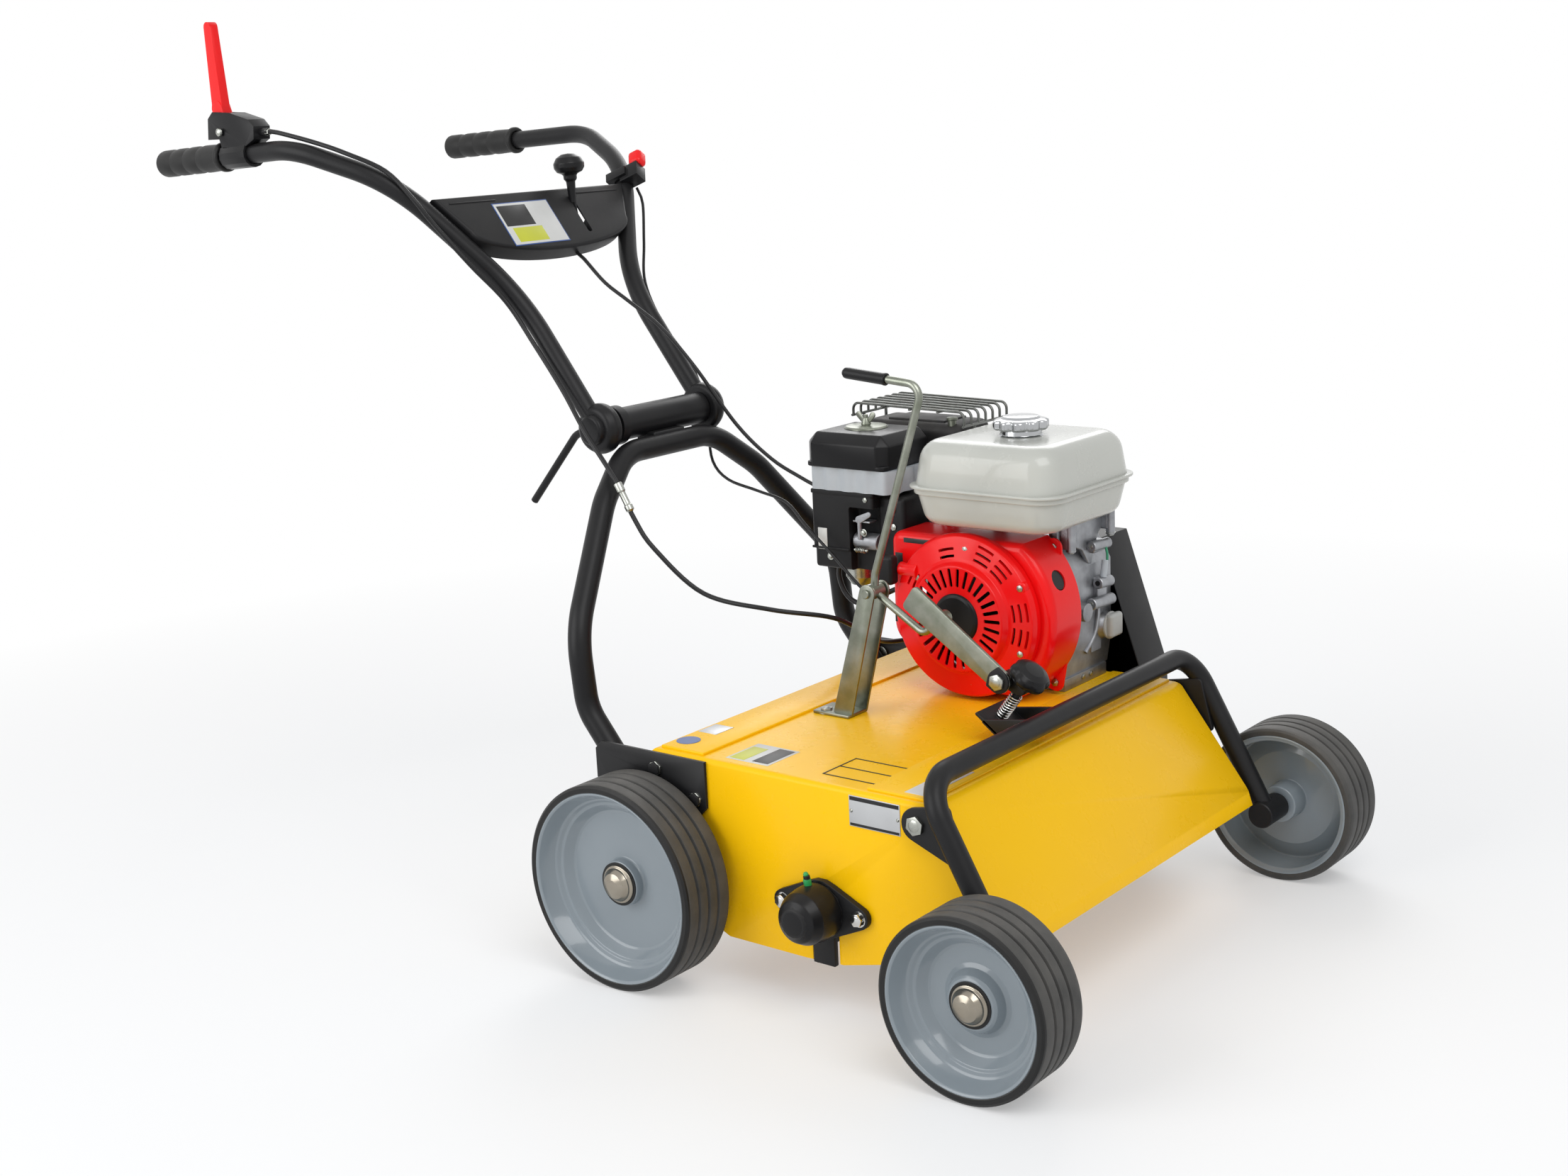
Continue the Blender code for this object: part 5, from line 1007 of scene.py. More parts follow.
done(cap, "bearing_cap_domed", CASE_BLACK, "machine")
nipple = turned([(0.0, 0.017), (0.0018, 0.017), (0.0032, 0.0145), (0.0024, 0.0115),
                 (0.0045, 0.0085), (0.0045, 0.0), (0.0, 0.0)], (0.247, outer - 0.0125, 0.034),
                (-0.12, -0.1, 1), 32, 0.0005, 2)
NIPPLE_GREEN = finish_for("nipple_green", (0.03, 0.36, 0.1), (0.02, 0.28, 0.08), 0.35,
                          patch_scale=80.0, dust=0.05, grain=0.05)
done(nipple, "grease_nipple", NIPPLE_GREEN, "machine")

# %% [markdown]
# ## Fan shroud
# The red shroud is a pressed steel bowl that leads the fan's air over the cylinder. Its
# outline is an arc round the crankshaft with a flat top and a small rounded corner. The
# outline is filled and extruded, the back is deleted, the front rim gets a wide radius, and
# Solidify gives the sheet. A round hole in the front is where the recoil cover sits. Two ears
# carry its bolts, and plain dark fields stand where such an engine has labels.

# %% Shroud
CRANK = (0.215, 0.256)
SHROUD_Y, SHROUD_BACK, SHROUD_R = 0.0853, 0.15, 0.12
TOP_CORNER, LEFT_CORNER, LOW_CORNER = (0.112, 0.336), (0.128, 0.232), (0.168, 0.187)
shroud_outline = (arc(SHROUD_R, -56.4, 51.6, 56, CRANK) + arc(0.014, 90, 180, 8, TOP_CORNER)
                  + arc(0.03, 180, 225, 5, LEFT_CORNER) + arc(0.03, 225, 262, 5, LOW_CORNER))


def at_crank(y):
    """The point of the crankshaft's axis at this y."""
    return (CRANK[0], y, CRANK[1])


shroud = plate(shroud_outline, SHROUD_BACK - SHROUD_Y, (SHROUD_BACK + SHROUD_Y) / 2)
opened(shroud, lambda f: f.normal.y > 0.9)
bevelled(shroud, lambda e: max(v.co.y for v in e.verts) < SHROUD_Y + 0.0001, 0.01, 7)
sheet(shroud, 0.002)
cut_with(shroud, rod(at_crank(0.07), at_crank(0.095), 0.08, steps=64),
         rod((0.3, 0.115, 0.292), (0.36, 0.115, 0.322), 0.013, steps=48))
eased(shroud, 0.0004, 1, 55)
done(shroud, "fan_shroud_pressed", RED, "machine", "fan_shroud")
liner = turned([(0.0, 0.0), (0.0118, 0.0), (0.0122, 0.004), (0.0, 0.004)], (0.3195, 0.115, 0.3025),
               (0.894, 0, 0.447), 48)
done(liner, "inspection_plug", CASE_BLACK, "machine")
EARS = (((0.3, 0.3365, 0.0115), (0.276, 0.33, 0.012), (0.3, 0.3, 0.012)),
        ((0.3, 0.1655, 0.0115), (0.27, 0.18, 0.014), (0.306, 0.2, 0.012)))
ears = [plate(hull(*discs), 0.003, 0.146, 0.0008) for discs in EARS]
done(joined(*ears), "shroud_ears", RED, "machine")
bolts("shroud_ear_bolts", [(eye[0], 0.1443, eye[1]) for eye, *_ in EARS], (0, -1, 0), 0.62)
for name, low, high in (("shroud_label_wide", (0.119, 0.337), (0.16, 0.343)),
                        ("shroud_label_tall", (0.1055, 0.298), (0.1165, 0.323)),
                        ("shroud_label_low", (0.1025, 0.233), (0.1125, 0.252))):
    label = block((low[0], 0.0848, low[1]), (high[0], 0.0856, high[1]), 0.0003, 2)
    done(label, name, LABEL_DARK, "machine")
print("shroud faces:", len(shroud.data.polygons))

# %% [markdown]
# ## Recoil cover
# The cover over the starter is the engine's face: a turned dome with a ring of radial slots
# and groups of curved slots outside it, which let cooling air in. The dome is spun as a closed
# wall. One slot is modelled and copied round, the curved ones are thin plates bent to an arc,
# and all of them are cut out together.

# %% Cover with its slots
cover_outer = [(0.0262, 0.03), (0.066, 0.03), (0.0695, 0.0215), (0.0735, 0.0195),
               (0.095, 0.016), (0.1, 0.015), (0.103, 0.0095), (0.103, 0.0)]
cover_inner = [(0.085, 0.0), (0.085, 0.014), (0.07, 0.0165), (0.0655, 0.0278),
               (0.0262, 0.0278)]
cover = turned(cover_outer + cover_inner + [cover_outer[0]], at_crank(0.0852),
               (0, -1, 0), 128, 0.0028, 5)
RADIAL_SLOTS, SLOT_SHIFT = 30, 0.2
master = block((0.04, -0.012, -0.0023), (0.063, 0.012, 0.0023), 0.0018, 3)
slots = []
for i in range(RADIAL_SLOTS):
    pick(master)
    bpy.ops.object.duplicate()
    slot = bpy.context.object
    turn = Matrix.Rotation(-math.tau * (i + SLOT_SHIFT) / RADIAL_SLOTS, 4, "Y")
    slot.matrix_world = Matrix.Translation(at_crank(0.0595)) @ turn @ slot.matrix_world
    slots.append(slot)
pick(master)
bpy.ops.object.delete()
CURVED_SLOTS = ((9.5, 3), (-11.5, 3), (47.0, 3), (67.0, 3), (104.0, 2), (150.0, 2))
FIRST_ROW, ROW_STEP, HALF_SLOT = 0.0765, 0.0088, 0.0017
for middle, rows in CURVED_SLOTS:
    for row in range(rows):
        radius, reach = FIRST_ROW + ROW_STEP * row, 8.2 - 0.5 * row
        outline = (arc(radius - HALF_SLOT, middle - reach, middle + reach, 10, CRANK)
                   + arc(radius + HALF_SLOT, middle + reach, middle - reach, 10, CRANK))
        slots.append(plate(outline, 0.026, 0.071, 0.0009))
cut_with(cover, joined(*slots))
done(cover, "recoil_cover_slotted", RED, "machine", "recoil_cover", angle=28)
print("slots cut:", len(slots), "cover faces:", len(cover.data.polygons))

# %% Starter disc, rope horn and cover bolts
disc = turned([(0.0, 0.0046), (0.027, 0.0042), (0.0305, 0.003), (0.0318, 0.0004),
               (0.0318, -0.0004), (0.025, -0.0004), (0.025, -0.006), (0.0, -0.006)],
              at_crank(0.0555), (0, -1, 0), soft=0.0012, arcs=3)
shaft = rod(at_crank(0.06), at_crank(0.1065), 0.012)
done(joined(disc, shaft), "starter_disc_turned", CASE_BLACK, "machine", "starter_disc")
horn = turned([(0.0, 0.0), (0.0105, 0.0), (0.0085, 0.01), (0.008, 0.022), (0.0088, 0.0265),
               (0.0088, 0.028), (0.0, 0.028)], (0.15, 0.073, 0.306), (-1, 0, 0), 48, 0.0015, 3)
done(horn, "rope_horn", RED, "machine")
grip = block((0.095, 0.0535, 0.287), (0.1208, 0.071, 0.324), 0.005, 5)
done(grip, "starter_grip_moulded", GRAINED_BLACK, "starter_grip", "starter_grip")
COVER_BOLTS = [(0.2988, 0.3007), (0.2216, 0.3406), (0.1489, 0.299), (0.1463, 0.2309),
               (0.2253, 0.1749), (0.2976, 0.219)]
lugs = [turned([(0.0, 0.0075), (0.006, 0.0075), (0.0078, 0.006), (0.0098, 0.0), (0.0, 0.0)],
               (x, 0.0765, z), (0, -1, 0), 32, 0.002) for x, z in COVER_BOLTS]
done(joined(*lugs), "cover_lugs", RED, "machine")
bolts("cover_bolts", [(x, 0.0692, z) for x, z in COVER_BOLTS], (0, -1, 0), 0.52)

# %% [markdown]
# ## Crankcase and cylinder
# The casting's solid is right in shape, so a copy of it is merged and its edges are eased. The
# solid's small oil plug is cut off, because a larger one stands in its place. What makes it
# look cast is in the finish: a strong, even grain and a worn, dull aluminium.

# %% Casting
casting = dressed("crankcase", 0.0016, 3, 25)
cut_with(casting, block((0.3062, 0.215, 0.18), (0.335, 0.252, 0.2145), 0.001))
done(casting, "crankcase_cast", CAST, "machine", "crankcase")
rim = [on_circle(CRANK, 0.07, a) for a in (-75, -48, -20, 8)]
bolts("crankcase_bolts", [(x, 0.152, z) for x, z in rim], (0, -1, 0), 0.55)
bolts("foot_bolts", [(0.291, y, 0.1645) for y in (0.166, 0.226)], (0, 0, 1), 0.75)
bolts("foot_screws", [(0.3045, y, 0.1585) for y in (0.204, 0.223)], (1, 0, 0), 0.42)

# %% [markdown]
# The casting's front shows what such an engine carries there: two posts and a web that hold
# the tank, bosses with their bolts, the oil switch's wire in its sleeve and the filler plug
# on a cast neck.

# %% Front of the casting
TANK_FOOT = 0.3668
OIL_PLUG_AT = (0.257, 0.215)
web = upright([(0.172, 0.366), (0.262, 0.366), (0.262, 0.348), (0.244, 0.337), (0.231, 0.318),
               (0.226, 0.3), (0.218, 0.302), (0.203, 0.322), (0.172, 0.334)],
              0.3, 0.306, 0.0014)
posts = [rod((0.312, 0.166, 0.327), (0.312, 0.166, TANK_FOOT), 0.0062),
         rod((0.315, 0.257, 0.333), (0.315, 0.257, TANK_FOOT), 0.0058),
         block((0.3, 0.16, 0.33), (0.312, 0.172, 0.366), 0.002),
         block((0.3, 0.251, 0.34), (0.315, 0.262, 0.366), 0.002)]
bosses = [rod((0.312, 0.214, 0.3245), (0.312, 0.256, 0.3225), 0.0066),
          block((0.298, 0.222, 0.314), (0.312, 0.25, 0.329), 0.0025),
          rod((0.314, 0.226, 0.2755), (0.314, 0.257, 0.2735), 0.0072),
          rod((0.313, 0.211, 0.2515), (0.313, 0.262, 0.249), 0.0074),
          block((0.3, 0.23, 0.244), (0.313, 0.252, 0.282), 0.003)]
plug_neck = turned([(0.0, 0.0145), (0.0145, 0.0145), (0.016, 0.01), (0.0215, 0.0), (0.0, 0.0)],
                   (0.3, 0.255, 0.215), (1, 0, 0), 48, 0.003)
cast_pipe = pipe(flowing([(0.306, 0.239, 0.246), (0.308, 0.2365, 0.232),
                          (0.307, 0.231, 0.212), (0.306, 0.222, 0.2),
                          (0.3055, 0.208, 0.189)], 0.004), 0.0028, 3)
done(joined(web, *posts, *bosses, plug_neck, cast_pipe), "crankcase_front", CAST, "machine")
bolts("tank_post_bolts", [(0.312, 0.166, 0.3274), (0.315, 0.257, 0.3334)], (0, 0, -1), 0.55)
bolts("boss_bolts", [(0.313, 0.2114, 0.2515), (0.312, 0.2144, 0.3245)], (0, -1, 0), 0.42)
OIL_PLUG = finish_for("oil_plug_pale", (0.42, 0.42, 0.4), (0.36, 0.36, 0.34),
                      0.42, patch_scale=60.0, dust=0.1, grain=0.1)
plug = block((0.3135, 0.244, 0.2005), (0.324, 0.2735, 0.231), 0.0046, 5)
collar = turned([(0, 0.003), (0.0175, 0.003), (0.018, 0.0), (0, 0)], (0.313, *OIL_PLUG_AT),
                (1, 0, 0), 48, 0.001)
done(joined(plug, collar), "oil_plug_square", OIL_PLUG, "machine")
# A thin black disc on the boss's end is painted shade: it stands for the dark inside of a hole that is
# not cut.
hole = turned([(0.0, 0.0004), (0.0034, 0.0002), (0.0034, -0.0006), (0.0, -0.0006)],
              (0.314, 0.2258, 0.2755), (0, -1, 0), 24)
done(hole, "boss_hole_painted_shade", CASE_BLACK, "machine")
WIRE_GREEN = finish_for("wire_green", (0.05, 0.3, 0.16), (0.04, 0.24, 0.13), 0.36,
                        patch_scale=60.0, dust=0.05, grain=0.05)
switch_wire = flowing([(0.316, 0.243, 0.32), (0.3175, 0.2445, 0.31),
                       (0.3165, 0.245, 0.3), (0.315, 0.242, 0.293)], 0.003)
done(pipe(switch_wire, 0.0017, 4), "oil_switch_wire", WIRE_GREEN, "machine")
sleeve = rod((0.3155, 0.2425, 0.303), (0.3145, 0.239, 0.281), 0.0042)
done(sleeve, "oil_switch_sleeve", MILKY, "machine")

# %% [markdown]
# ## Fuel tank
# The tank is two pressed halves welded along a flange. A cube is cut across at the seam, its
# top and bottom are drawn in, and the upright corners and rims are bevelled in that order, so
# that the corners come out as smooth as pressed ones. The flange and the step under it are
# thin slabs round it, and a plated neck carries the cap.

# %% Tank
TANK_LOW, TANK_HIGH = Vector((0.145, 0.053, 0.367)), Vector((0.353, 0.26, 0.4715))
TANK_SEAM, LEVEL = 0.415, 0.0001
FILLER = (0.253, 0.151)
pick()
bpy.ops.mesh.primitive_cube_add(size=1, location=(TANK_LOW + TANK_HIGH) / 2,
                                scale=TANK_HIGH - TANK_LOW)
tank = bpy.context.object
bpy.ops.object.transform_apply(location=True, rotation=False, scale=True)
edit(tank)
bpy.ops.mesh.bisect(plane_co=(0.2, 0.15, TANK_SEAM), plane_no=(0, 0, 1))
wide, deep = TANK_HIGH.x - TANK_LOW.x, TANK_HIGH.y - TANK_LOW.y
for level, inset in ((TANK_LOW.z, 0.009), (TANK_HIGH.z, 0.007)):
    bpy.ops.mesh.select_all(action="DESELECT")
    bm = bmesh.from_edit_mesh(tank.data)
    for v in bm.verts:
        v.select = abs(v.co.z - level) < LEVEL
    bm.select_flush(True)
    bmesh.update_edit_mesh(tank.data)
    bpy.ops.transform.resize(value=(1 - 2 * inset / wide, 1 - 2 * inset / deep, 1))
end_edit()
bevelled(tank, lambda e: abs(e.verts[0].co.z - e.verts[1].co.z) > 0.02, 0.036, 10)
for level, reach in ((TANK_HIGH.z, 0.023), (TANK_LOW.z, 0.014)):
    bevelled(tank, lambda e: all(abs(v.co.z - level) < LEVEL for v in e.verts)
             and any(abs(f.normal.z) < 0.7 for f in e.link_faces), reach, 8)


def tank_ring(x0, y0, x1, y1, low, high, ease):
    return slab(round_rectangle(x0, y0, x1, y1, 0.035, 0.008), low, high, ease)


flange = tank_ring(0.14, 0.048, 0.358, 0.265, 0.4134, 0.4168, 0.0011)
step = tank_ring(0.1438, 0.0518, 0.3542, 0.2612, 0.4062, 0.414, 0.0014)
done(joined(tank, flange, step), "fuel_tank_pressed", CREAM, "machine", "fuel_tank", angle=40)
neck = turned([(0.0, 0.011), (0.0255, 0.011), (0.026, 0.003), (0.03, 0.0), (0, 0)],
              (*FILLER, 0.47), (0, 0, 1), 64, 0.002)
done(neck, "filler_neck_plated", CHROME, "machine")
print("tank faces:", len(tank.data.polygons))

# %% [markdown]
# The filler cap is plated and has ten shallow scallops round its rim for the hand. It is spun
# with 120 steps, and then each vertex of the rim is moved out or in along its radius by a
# cosine with ten waves, which gives soft lobes with no extra faces.

# %% Filler cap
def lobed(ob, lobes, depth, from_radius, axis_point, axis):
    """Moves the outer vertices of a turned piece in and out along their radius."""
    axis_point, axis = Vector(axis_point), Vector(axis).normalized()
    across = axis.orthogonal().normalized()
    side = axis.cross(across)
    turn = ob.matrix_world
    back = turn.inverted()
    for v in ob.data.vertices:
        offset = turn @ v.co - axis_point
        along = axis * offset.dot(axis)
        radial = offset - along
        if radial.length > from_radius:
            angle = math.atan2(radial.dot(side), radial.dot(across))
            share = min(1.0, (radial.length - from_radius) / (0.12 * from_radius))
            radial *= 1 - depth * share * (0.5 - 0.5 * math.cos(lobes * angle)) ** 2
            v.co = back @ (axis_point + along + radial)


CAP_LOBES, CAP_AT = 10, (*FILLER, 0.479)
cap = turned([(0.0, 0.017), (0.015, 0.0168), (0.0215, 0.016), (0.025, 0.0132),
              (0.0305, 0.0122), (0.034, 0.0108), (0.0346, 0.009), (0.0346, 0.0022),
              (0.0325, 0.0), (0.0, 0.0)], CAP_AT, (0, 0, 1), 120, 0.0018, 5)
lobed(cap, CAP_LOBES, 0.13, 0.03, CAP_AT, (0, 0, 1))
done(cap, "fuel_cap_scalloped", CHROME, "fuel_cap", "fuel_cap", angle=40)

# %% [markdown]
# ## Air filter and carburettor
# The filter has a black cover with chamfered edges, cut flat at its foot and held by a washer
# and a wing nut, on a milky plastic band with scalloped sides. The band's outline is a rounded
# rectangle with a wave added to it, filled and extruded upwards. The carburettor sits below,
# with its bowl.

# %% Filter cover and band
X0, X1, Y0, Y1 = -0.039, 0.088, 0.09, 0.2
COVER_FOOT, COVER_CROWN, BAND_FOOT = 0.422, 0.466, 0.392
cover = block((X0, Y0, COVER_FOOT - 0.02), (X1, Y1, COVER_CROWN), 0.013, 1)
edit(cover)
bpy.ops.mesh.bisect(plane_co=(0, 0, COVER_FOOT), plane_no=(0, 0, 1), clear_inner=True, use_fill=True)
end_edit()
eased(cover, 0.002, 3, 20)
skirt_outline = round_rectangle(X0 + 0.0005, Y0 + 0.0005, X1 - 0.0005, Y1 - 0.0005, 0.012, 0.006)
skirt = slab(skirt_outline, COVER_FOOT, COVER_FOOT + 0.006, 0.0014)
done(joined(cover, skirt), "filter_cover_moulded", CASE_BLACK, "machine", "filter_cover")
BAND_X0, BAND_X1 = -0.0335, 0.093
WAVES, SWELL = 16, 0.024
outline = round_rectangle(BAND_X0, Y0 + 0.004, BAND_X1, Y1 - 0.004, 0.012)
cx, cy = (BAND_X0 + BAND_X1) / 2, (Y0 + Y1) / 2
wave = []
for i, (x, y) in enumerate(outline):
    swell = 1 + SWELL * math.cos(math.tau * WAVES * i / len(outline))
    wave.append((cx + (x - cx) * swell, cy + (y - cy) * swell))
band = slab(wave, BAND_FOOT, COVER_FOOT - 0.0003)
done(band, "filter_band_scalloped", MILKY, "machine", "filter_band", angle=50)
NUT_X, NUT_Y = 0.0175, 0.152
washer = turned([(0, 0.0042), (0.006, 0.0042), (0.0262, 0.0028), (0.0285, 0.0008),
                 (0.0285, -0.0004), (0, -0.0004)], (NUT_X, NUT_Y, COVER_CROWN), (0, 0, 1), 64, 0.0008)
stud = rod((NUT_X, NUT_Y, COVER_CROWN + 0.003), (NUT_X, NUT_Y, COVER_CROWN + 0.017), 0.003)
hub = turned([(0, 0.009), (0.0042, 0.009), (0.0068, 0.0), (0, 0)],
             (NUT_X, NUT_Y, COVER_CROWN + 0.0038), (0, 0, 1), 32, 0.001)
wings = [plate(hull((NUT_X + s * 0.004, COVER_CROWN + 0.008, 0.0026),
                    (NUT_X + s * 0.011, COVER_CROWN + 0.0165, 0.004)), 0.0024, NUT_Y, 0.0008)
         for s in (-1, 1)]
done(joined(washer, stud, hub, *wings), "filter_wing_nut", ZINC, "machine")

# %% Carburettor and bowl
LEFT, FRONT = -0.0335, 0.096
housing = block((LEFT, FRONT, 0.312), (0.064, 0.186, BAND_FOOT - 0.0003), 0.0035, 3)
lower = block((LEFT + 0.001, FRONT + 0.002, 0.288), (0.06, 0.178, 0.33), 0.0045, 3)
cut_with(housing, block((0.026, 0.08, 0.305), (0.07, 0.118, 0.372), 0.003))
cut_with(lower, block((0.026, 0.08, 0.28), (0.07, 0.112, 0.34), 0.003))
lip = slab(round_rectangle(LEFT - 0.0015, FRONT - 0.0015, 0.065, 0.187, 0.004, 0.008),
           0.386, 0.3915, 0.0012)
rim = block((LEFT - 0.0008, FRONT - 0.0012, 0.3135), (0.025, FRONT + 0.004, 0.3165), 0.0006, 2)
done(joined(housing, lower, lip, rim), "carburettor_housing", GRAINED_BLACK, "machine",
     "carburettor", angle=40)
bowl = turned([(0.0, 0.012), (0.0206, 0.012), (0.0206, 0.006), (0.0218, 0.005), (0.0218, 0.0025),
               (0.0206, 0.0015), (0.02, -0.012), (0.0135, -0.0225), (0.006, -0.024),
               (0.0052, -0.028), (0.0, -0.028)], (0.014, 0.135, 0.285), (0, 0, 1), 64, 0.002)
done(bowl, "float_bowl", BOLT, "machine")

# %% Throttle shaft, screws, intake and hose
throat = rod((0.027, 0.112, 0.326), (0.064, 0.112, 0.326), 0.011)
shaft_arm = plate(hull((0.04, 0.356, 0.005), (0.056, 0.364, 0.0035)), 0.002, 0.0985, 0.0006)
shelf = block((0.029, 0.1, 0.352), (0.056, 0.116, 0.3545), 0.0008)
stem = rod((0.04, 0.1, 0.33), (0.04, 0.1, 0.356), 0.003)
done(joined(throat, shaft_arm, shelf, stem), "carburettor_metal", CAST, "machine")
IDLE_POINTS, IDLE_TURN, IDLE_R = 60, 10, 0.003
coil = []
for i in range(IDLE_POINTS + 1):
    a = math.tau * i / IDLE_TURN
    coil.append(Vector((0.033 + 0.015 * i / IDLE_POINTS, 0.1 + IDLE_R * math.cos(a),
                        0.316 + IDLE_R * math.sin(a))))
screw = rod((0.03, 0.1, 0.316), (0.052, 0.1, 0.316), 0.0018)
done(joined(pipe(coil, 0.0007, 2), screw), "idle_screw", BOLT, "machine")
bolts("carburettor_screws", [(-0.0065, FRONT - 0.0002, 0.304), (0.0455, FRONT + 0.003, 0.339),
                             (0.053, FRONT, 0.383)], (0, -1, 0), 0.42)
bolts("intake_nuts", [(0.085, 0.112, z) for z in (0.37, 0.348)], (0, -1, 0), 0.55)
intake = block((0.06, 0.112, 0.305), (0.102, 0.178, 0.386), 0.006, 3)
done(intake, "intake_neck", GRAINED_BLACK, "machine")
label = block((-0.0245, FRONT - 0.0006, 0.313), (-0.01, FRONT + 0.0004, 0.341), 0.0003, 2)
done(label, "carburettor_label", LABEL_PALE, "machine")
hose = flowing([(-0.008, 0.118, 0.29), (-0.0095, 0.118, 0.272), (-0.002, 0.119, 0.252),
                (0.012, 0.121, 0.24), (0.032, 0.124, 0.24), (0.06, 0.13, 0.256),
                (0.09, 0.134, 0.27)], 0.004)
done(pipe(hose, 0.0034, 4), "breather_hose", CABLE, "machine")

# %% [markdown]
# ## Silencer and its wire guard
# The silencer is a black pressed box with well rounded edges. A cage of bent wire keeps hands
# off it: seven long wires run from left to right and bend down at both ends to a ring, with
# three wires across them underneath, all welded. Four legs carry the cage on the box.

# %% Silencer
box = block((-0.035, 0.212, 0.3855), (0.122, 0.29, 0.4655), 0.013, 6)
seam_outline = round_rectangle(-0.0365, 0.2105, 0.1235, 0.2915, 0.013, 0.006)
seam = slab(seam_outline, 0.423, 0.4262, 0.0012)
stub = rod((0.088, 0.232, 0.3565), (0.088, 0.232, 0.392), 0.0118)
cap = block((0.0000, 0.225, 0.464), (0.09, 0.277, 0.468), 0.0018, 3)
done(joined(box, seam, stub, cap), "silencer_pressed", STOVE_BLACK, "machine", "muffler")
studs = [rod((0.104, 0.222, low), (0.104, 0.222, high), radius)
         for low, high, radius in ((0.462, 0.472, 0.0055), (0.47, 0.474, 0.0075))]
done(joined(*studs), "silencer_stud", ZINC, "machine")

# %% Wire guard
GX0, GX1, GY0, GY1, WIRE_R = -0.04, 0.1355, 0.2025, 0.303, 0.0018
LONG_WIRES, CROSS_WIRES, LEG_ROWS = 7, (0.006, 0.05, 0.094), (0.226, 0.276)
LEFT_DROP, RIGHT_DROP = 0.0165, 0.0185


def guard_point(x, y, down=0.0):
    """The cage leans a little: its left end stands higher than its right end."""
    return (x, y, 0.4885 - 0.004 * (x - GX0) / (GX1 - GX0) - down)


wires = []
for i in range(LONG_WIRES):
    y = GY0 + (GY1 - GY0) * i / (LONG_WIRES - 1)
    ends = [guard_point(GX0, y, LEFT_DROP), guard_point(GX0, y), guard_point(GX1, y),
            guard_point(GX1, y, RIGHT_DROP)]
    wires.append(pipe(bent(ends, [0.009, 0.009], 7), WIRE_R, 3))
for x in CROSS_WIRES:
    wires.append(pipe([guard_point(x, GY0, 0.003), guard_point(x, GY1, 0.003)], WIRE_R * 0.9, 3))
for x, drop in ((GX0, LEFT_DROP), (GX1, RIGHT_DROP)):
    ends = [guard_point(x, GY0 - 0.003, drop), guard_point(x, GY1 + 0.003, drop)]
    wires.append(pipe(ends, WIRE_R, 3))
for x, edge, drop in ((GX0, -0.0345, LEFT_DROP), (GX1, 0.1215, RIGHT_DROP)):
    for y in LEG_ROWS:
        ends = [guard_point(x, y, drop), guard_point(x, y, 0.048), (edge, y, 0.44)]
        wires.append(pipe(bent(ends, [0.006], 5), WIRE_R * 1.2, 3))
done(joined(*wires), "silencer_guard_wires", WIRE, "machine", "muffler_guard")
print("guard wires:", len(wires))

# %% [markdown]
# ## Front axle and its lift gear
# The front wheels are carried by a bent tube that swings on a bolt at each side of the deck.
# A lever turns a short crank arm, the crank's pin slides in a grooved link, and the link pulls
# the axle up or lets it down. A black knob on a threaded spindle, with a spring under it, sets
# how deep the blades reach. The gear stands open to view, so every part of it is modelled.

# %% Axle tube and its fittings
PIVOT = (0.387, 0.128)
leg = [(0.512, -0.294, -0.0105), (0.405, -0.294, 0.182)]
axle_path = bent(leg + [(x, -y, z) for x, y, z in leg[::-1]], [0.045, 0.045], 14)
done(pipe(axle_path, 0.0125, 8), "axle_tube_bent", BLACK, "front_axle", "front_axle_frame")


def across_at(point, y0, y1, radius, ease=0.0008):
    """A rod along Y at a point of the side view."""
    return rod((point[0], y0, point[1]), (point[0], y1, point[1]), radius, ease)


for side, hand in SIDES:
    sleeve = across_at(FRONT_WHEEL, side * 0.276, side * 0.324, 0.0165, 0.0012)
    done(sleeve, "axle_sleeve_" + hand, BLACK, "front_axle")
    stub = across_at(FRONT_WHEEL, side * 0.279, side * 0.3745, 0.0099)
    done(stub, "stub_axle_" + hand, BRIGHT, "front_axle")
    ear = plate(hull((*PIVOT, 0.019), (0.424, 0.148, 0.006), (0.44, 0.092, 0.005)), 0.006,
                side * 0.2815, 0.001)
    spacer = across_at(PIVOT, side * 0.2753, side * 0.28, 0.01)
    done(joined(ear, spacer), "pivot_ear_" + hand, PRESSED_BLACK, "front_axle")
    for name, y, facing, size in (("pivot_bolt_", 0.2844, side, 1.35),
                                  ("pivot_nut_", 0.2716, -side, 0.85)):
        bolts(name + hand, [(PIVOT[0], side * y, PIVOT[1])], (0, facing, 0), size, body="front_axle")

# %% [markdown]
# The shelf stands square to the spindle, between two cheeks that reach down to the tube. Its
# outline is drawn in the shelf's own directions: forwards along it, and down the spindle.

# %% Spindle, block and shelf
LEVER_Y = -0.045
KNOB = Vector((0.3792, LEVER_Y, 0.2276))
DOWN = Vector((-0.595, 0.0, -0.804)).normalized()
ALONG_SHELF = Vector((-DOWN.z, 0.0, DOWN.x))
SHELF_TOP = KNOB + DOWN * 0.0605


def on_shelf(reach, depth, r):
    """A disc for an outline in the shelf's side view; reach runs forwards and down."""
    point = SHELF_TOP + ALONG_SHELF * reach + DOWN * depth
    return (point.x, point.z, r)


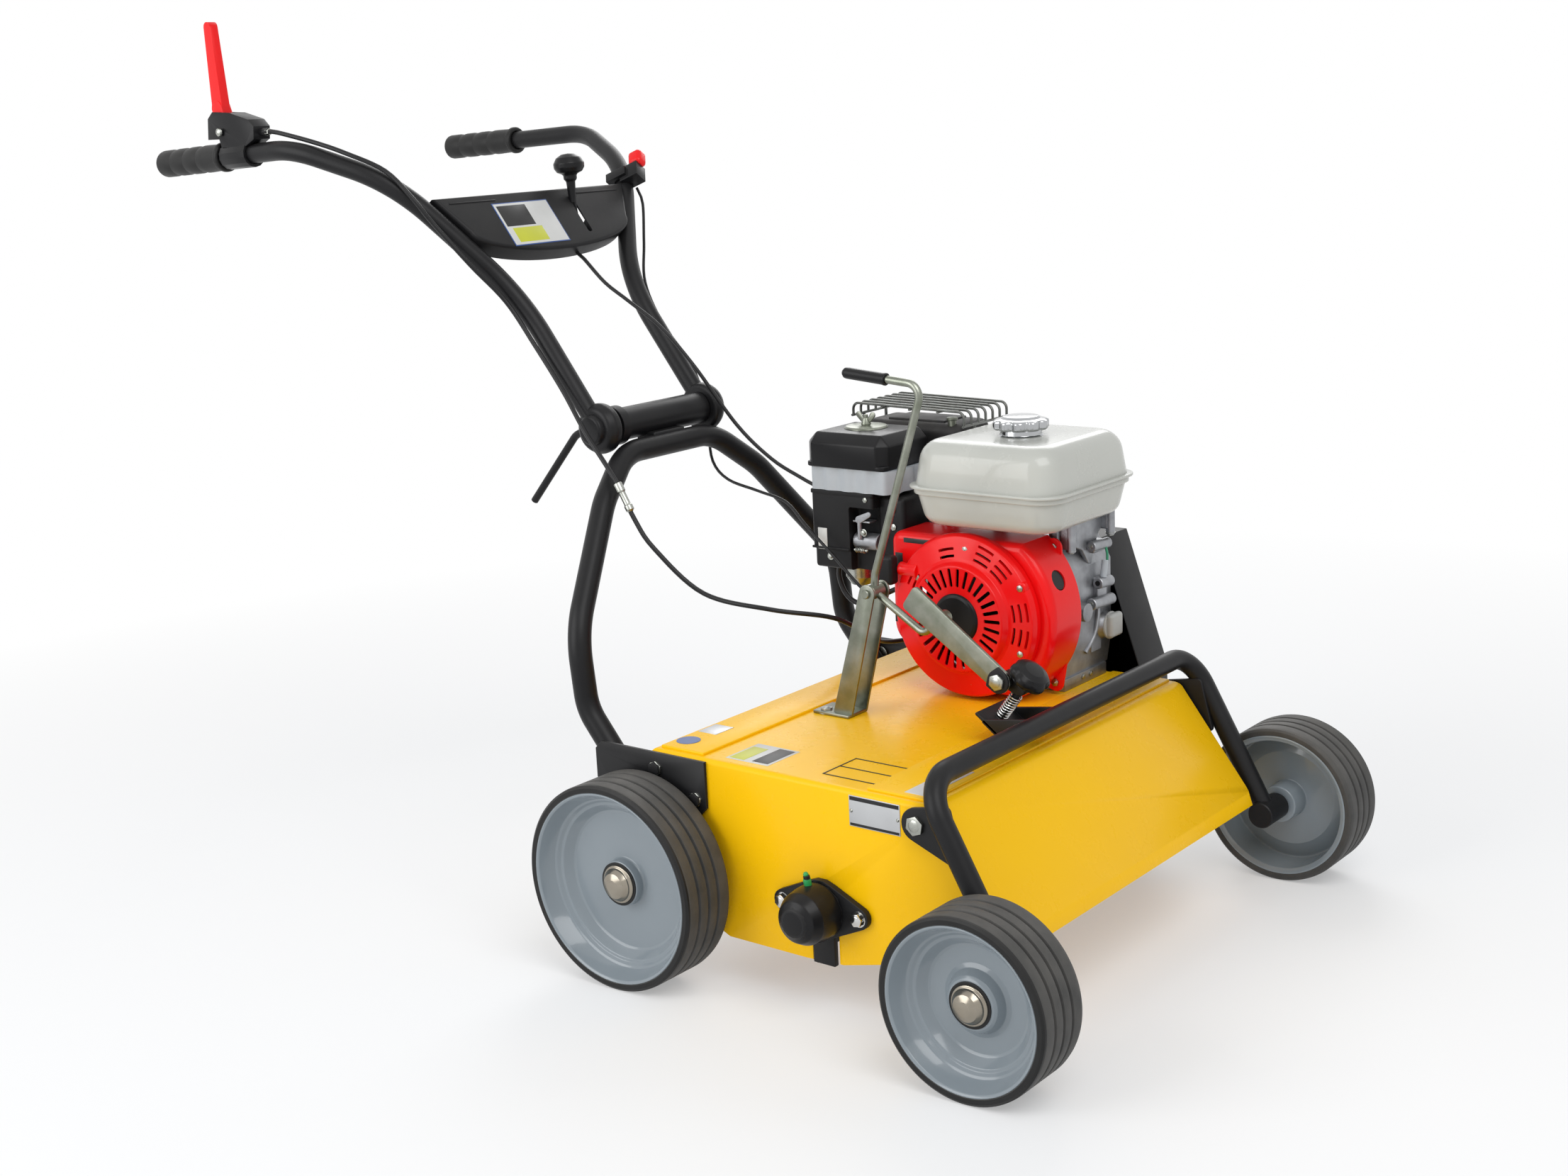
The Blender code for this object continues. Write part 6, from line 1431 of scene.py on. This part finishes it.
shelf = plate(hull(on_shelf(-0.0165, 0.0022, 0.002), on_shelf(0.016, 0.0022, 0.002)), 0.062,
              LEVER_Y, 0.0008)
cheek_outline = hull(on_shelf(-0.004, 0.003, 0.0025), on_shelf(0.016, 0.003, 0.0025),
                     (0.399, 0.174, 0.004), (0.396, 0.186, 0.004))
cheeks = [plate(cheek_outline, 0.004, LEVER_Y + s * 0.029, 0.0008) for s in (-1, 1)]
done(joined(shelf, *cheeks), "spindle_shelf", PRESSED_BLACK, "front_axle")
THREADS, PITCH, THREAD_FOOT, ROOT_R, CREST_R = 34, 0.002, 0.01, 0.004, 0.0046
ridges = [(0.0, 0.0), (CREST_R, 0.0)]
for i in range(THREADS):
    ridges += [(CREST_R, THREAD_FOOT + i * PITCH), (ROOT_R, 0.011 + i * PITCH)]
ridges += [(CREST_R, 0.0795), (ROOT_R, 0.0805), (0.0, 0.0805)]
spindle = turned(ridges, KNOB - DOWN * 0.0015, DOWN, 32)
seat = rod(KNOB + DOWN * 0.06, KNOB + DOWN * 0.07, 0.0095)
done(joined(spindle, seat), "depth_spindle", PRESSED_BLACK, "front_axle")
BLOCK_R, KNOB_FOOT, GAP = 0.009, 0.003, 0.0003
LINK_BOLT = (0.352, 0.226)
end = KNOB + DOWN * (KNOB_FOOT + GAP + BLOCK_R)
spindle_block = plate(hull((*LINK_BOLT, 0.0085), (end.x, end.z, BLOCK_R)), 0.018, LEVER_Y, 0.0014)
done(spindle_block, "spindle_block", PRESSED_BLACK, "front_axle")
done(across_at(LINK_BOLT, LEVER_Y, -0.0675, 0.004), "link_bolt_shank", BRIGHT, "front_axle")
bolts("link_bolt_head", [(LINK_BOLT[0], -0.0671, LINK_BOLT[1])], (0, -1, 0), 1.2, body="front_axle")

# %% [markdown]
# The spring is one unbroken coil. Its points follow a helix round the spindle, with 24 points
# to a turn, and the chain is given a round section. The flat knob above it has six lobes.

# %% Spring and knob
CURLS, CURL_POINTS, SPRING_R, SPRING_WIRE = 9, 24, 0.0067, 0.0011
first = KNOB + DOWN * (KNOB_FOOT + GAP + 2 * BLOCK_R + 0.0028 + SPRING_WIRE)
last = KNOB + DOWN * (0.06 - GAP - SPRING_WIRE)
across = DOWN.orthogonal().normalized()
side_way = DOWN.cross(across)
coil = []
for i in range(CURLS * CURL_POINTS + 1):
    a = math.tau * i / CURL_POINTS
    coil.append(first + (last - first) * (i / (CURLS * CURL_POINTS))
                + (across * math.cos(a) + side_way * math.sin(a)) * SPRING_R)
done(pipe(coil, SPRING_WIRE, 3), "depth_spring_wound", BRIGHT, "front_axle", "depth_spring")
knob = turned([(0.0, 0.017), (0.012, 0.0162), (0.0195, 0.0132), (0.0244, 0.0082),
               (0.025, 0.0035), (0.0225, -0.002), (0.0175, -0.0029), (0.0051, -0.0029),
               (0.0051, 0.006), (0.0, 0.006)], KNOB, -DOWN, 112, 0.004, 5)
lobed(knob, 6, 0.13, 0.0205, KNOB, -DOWN)
done(knob, "depth_knob_lobed", CASE_BLACK, "depth_knob", "depth_knob", angle=40)

# %% [markdown]
# The hand lever is a zinc plated rod, bent at the top, that turns in a folded bracket. The
# crank arm, its eye and the pin that slides in the link turn with it.

# %% Bracket
LEVER, PIN = (0.167, 0.307), (0.265, 0.286)
FLANGE_GAP, FLANGE_T, BASE_Z, BASE_T = 0.015, 0.003, 0.1493, 0.004
foot = block((0.084, -0.068, BASE_Z), (0.138, LEVER_Y + FLANGE_GAP + 0.0015, BASE_Z + BASE_T), 0.001)
flange_outline = hull((*LEVER, 0.011), (0.113, BASE_Z + 0.003, 0.0025), (0.136, BASE_Z + 0.003, 0.0025))
flanges = [plate(flange_outline, FLANGE_T, LEVER_Y + s * FLANGE_GAP, 0.0007) for s in (-1, 1)]
done(joined(foot, *flanges), "lever_bracket_folded", ZINC, "machine", "lever_bracket")
bolts("lever_bracket_bolt", [(0.0975, -0.058, BASE_Z + BASE_T)], (0, 0, 1), 0.9)
bolts("lever_bracket_screw", [(0.124, LEVER_Y + 0.002, BASE_Z + BASE_T)], (0, 0, 1), 0.5)

# %% Lever, crank arm and pin
ROD_R, PIVOT_R, PIN_R, EYE_R = 0.0048, 0.0055, 0.0045, 0.009
TIP, KNEE = (0.14, 0.567), (0.2455, 0.5575)


def lever_point(point):
    return (point[0], LEVER_Y, point[1])


lever_path = bent([lever_point(p) for p in (LEVER, (0.169, 0.328), KNEE, TIP)], [0.03, 0.016], 12)
arm_path = bent([lever_point(p) for p in (LEVER, (0.237, 0.264), PIN)], [0.01], 8)
reach, inside = FLANGE_GAP + 0.0055, FLANGE_GAP - 0.0035
boss = across_at(LEVER, LEVER_Y - inside, LEVER_Y + inside, EYE_R)
pin = across_at(LEVER, LEVER_Y - reach, LEVER_Y + reach, PIVOT_R)
arm = pipe(arm_path, ROD_R, 6)
eye = across_at(PIN, LEVER_Y + 0.0065, LEVER_Y - 0.0065, EYE_R)
crank_pin = across_at(PIN, LEVER_Y + 0.007, -0.0608, PIN_R)
done(joined(pipe(lever_path, ROD_R, 6), boss, pin, arm, eye, crank_pin), "lift_lever_bent", ZINC,
     "lift_lever", "lift_lever")
sleeve = turned([(0.0, 0.0075), (0.0038, 0.0066), (0.0064, 0.0035), (0.0068, 0.0),
                 (0.0069, -0.05), (0.0074, -0.053), (0.0074, -0.0555), (0.005, -0.056),
                 (0.005, 0.0), (0.0, 0.0)], lever_point(TIP),
                (TIP[0] - KNEE[0], 0, TIP[1] - KNEE[1]), 48, 0.0012)
done(sleeve, "lever_grip_moulded", CASE_BLACK, "lift_lever", "lever_grip")

# %% [markdown]
# The link is a flat bar with squared round corners at its upper end. The crank's pin slides in
# a groove in its back, which the solid model has as a slot, so its front is plain. The bar is
# an outline of three discs, filled and extruded, and a boolean sinks the groove and the hole.
# A dark end piece lies on its lower end, under the bolt.

# %% Link
LINK_Y, LINK_T = -0.06, 0.005
bolt_at, pin_at = Vector(LINK_BOLT), Vector(PIN)
way = (bolt_at - pin_at).normalized()
across_way = Vector((-way.y, way.x))
crown = pin_at - way * 0.0455
corners = [(crown + way * 0.006 + across_way * s * 0.0105) for s in (-1, 1)]
bar = plate(hull(*[(c.x, c.y, 0.006) for c in corners], (*LINK_BOLT, 0.0135)), LINK_T, LINK_Y, 0.0008)
groove_ends = [pin_at + way * 0.003, pin_at - way * 0.016]
groove = plate(hull(*[(e.x, e.y, PIN_R + 0.001) for e in groove_ends]), 0.006, LINK_Y + 0.002)
hole = across_at(LINK_BOLT, LINK_Y - 0.01, LINK_Y + 0.01, 0.0045)
cut_with(bar, groove, hole)
done(bar, "lift_link_grooved", ZINC, "lift_link", "lift_link")
shoulders = [bolt_at - way * 0.0085 + across_way * s * 0.0125 for s in (-1, 1)]
clevis = plate(hull(*[(c.x, c.y, 0.002) for c in shoulders], (*LINK_BOLT, 0.0142)), 0.004,
               LINK_Y - 0.0047, 0.001)
done(clevis, "link_end_clevis", PRESSED_BLACK, "lift_link")
print("lift gear pieces done")

# %% [markdown]
# ## Handlebar
# Each half of the handlebar is one bent tube that starts at a clamp disc on the cross tube and
# ends in a grip. The right and the left half are mirror images, so one set of points serves
# both. The grips have a flange ring and three waves for the fingers, and are spun.

# %% Tubes and clamp discs
BAR_PATH = [(-0.214, 0.103, 0.488), (-0.338, 0.103, 0.652), (-0.436, 0.212, 0.802),
            (-0.56, 0.268, 0.85), (-0.838, 0.26, 0.836)]
BAR_BENDS = [0.22, 0.2, 0.12]
BAR_R = 0.0125
GRIP_WAVES, WAVE_LENGTH = 3, 0.03
for side, hand in SIDES:
    path = [(x, side * y, z) for x, y, z in BAR_PATH]
    tube = pipe(bent(path, BAR_BENDS, 14), BAR_R, 8)
    disc = turned([(0.0, 0.0), (0.0315, 0.0), (0.0325, 0.012), (0.027, 0.0225), (0.0, 0.0235)],
                  (-0.214, side * 0.0905, 0.488), (0, side, 0), 72, 0.0085, 8)
    boss = turned([(0.0, 0.018), (0.016, 0.018), (0.019, 0.016), (0.0215, 0.0), (0.0, 0.0)],
                  (-0.214, side * 0.103, 0.488), (0, side, 0), 64, 0.003, 5)
    done(joined(tube, disc, boss), "handlebar_bent_" + hand, BLACK, "handlebar", "handlebar_" + hand)
    tip = Vector(path[-1])
    run = (Vector(path[-2]) - tip).normalized()
    tip -= run * 0.003
    section = [(0.0, 0.0), (0.0135, 0.0), (0.017, 0.002), (0.0178, 0.006), (0.0178, 0.018)]
    for i in range(GRIP_WAVES):
        start = 0.024 + WAVE_LENGTH * i
        section += [(0.0178, start), (0.0166, start + 0.008), (0.0178, start + 0.016),
                    (0.0178, start + 0.022)]
    section += [(0.0172, 0.128), (0.0172, 0.134), (0.0194, 0.1355), (0.0194, 0.1425),
                (0.0129, 0.143), (0.0129, 0.01), (0.0, 0.01)]
    done(turned(section, tip, run, 64, 0.004, 5), "grip_waved_" + hand, GRIP, "handlebar",
         "grip_" + hand)

# %% [markdown]
# ## Console
# The console is a thin black tray that bridges the two tubes. Its front edge is a shallow
# curve that turns down over the tubes. The outline is filled and extruded in the tray's own
# plane, the bottom is deleted, the rim is rounded and Solidify gives the wall. Then the slot
# for the throttle is cut, and the whole is laid on the slope of the tubes. Plain fields stand
# where its label is: a blue rim, a pale field, and a dark and a lime one on that.

# %% Console tray
SLOPE = Vector((0.61, 0.0, -0.79)).normalized()
FACE = Vector((0.79, 0.0, 0.61)).normalized()
CONSOLE_TOP, CONSOLE_DEPTH = 0.0155, 0.0255
THROTTLE_Y, THROTTLE_PIVOT = 0.06, (-0.386, 0.7146)


def console_point(y, down, lift=0.0):
    """A point of the console's face: y across, down its slope, lift off the tubes' plane."""
    return Vector((-0.419, y, 0.772)) + SLOPE * down + FACE * lift


ON_CONSOLE = (Matrix.Translation(console_point(0, 0))
              @ Matrix((Vector((0, -1, 0)), SLOPE, FACE)).transposed().to_4x4())
EDGE_POINTS, EDGE_REACH, EDGE_START, EDGE_BOW = 40, 0.146, 0.055, 0.039
front_edge = []
for i in range(EDGE_POINTS + 1):
    a = math.pi * i / EDGE_POINTS
    front_edge.append((EDGE_REACH * math.cos(a), EDGE_START + EDGE_BOW * math.sin(a)))
tray = slab([(0.176, 0.0)] + front_edge + [(-0.176, 0.0)], CONSOLE_TOP - CONSOLE_DEPTH, CONSOLE_TOP)
opened(tray, lambda f: f.normal.z < -0.9)
bevelled(tray, lambda e: min(v.co.z for v in e.verts) > CONSOLE_TOP - 0.0001, 0.0045, 5)
sheet(tray, 0.0025)
slot = block((-THROTTLE_Y - 0.004, 0.022, 0.006), (-THROTTLE_Y + 0.004, 0.074, 0.02), 0.003)
cut_with(tray, slot)
tray.matrix_world = ON_CONSOLE
ears = []
for y in (THROTTLE_Y - 0.008, THROTTLE_Y + 0.008):
    ends = [console_point(0, down, CONSOLE_TOP - 0.0015) for down in (0.052, 0.08)]
    ear_outline = hull((*THROTTLE_PIVOT, 0.008), *[(p.x, p.z, 0.001) for p in ends])
    ears.append(plate(ear_outline, 0.003, y, 0.0006))
done(joined(tray, *ears), "console_tray", GRAINED_BLACK, "handlebar", "console")


def on_console(x0, x1, down0, down1, lift0, lift1, ease):
    """A soft edged block laid on the console's face; x runs to the machine's right."""
    ob = block((x0, down0, lift0), (x1, down1, lift1), ease)
    ob.matrix_world = ON_CONSOLE @ ob.matrix_world
    return ob


for name, coat, x0, x1, down0, down1, low, high in (
        ("edge", LABEL_BLUE, -0.0135, 0.0865, 0.0165, 0.0845, -0.0002, 0.0004),
        ("field", LABEL_PALE, -0.012, 0.085, 0.018, 0.083, 0.0, 0.0006),
        ("dark", LABEL_DARK, 0.03, 0.0815, 0.0215, 0.054, 0.0004, 0.0008),
        ("lime", LABEL_LIME, 0.022, 0.075, 0.057, 0.0795, 0.0004, 0.0008)):
    label = on_console(x0, x1, down0, down1, CONSOLE_TOP + low, CONSOLE_TOP + high, 0.0002)
    done(label, "console_label_" + name, coat, "handlebar")
raised = [on_console(x0, x1, 0.01, 0.012, CONSOLE_TOP - 0.0004, CONSOLE_TOP + 0.0008, 0.0004)
          for x0, x1 in ((-0.155, -0.075), (0.075, 0.155))]
done(joined(*raised), "console_ribs", GRAINED_BLACK, "handlebar")

# %% [markdown]
# ## Throttle, clutch lever and stop switch
# The throttle is an oval knob on a flat stalk. The clutch lever is a thick red blade, held in
# a black clamp on the right tube, and the stop switch on the left tube has a red slider. Their
# solids have the right outlines, so eased copies are used, with pins and nuts added.

# %% Throttle
stalk = plate(hull((*THROTTLE_PIVOT, 0.006), (-0.3915, 0.77, 0.0035)), 0.003, THROTTLE_Y, 0.0008)
pivot = across_at(THROTTLE_PIVOT, THROTTLE_Y - 0.011, THROTTLE_Y + 0.011, 0.003)
knob = turned([(0.0, 0.014), (0.009, 0.013), (0.0165, 0.0085), (0.0208, 0.001),
               (0.0205, -0.005), (0.017, -0.0105), (0.011, -0.013), (0.009, -0.015),
               (0.009, -0.02), (0.0062, -0.023), (0.0046, -0.052), (0.0, -0.052)],
              (-0.395, THROTTLE_Y, 0.812), (-0.06, 0, 1), 72, 0.004, 6)
done(joined(stalk, pivot, knob), "throttle_lever_oval", CASE_BLACK, "throttle_lever",
     "throttle_lever", angle=40)

# %% Clutch lever and its clamp
done(dressed("lever_clamp", 0.0014, 3, 25), "lever_clamp_moulded", CASE_BLACK, "handlebar",
     "lever_clamp")
done(dressed("deadman_lever", 0.0034, 5, 25), "deadman_lever_red", RED_KEY, "deadman_lever",
     "deadman_lever", angle=40)
CLAMP_Y = -0.265
dome = turned([(0.0, 0.004), (0.0028, 0.0036), (0.005, 0.002), (0.0056, 0.0), (0.0, 0.0)],
              (-0.688, CLAMP_Y - 0.016, 0.8745), (0, -1, 0), 40)
nut = turned([(0.0, 0.006), (0.0044, 0.006), (0.005, 0.0), (0.0, 0.0)],
             (-0.6105, CLAMP_Y, 0.8725), (1, 0, 0), 6, 0.0006)
done(joined(dome, nut), "clamp_pins", BOLT, "handlebar")

# %% Stop switch and clamp handle
done(dressed("switch_body", 0.0014, 3, 25), "switch_body_moulded", CASE_BLACK, "handlebar",
     "switch_body")
done(dressed("switch_knob", 0.003, 4, 25), "switch_slider_red", RED_KEY, "switch_knob", "switch_knob")
collar = turned([(0.0252, 0.0068), (0.0252, -0.0068), (0.0213, -0.0068), (0.0213, 0.0068),
                 (0.0252, 0.0068)], (-0.214, -0.075, 0.488), (0, 1, 0), 64, 0.0008)
handle_path = [(-0.237, -0.075, 0.484), (-0.281, -0.075, 0.4735), (-0.368, -0.075, 0.378)]
handle = pipe(bent(handle_path, [0.03], 12), 0.005, 6)
done(joined(collar, handle), "clamp_handle_bent", BLACK, "clamp_rod", "clamp_rod")

# %% [markdown]
# ## Cables
# Three cables run from the controls to the machine: the clutch cable from the red lever to the
# belt tensioner, the throttle cable to the carburettor and the stop wire to the engine. All
# three are held at both ends and run along the tubes, so each follows its own route, given
# as points, with a smooth curve through them. Each is laid in the world as it stands and rides
# on no body; the two points given with it, where it hangs free, are not used.

# %% Routes
CLUTCH_CABLE = [(-0.6055, -0.2652, 0.8725), (-0.588, -0.2656, 0.871), (-0.53, -0.256, 0.857),
                (-0.486, -0.2435, 0.842), (-0.441, -0.22, 0.818), (-0.408, -0.208, 0.783),
                (-0.392, -0.193, 0.752), (-0.361, -0.163, 0.697), (-0.335, -0.131, 0.648),
                (-0.297, -0.123, 0.593), (-0.25, -0.126, 0.538), (-0.205, -0.136, 0.488),
                (-0.15, -0.145, 0.433), (-0.123, -0.145, 0.388), (-0.095, -0.142, 0.352),
                (-0.036, -0.122, 0.298), (0.05, -0.1, 0.283), (0.1, -0.04, 0.265),
                (0.098, 0.03, 0.228), (0.08, 0.1, 0.2), (0.092, 0.19, 0.19),
                (0.116, 0.255, 0.187), (0.118, 0.2855, 0.185)]
THROTTLE_CABLE = [(-0.386, 0.0485, 0.7146), (-0.386, 0.044, 0.712), (-0.372, 0.036, 0.7),
                  (-0.3531, 0.034, 0.6884), (-0.319, 0.036, 0.6571), (-0.2842, 0.042, 0.633),
                  (-0.24, 0.053, 0.599), (-0.1965, 0.066, 0.5475), (-0.1467, 0.088, 0.469),
                  (-0.1027, 0.102, 0.425), (-0.062, 0.11, 0.402), (-0.033, 0.112, 0.39)]
STOP_WIRE = [(-0.408, 0.206, 0.772), (-0.394, 0.201, 0.75), (-0.365, 0.167, 0.699),
             (-0.334, 0.131, 0.648), (-0.297, 0.122, 0.593), (-0.252, 0.124, 0.54),
             (-0.24, 0.132, 0.49), (-0.229, 0.125, 0.452), (-0.205, 0.103, 0.414),
             (-0.175, 0.098, 0.392), (-0.124, 0.098, 0.3805),
             (-0.075, 0.095, 0.37), (-0.04, 0.088, 0.345), (0.000, 0.084, 0.315),
             (0.056, 0.09, 0.262), (0.084, 0.1, 0.246), (0.0976, 0.1, 0.246)]
CABLE_STEP = 0.01


def length_of(path):
    return sum((b - a).length for a, b in zip(path, path[1:]))


for name, route, radius, bend_from, bend_to in (
        ("clutch_cable", CLUTCH_CABLE, 0.003, (-0.275, -0.126, 0.565), (-0.155, -0.145, 0.438)),
        ("throttle_cable", THROTTLE_CABLE, 0.0025, (-0.285, 0.042, 0.633), (-0.103, 0.102, 0.425)),
        ("stop_wire", STOP_WIRE, 0.002, (-0.275, 0.123, 0.565), (-0.205, 0.103, 0.414))):
    path = flowing(route, CABLE_STEP)
    done(pipe(path, radius, 4), name + "_sheath", CABLE, ("handlebar", "machine", bend_from, bend_to),
         name, angle=60)
    print(name, "mm long:", round(length_of(path) * 1000))

# %% Cable adjuster
adjuster = turned([(0.0031, 0.0), (0.0055, 0.001), (0.0055, 0.012), (0.0042, 0.014),
                   (0.0042, 0.03), (0.0054, 0.032), (0.0054, 0.038), (0.0031, 0.04)],
                  (-0.148, -0.145, 0.431), (0.51, 0, -0.86), 32, 0.0008, 3)
done(adjuster, "cable_adjuster", BOLT, "machine")

# %% [markdown]
# ## Clearing up
# The master bolt head, from which every bolt was copied, is deleted.

# %% Finish
pick(BOLT_MASTER)
bpy.ops.object.delete()
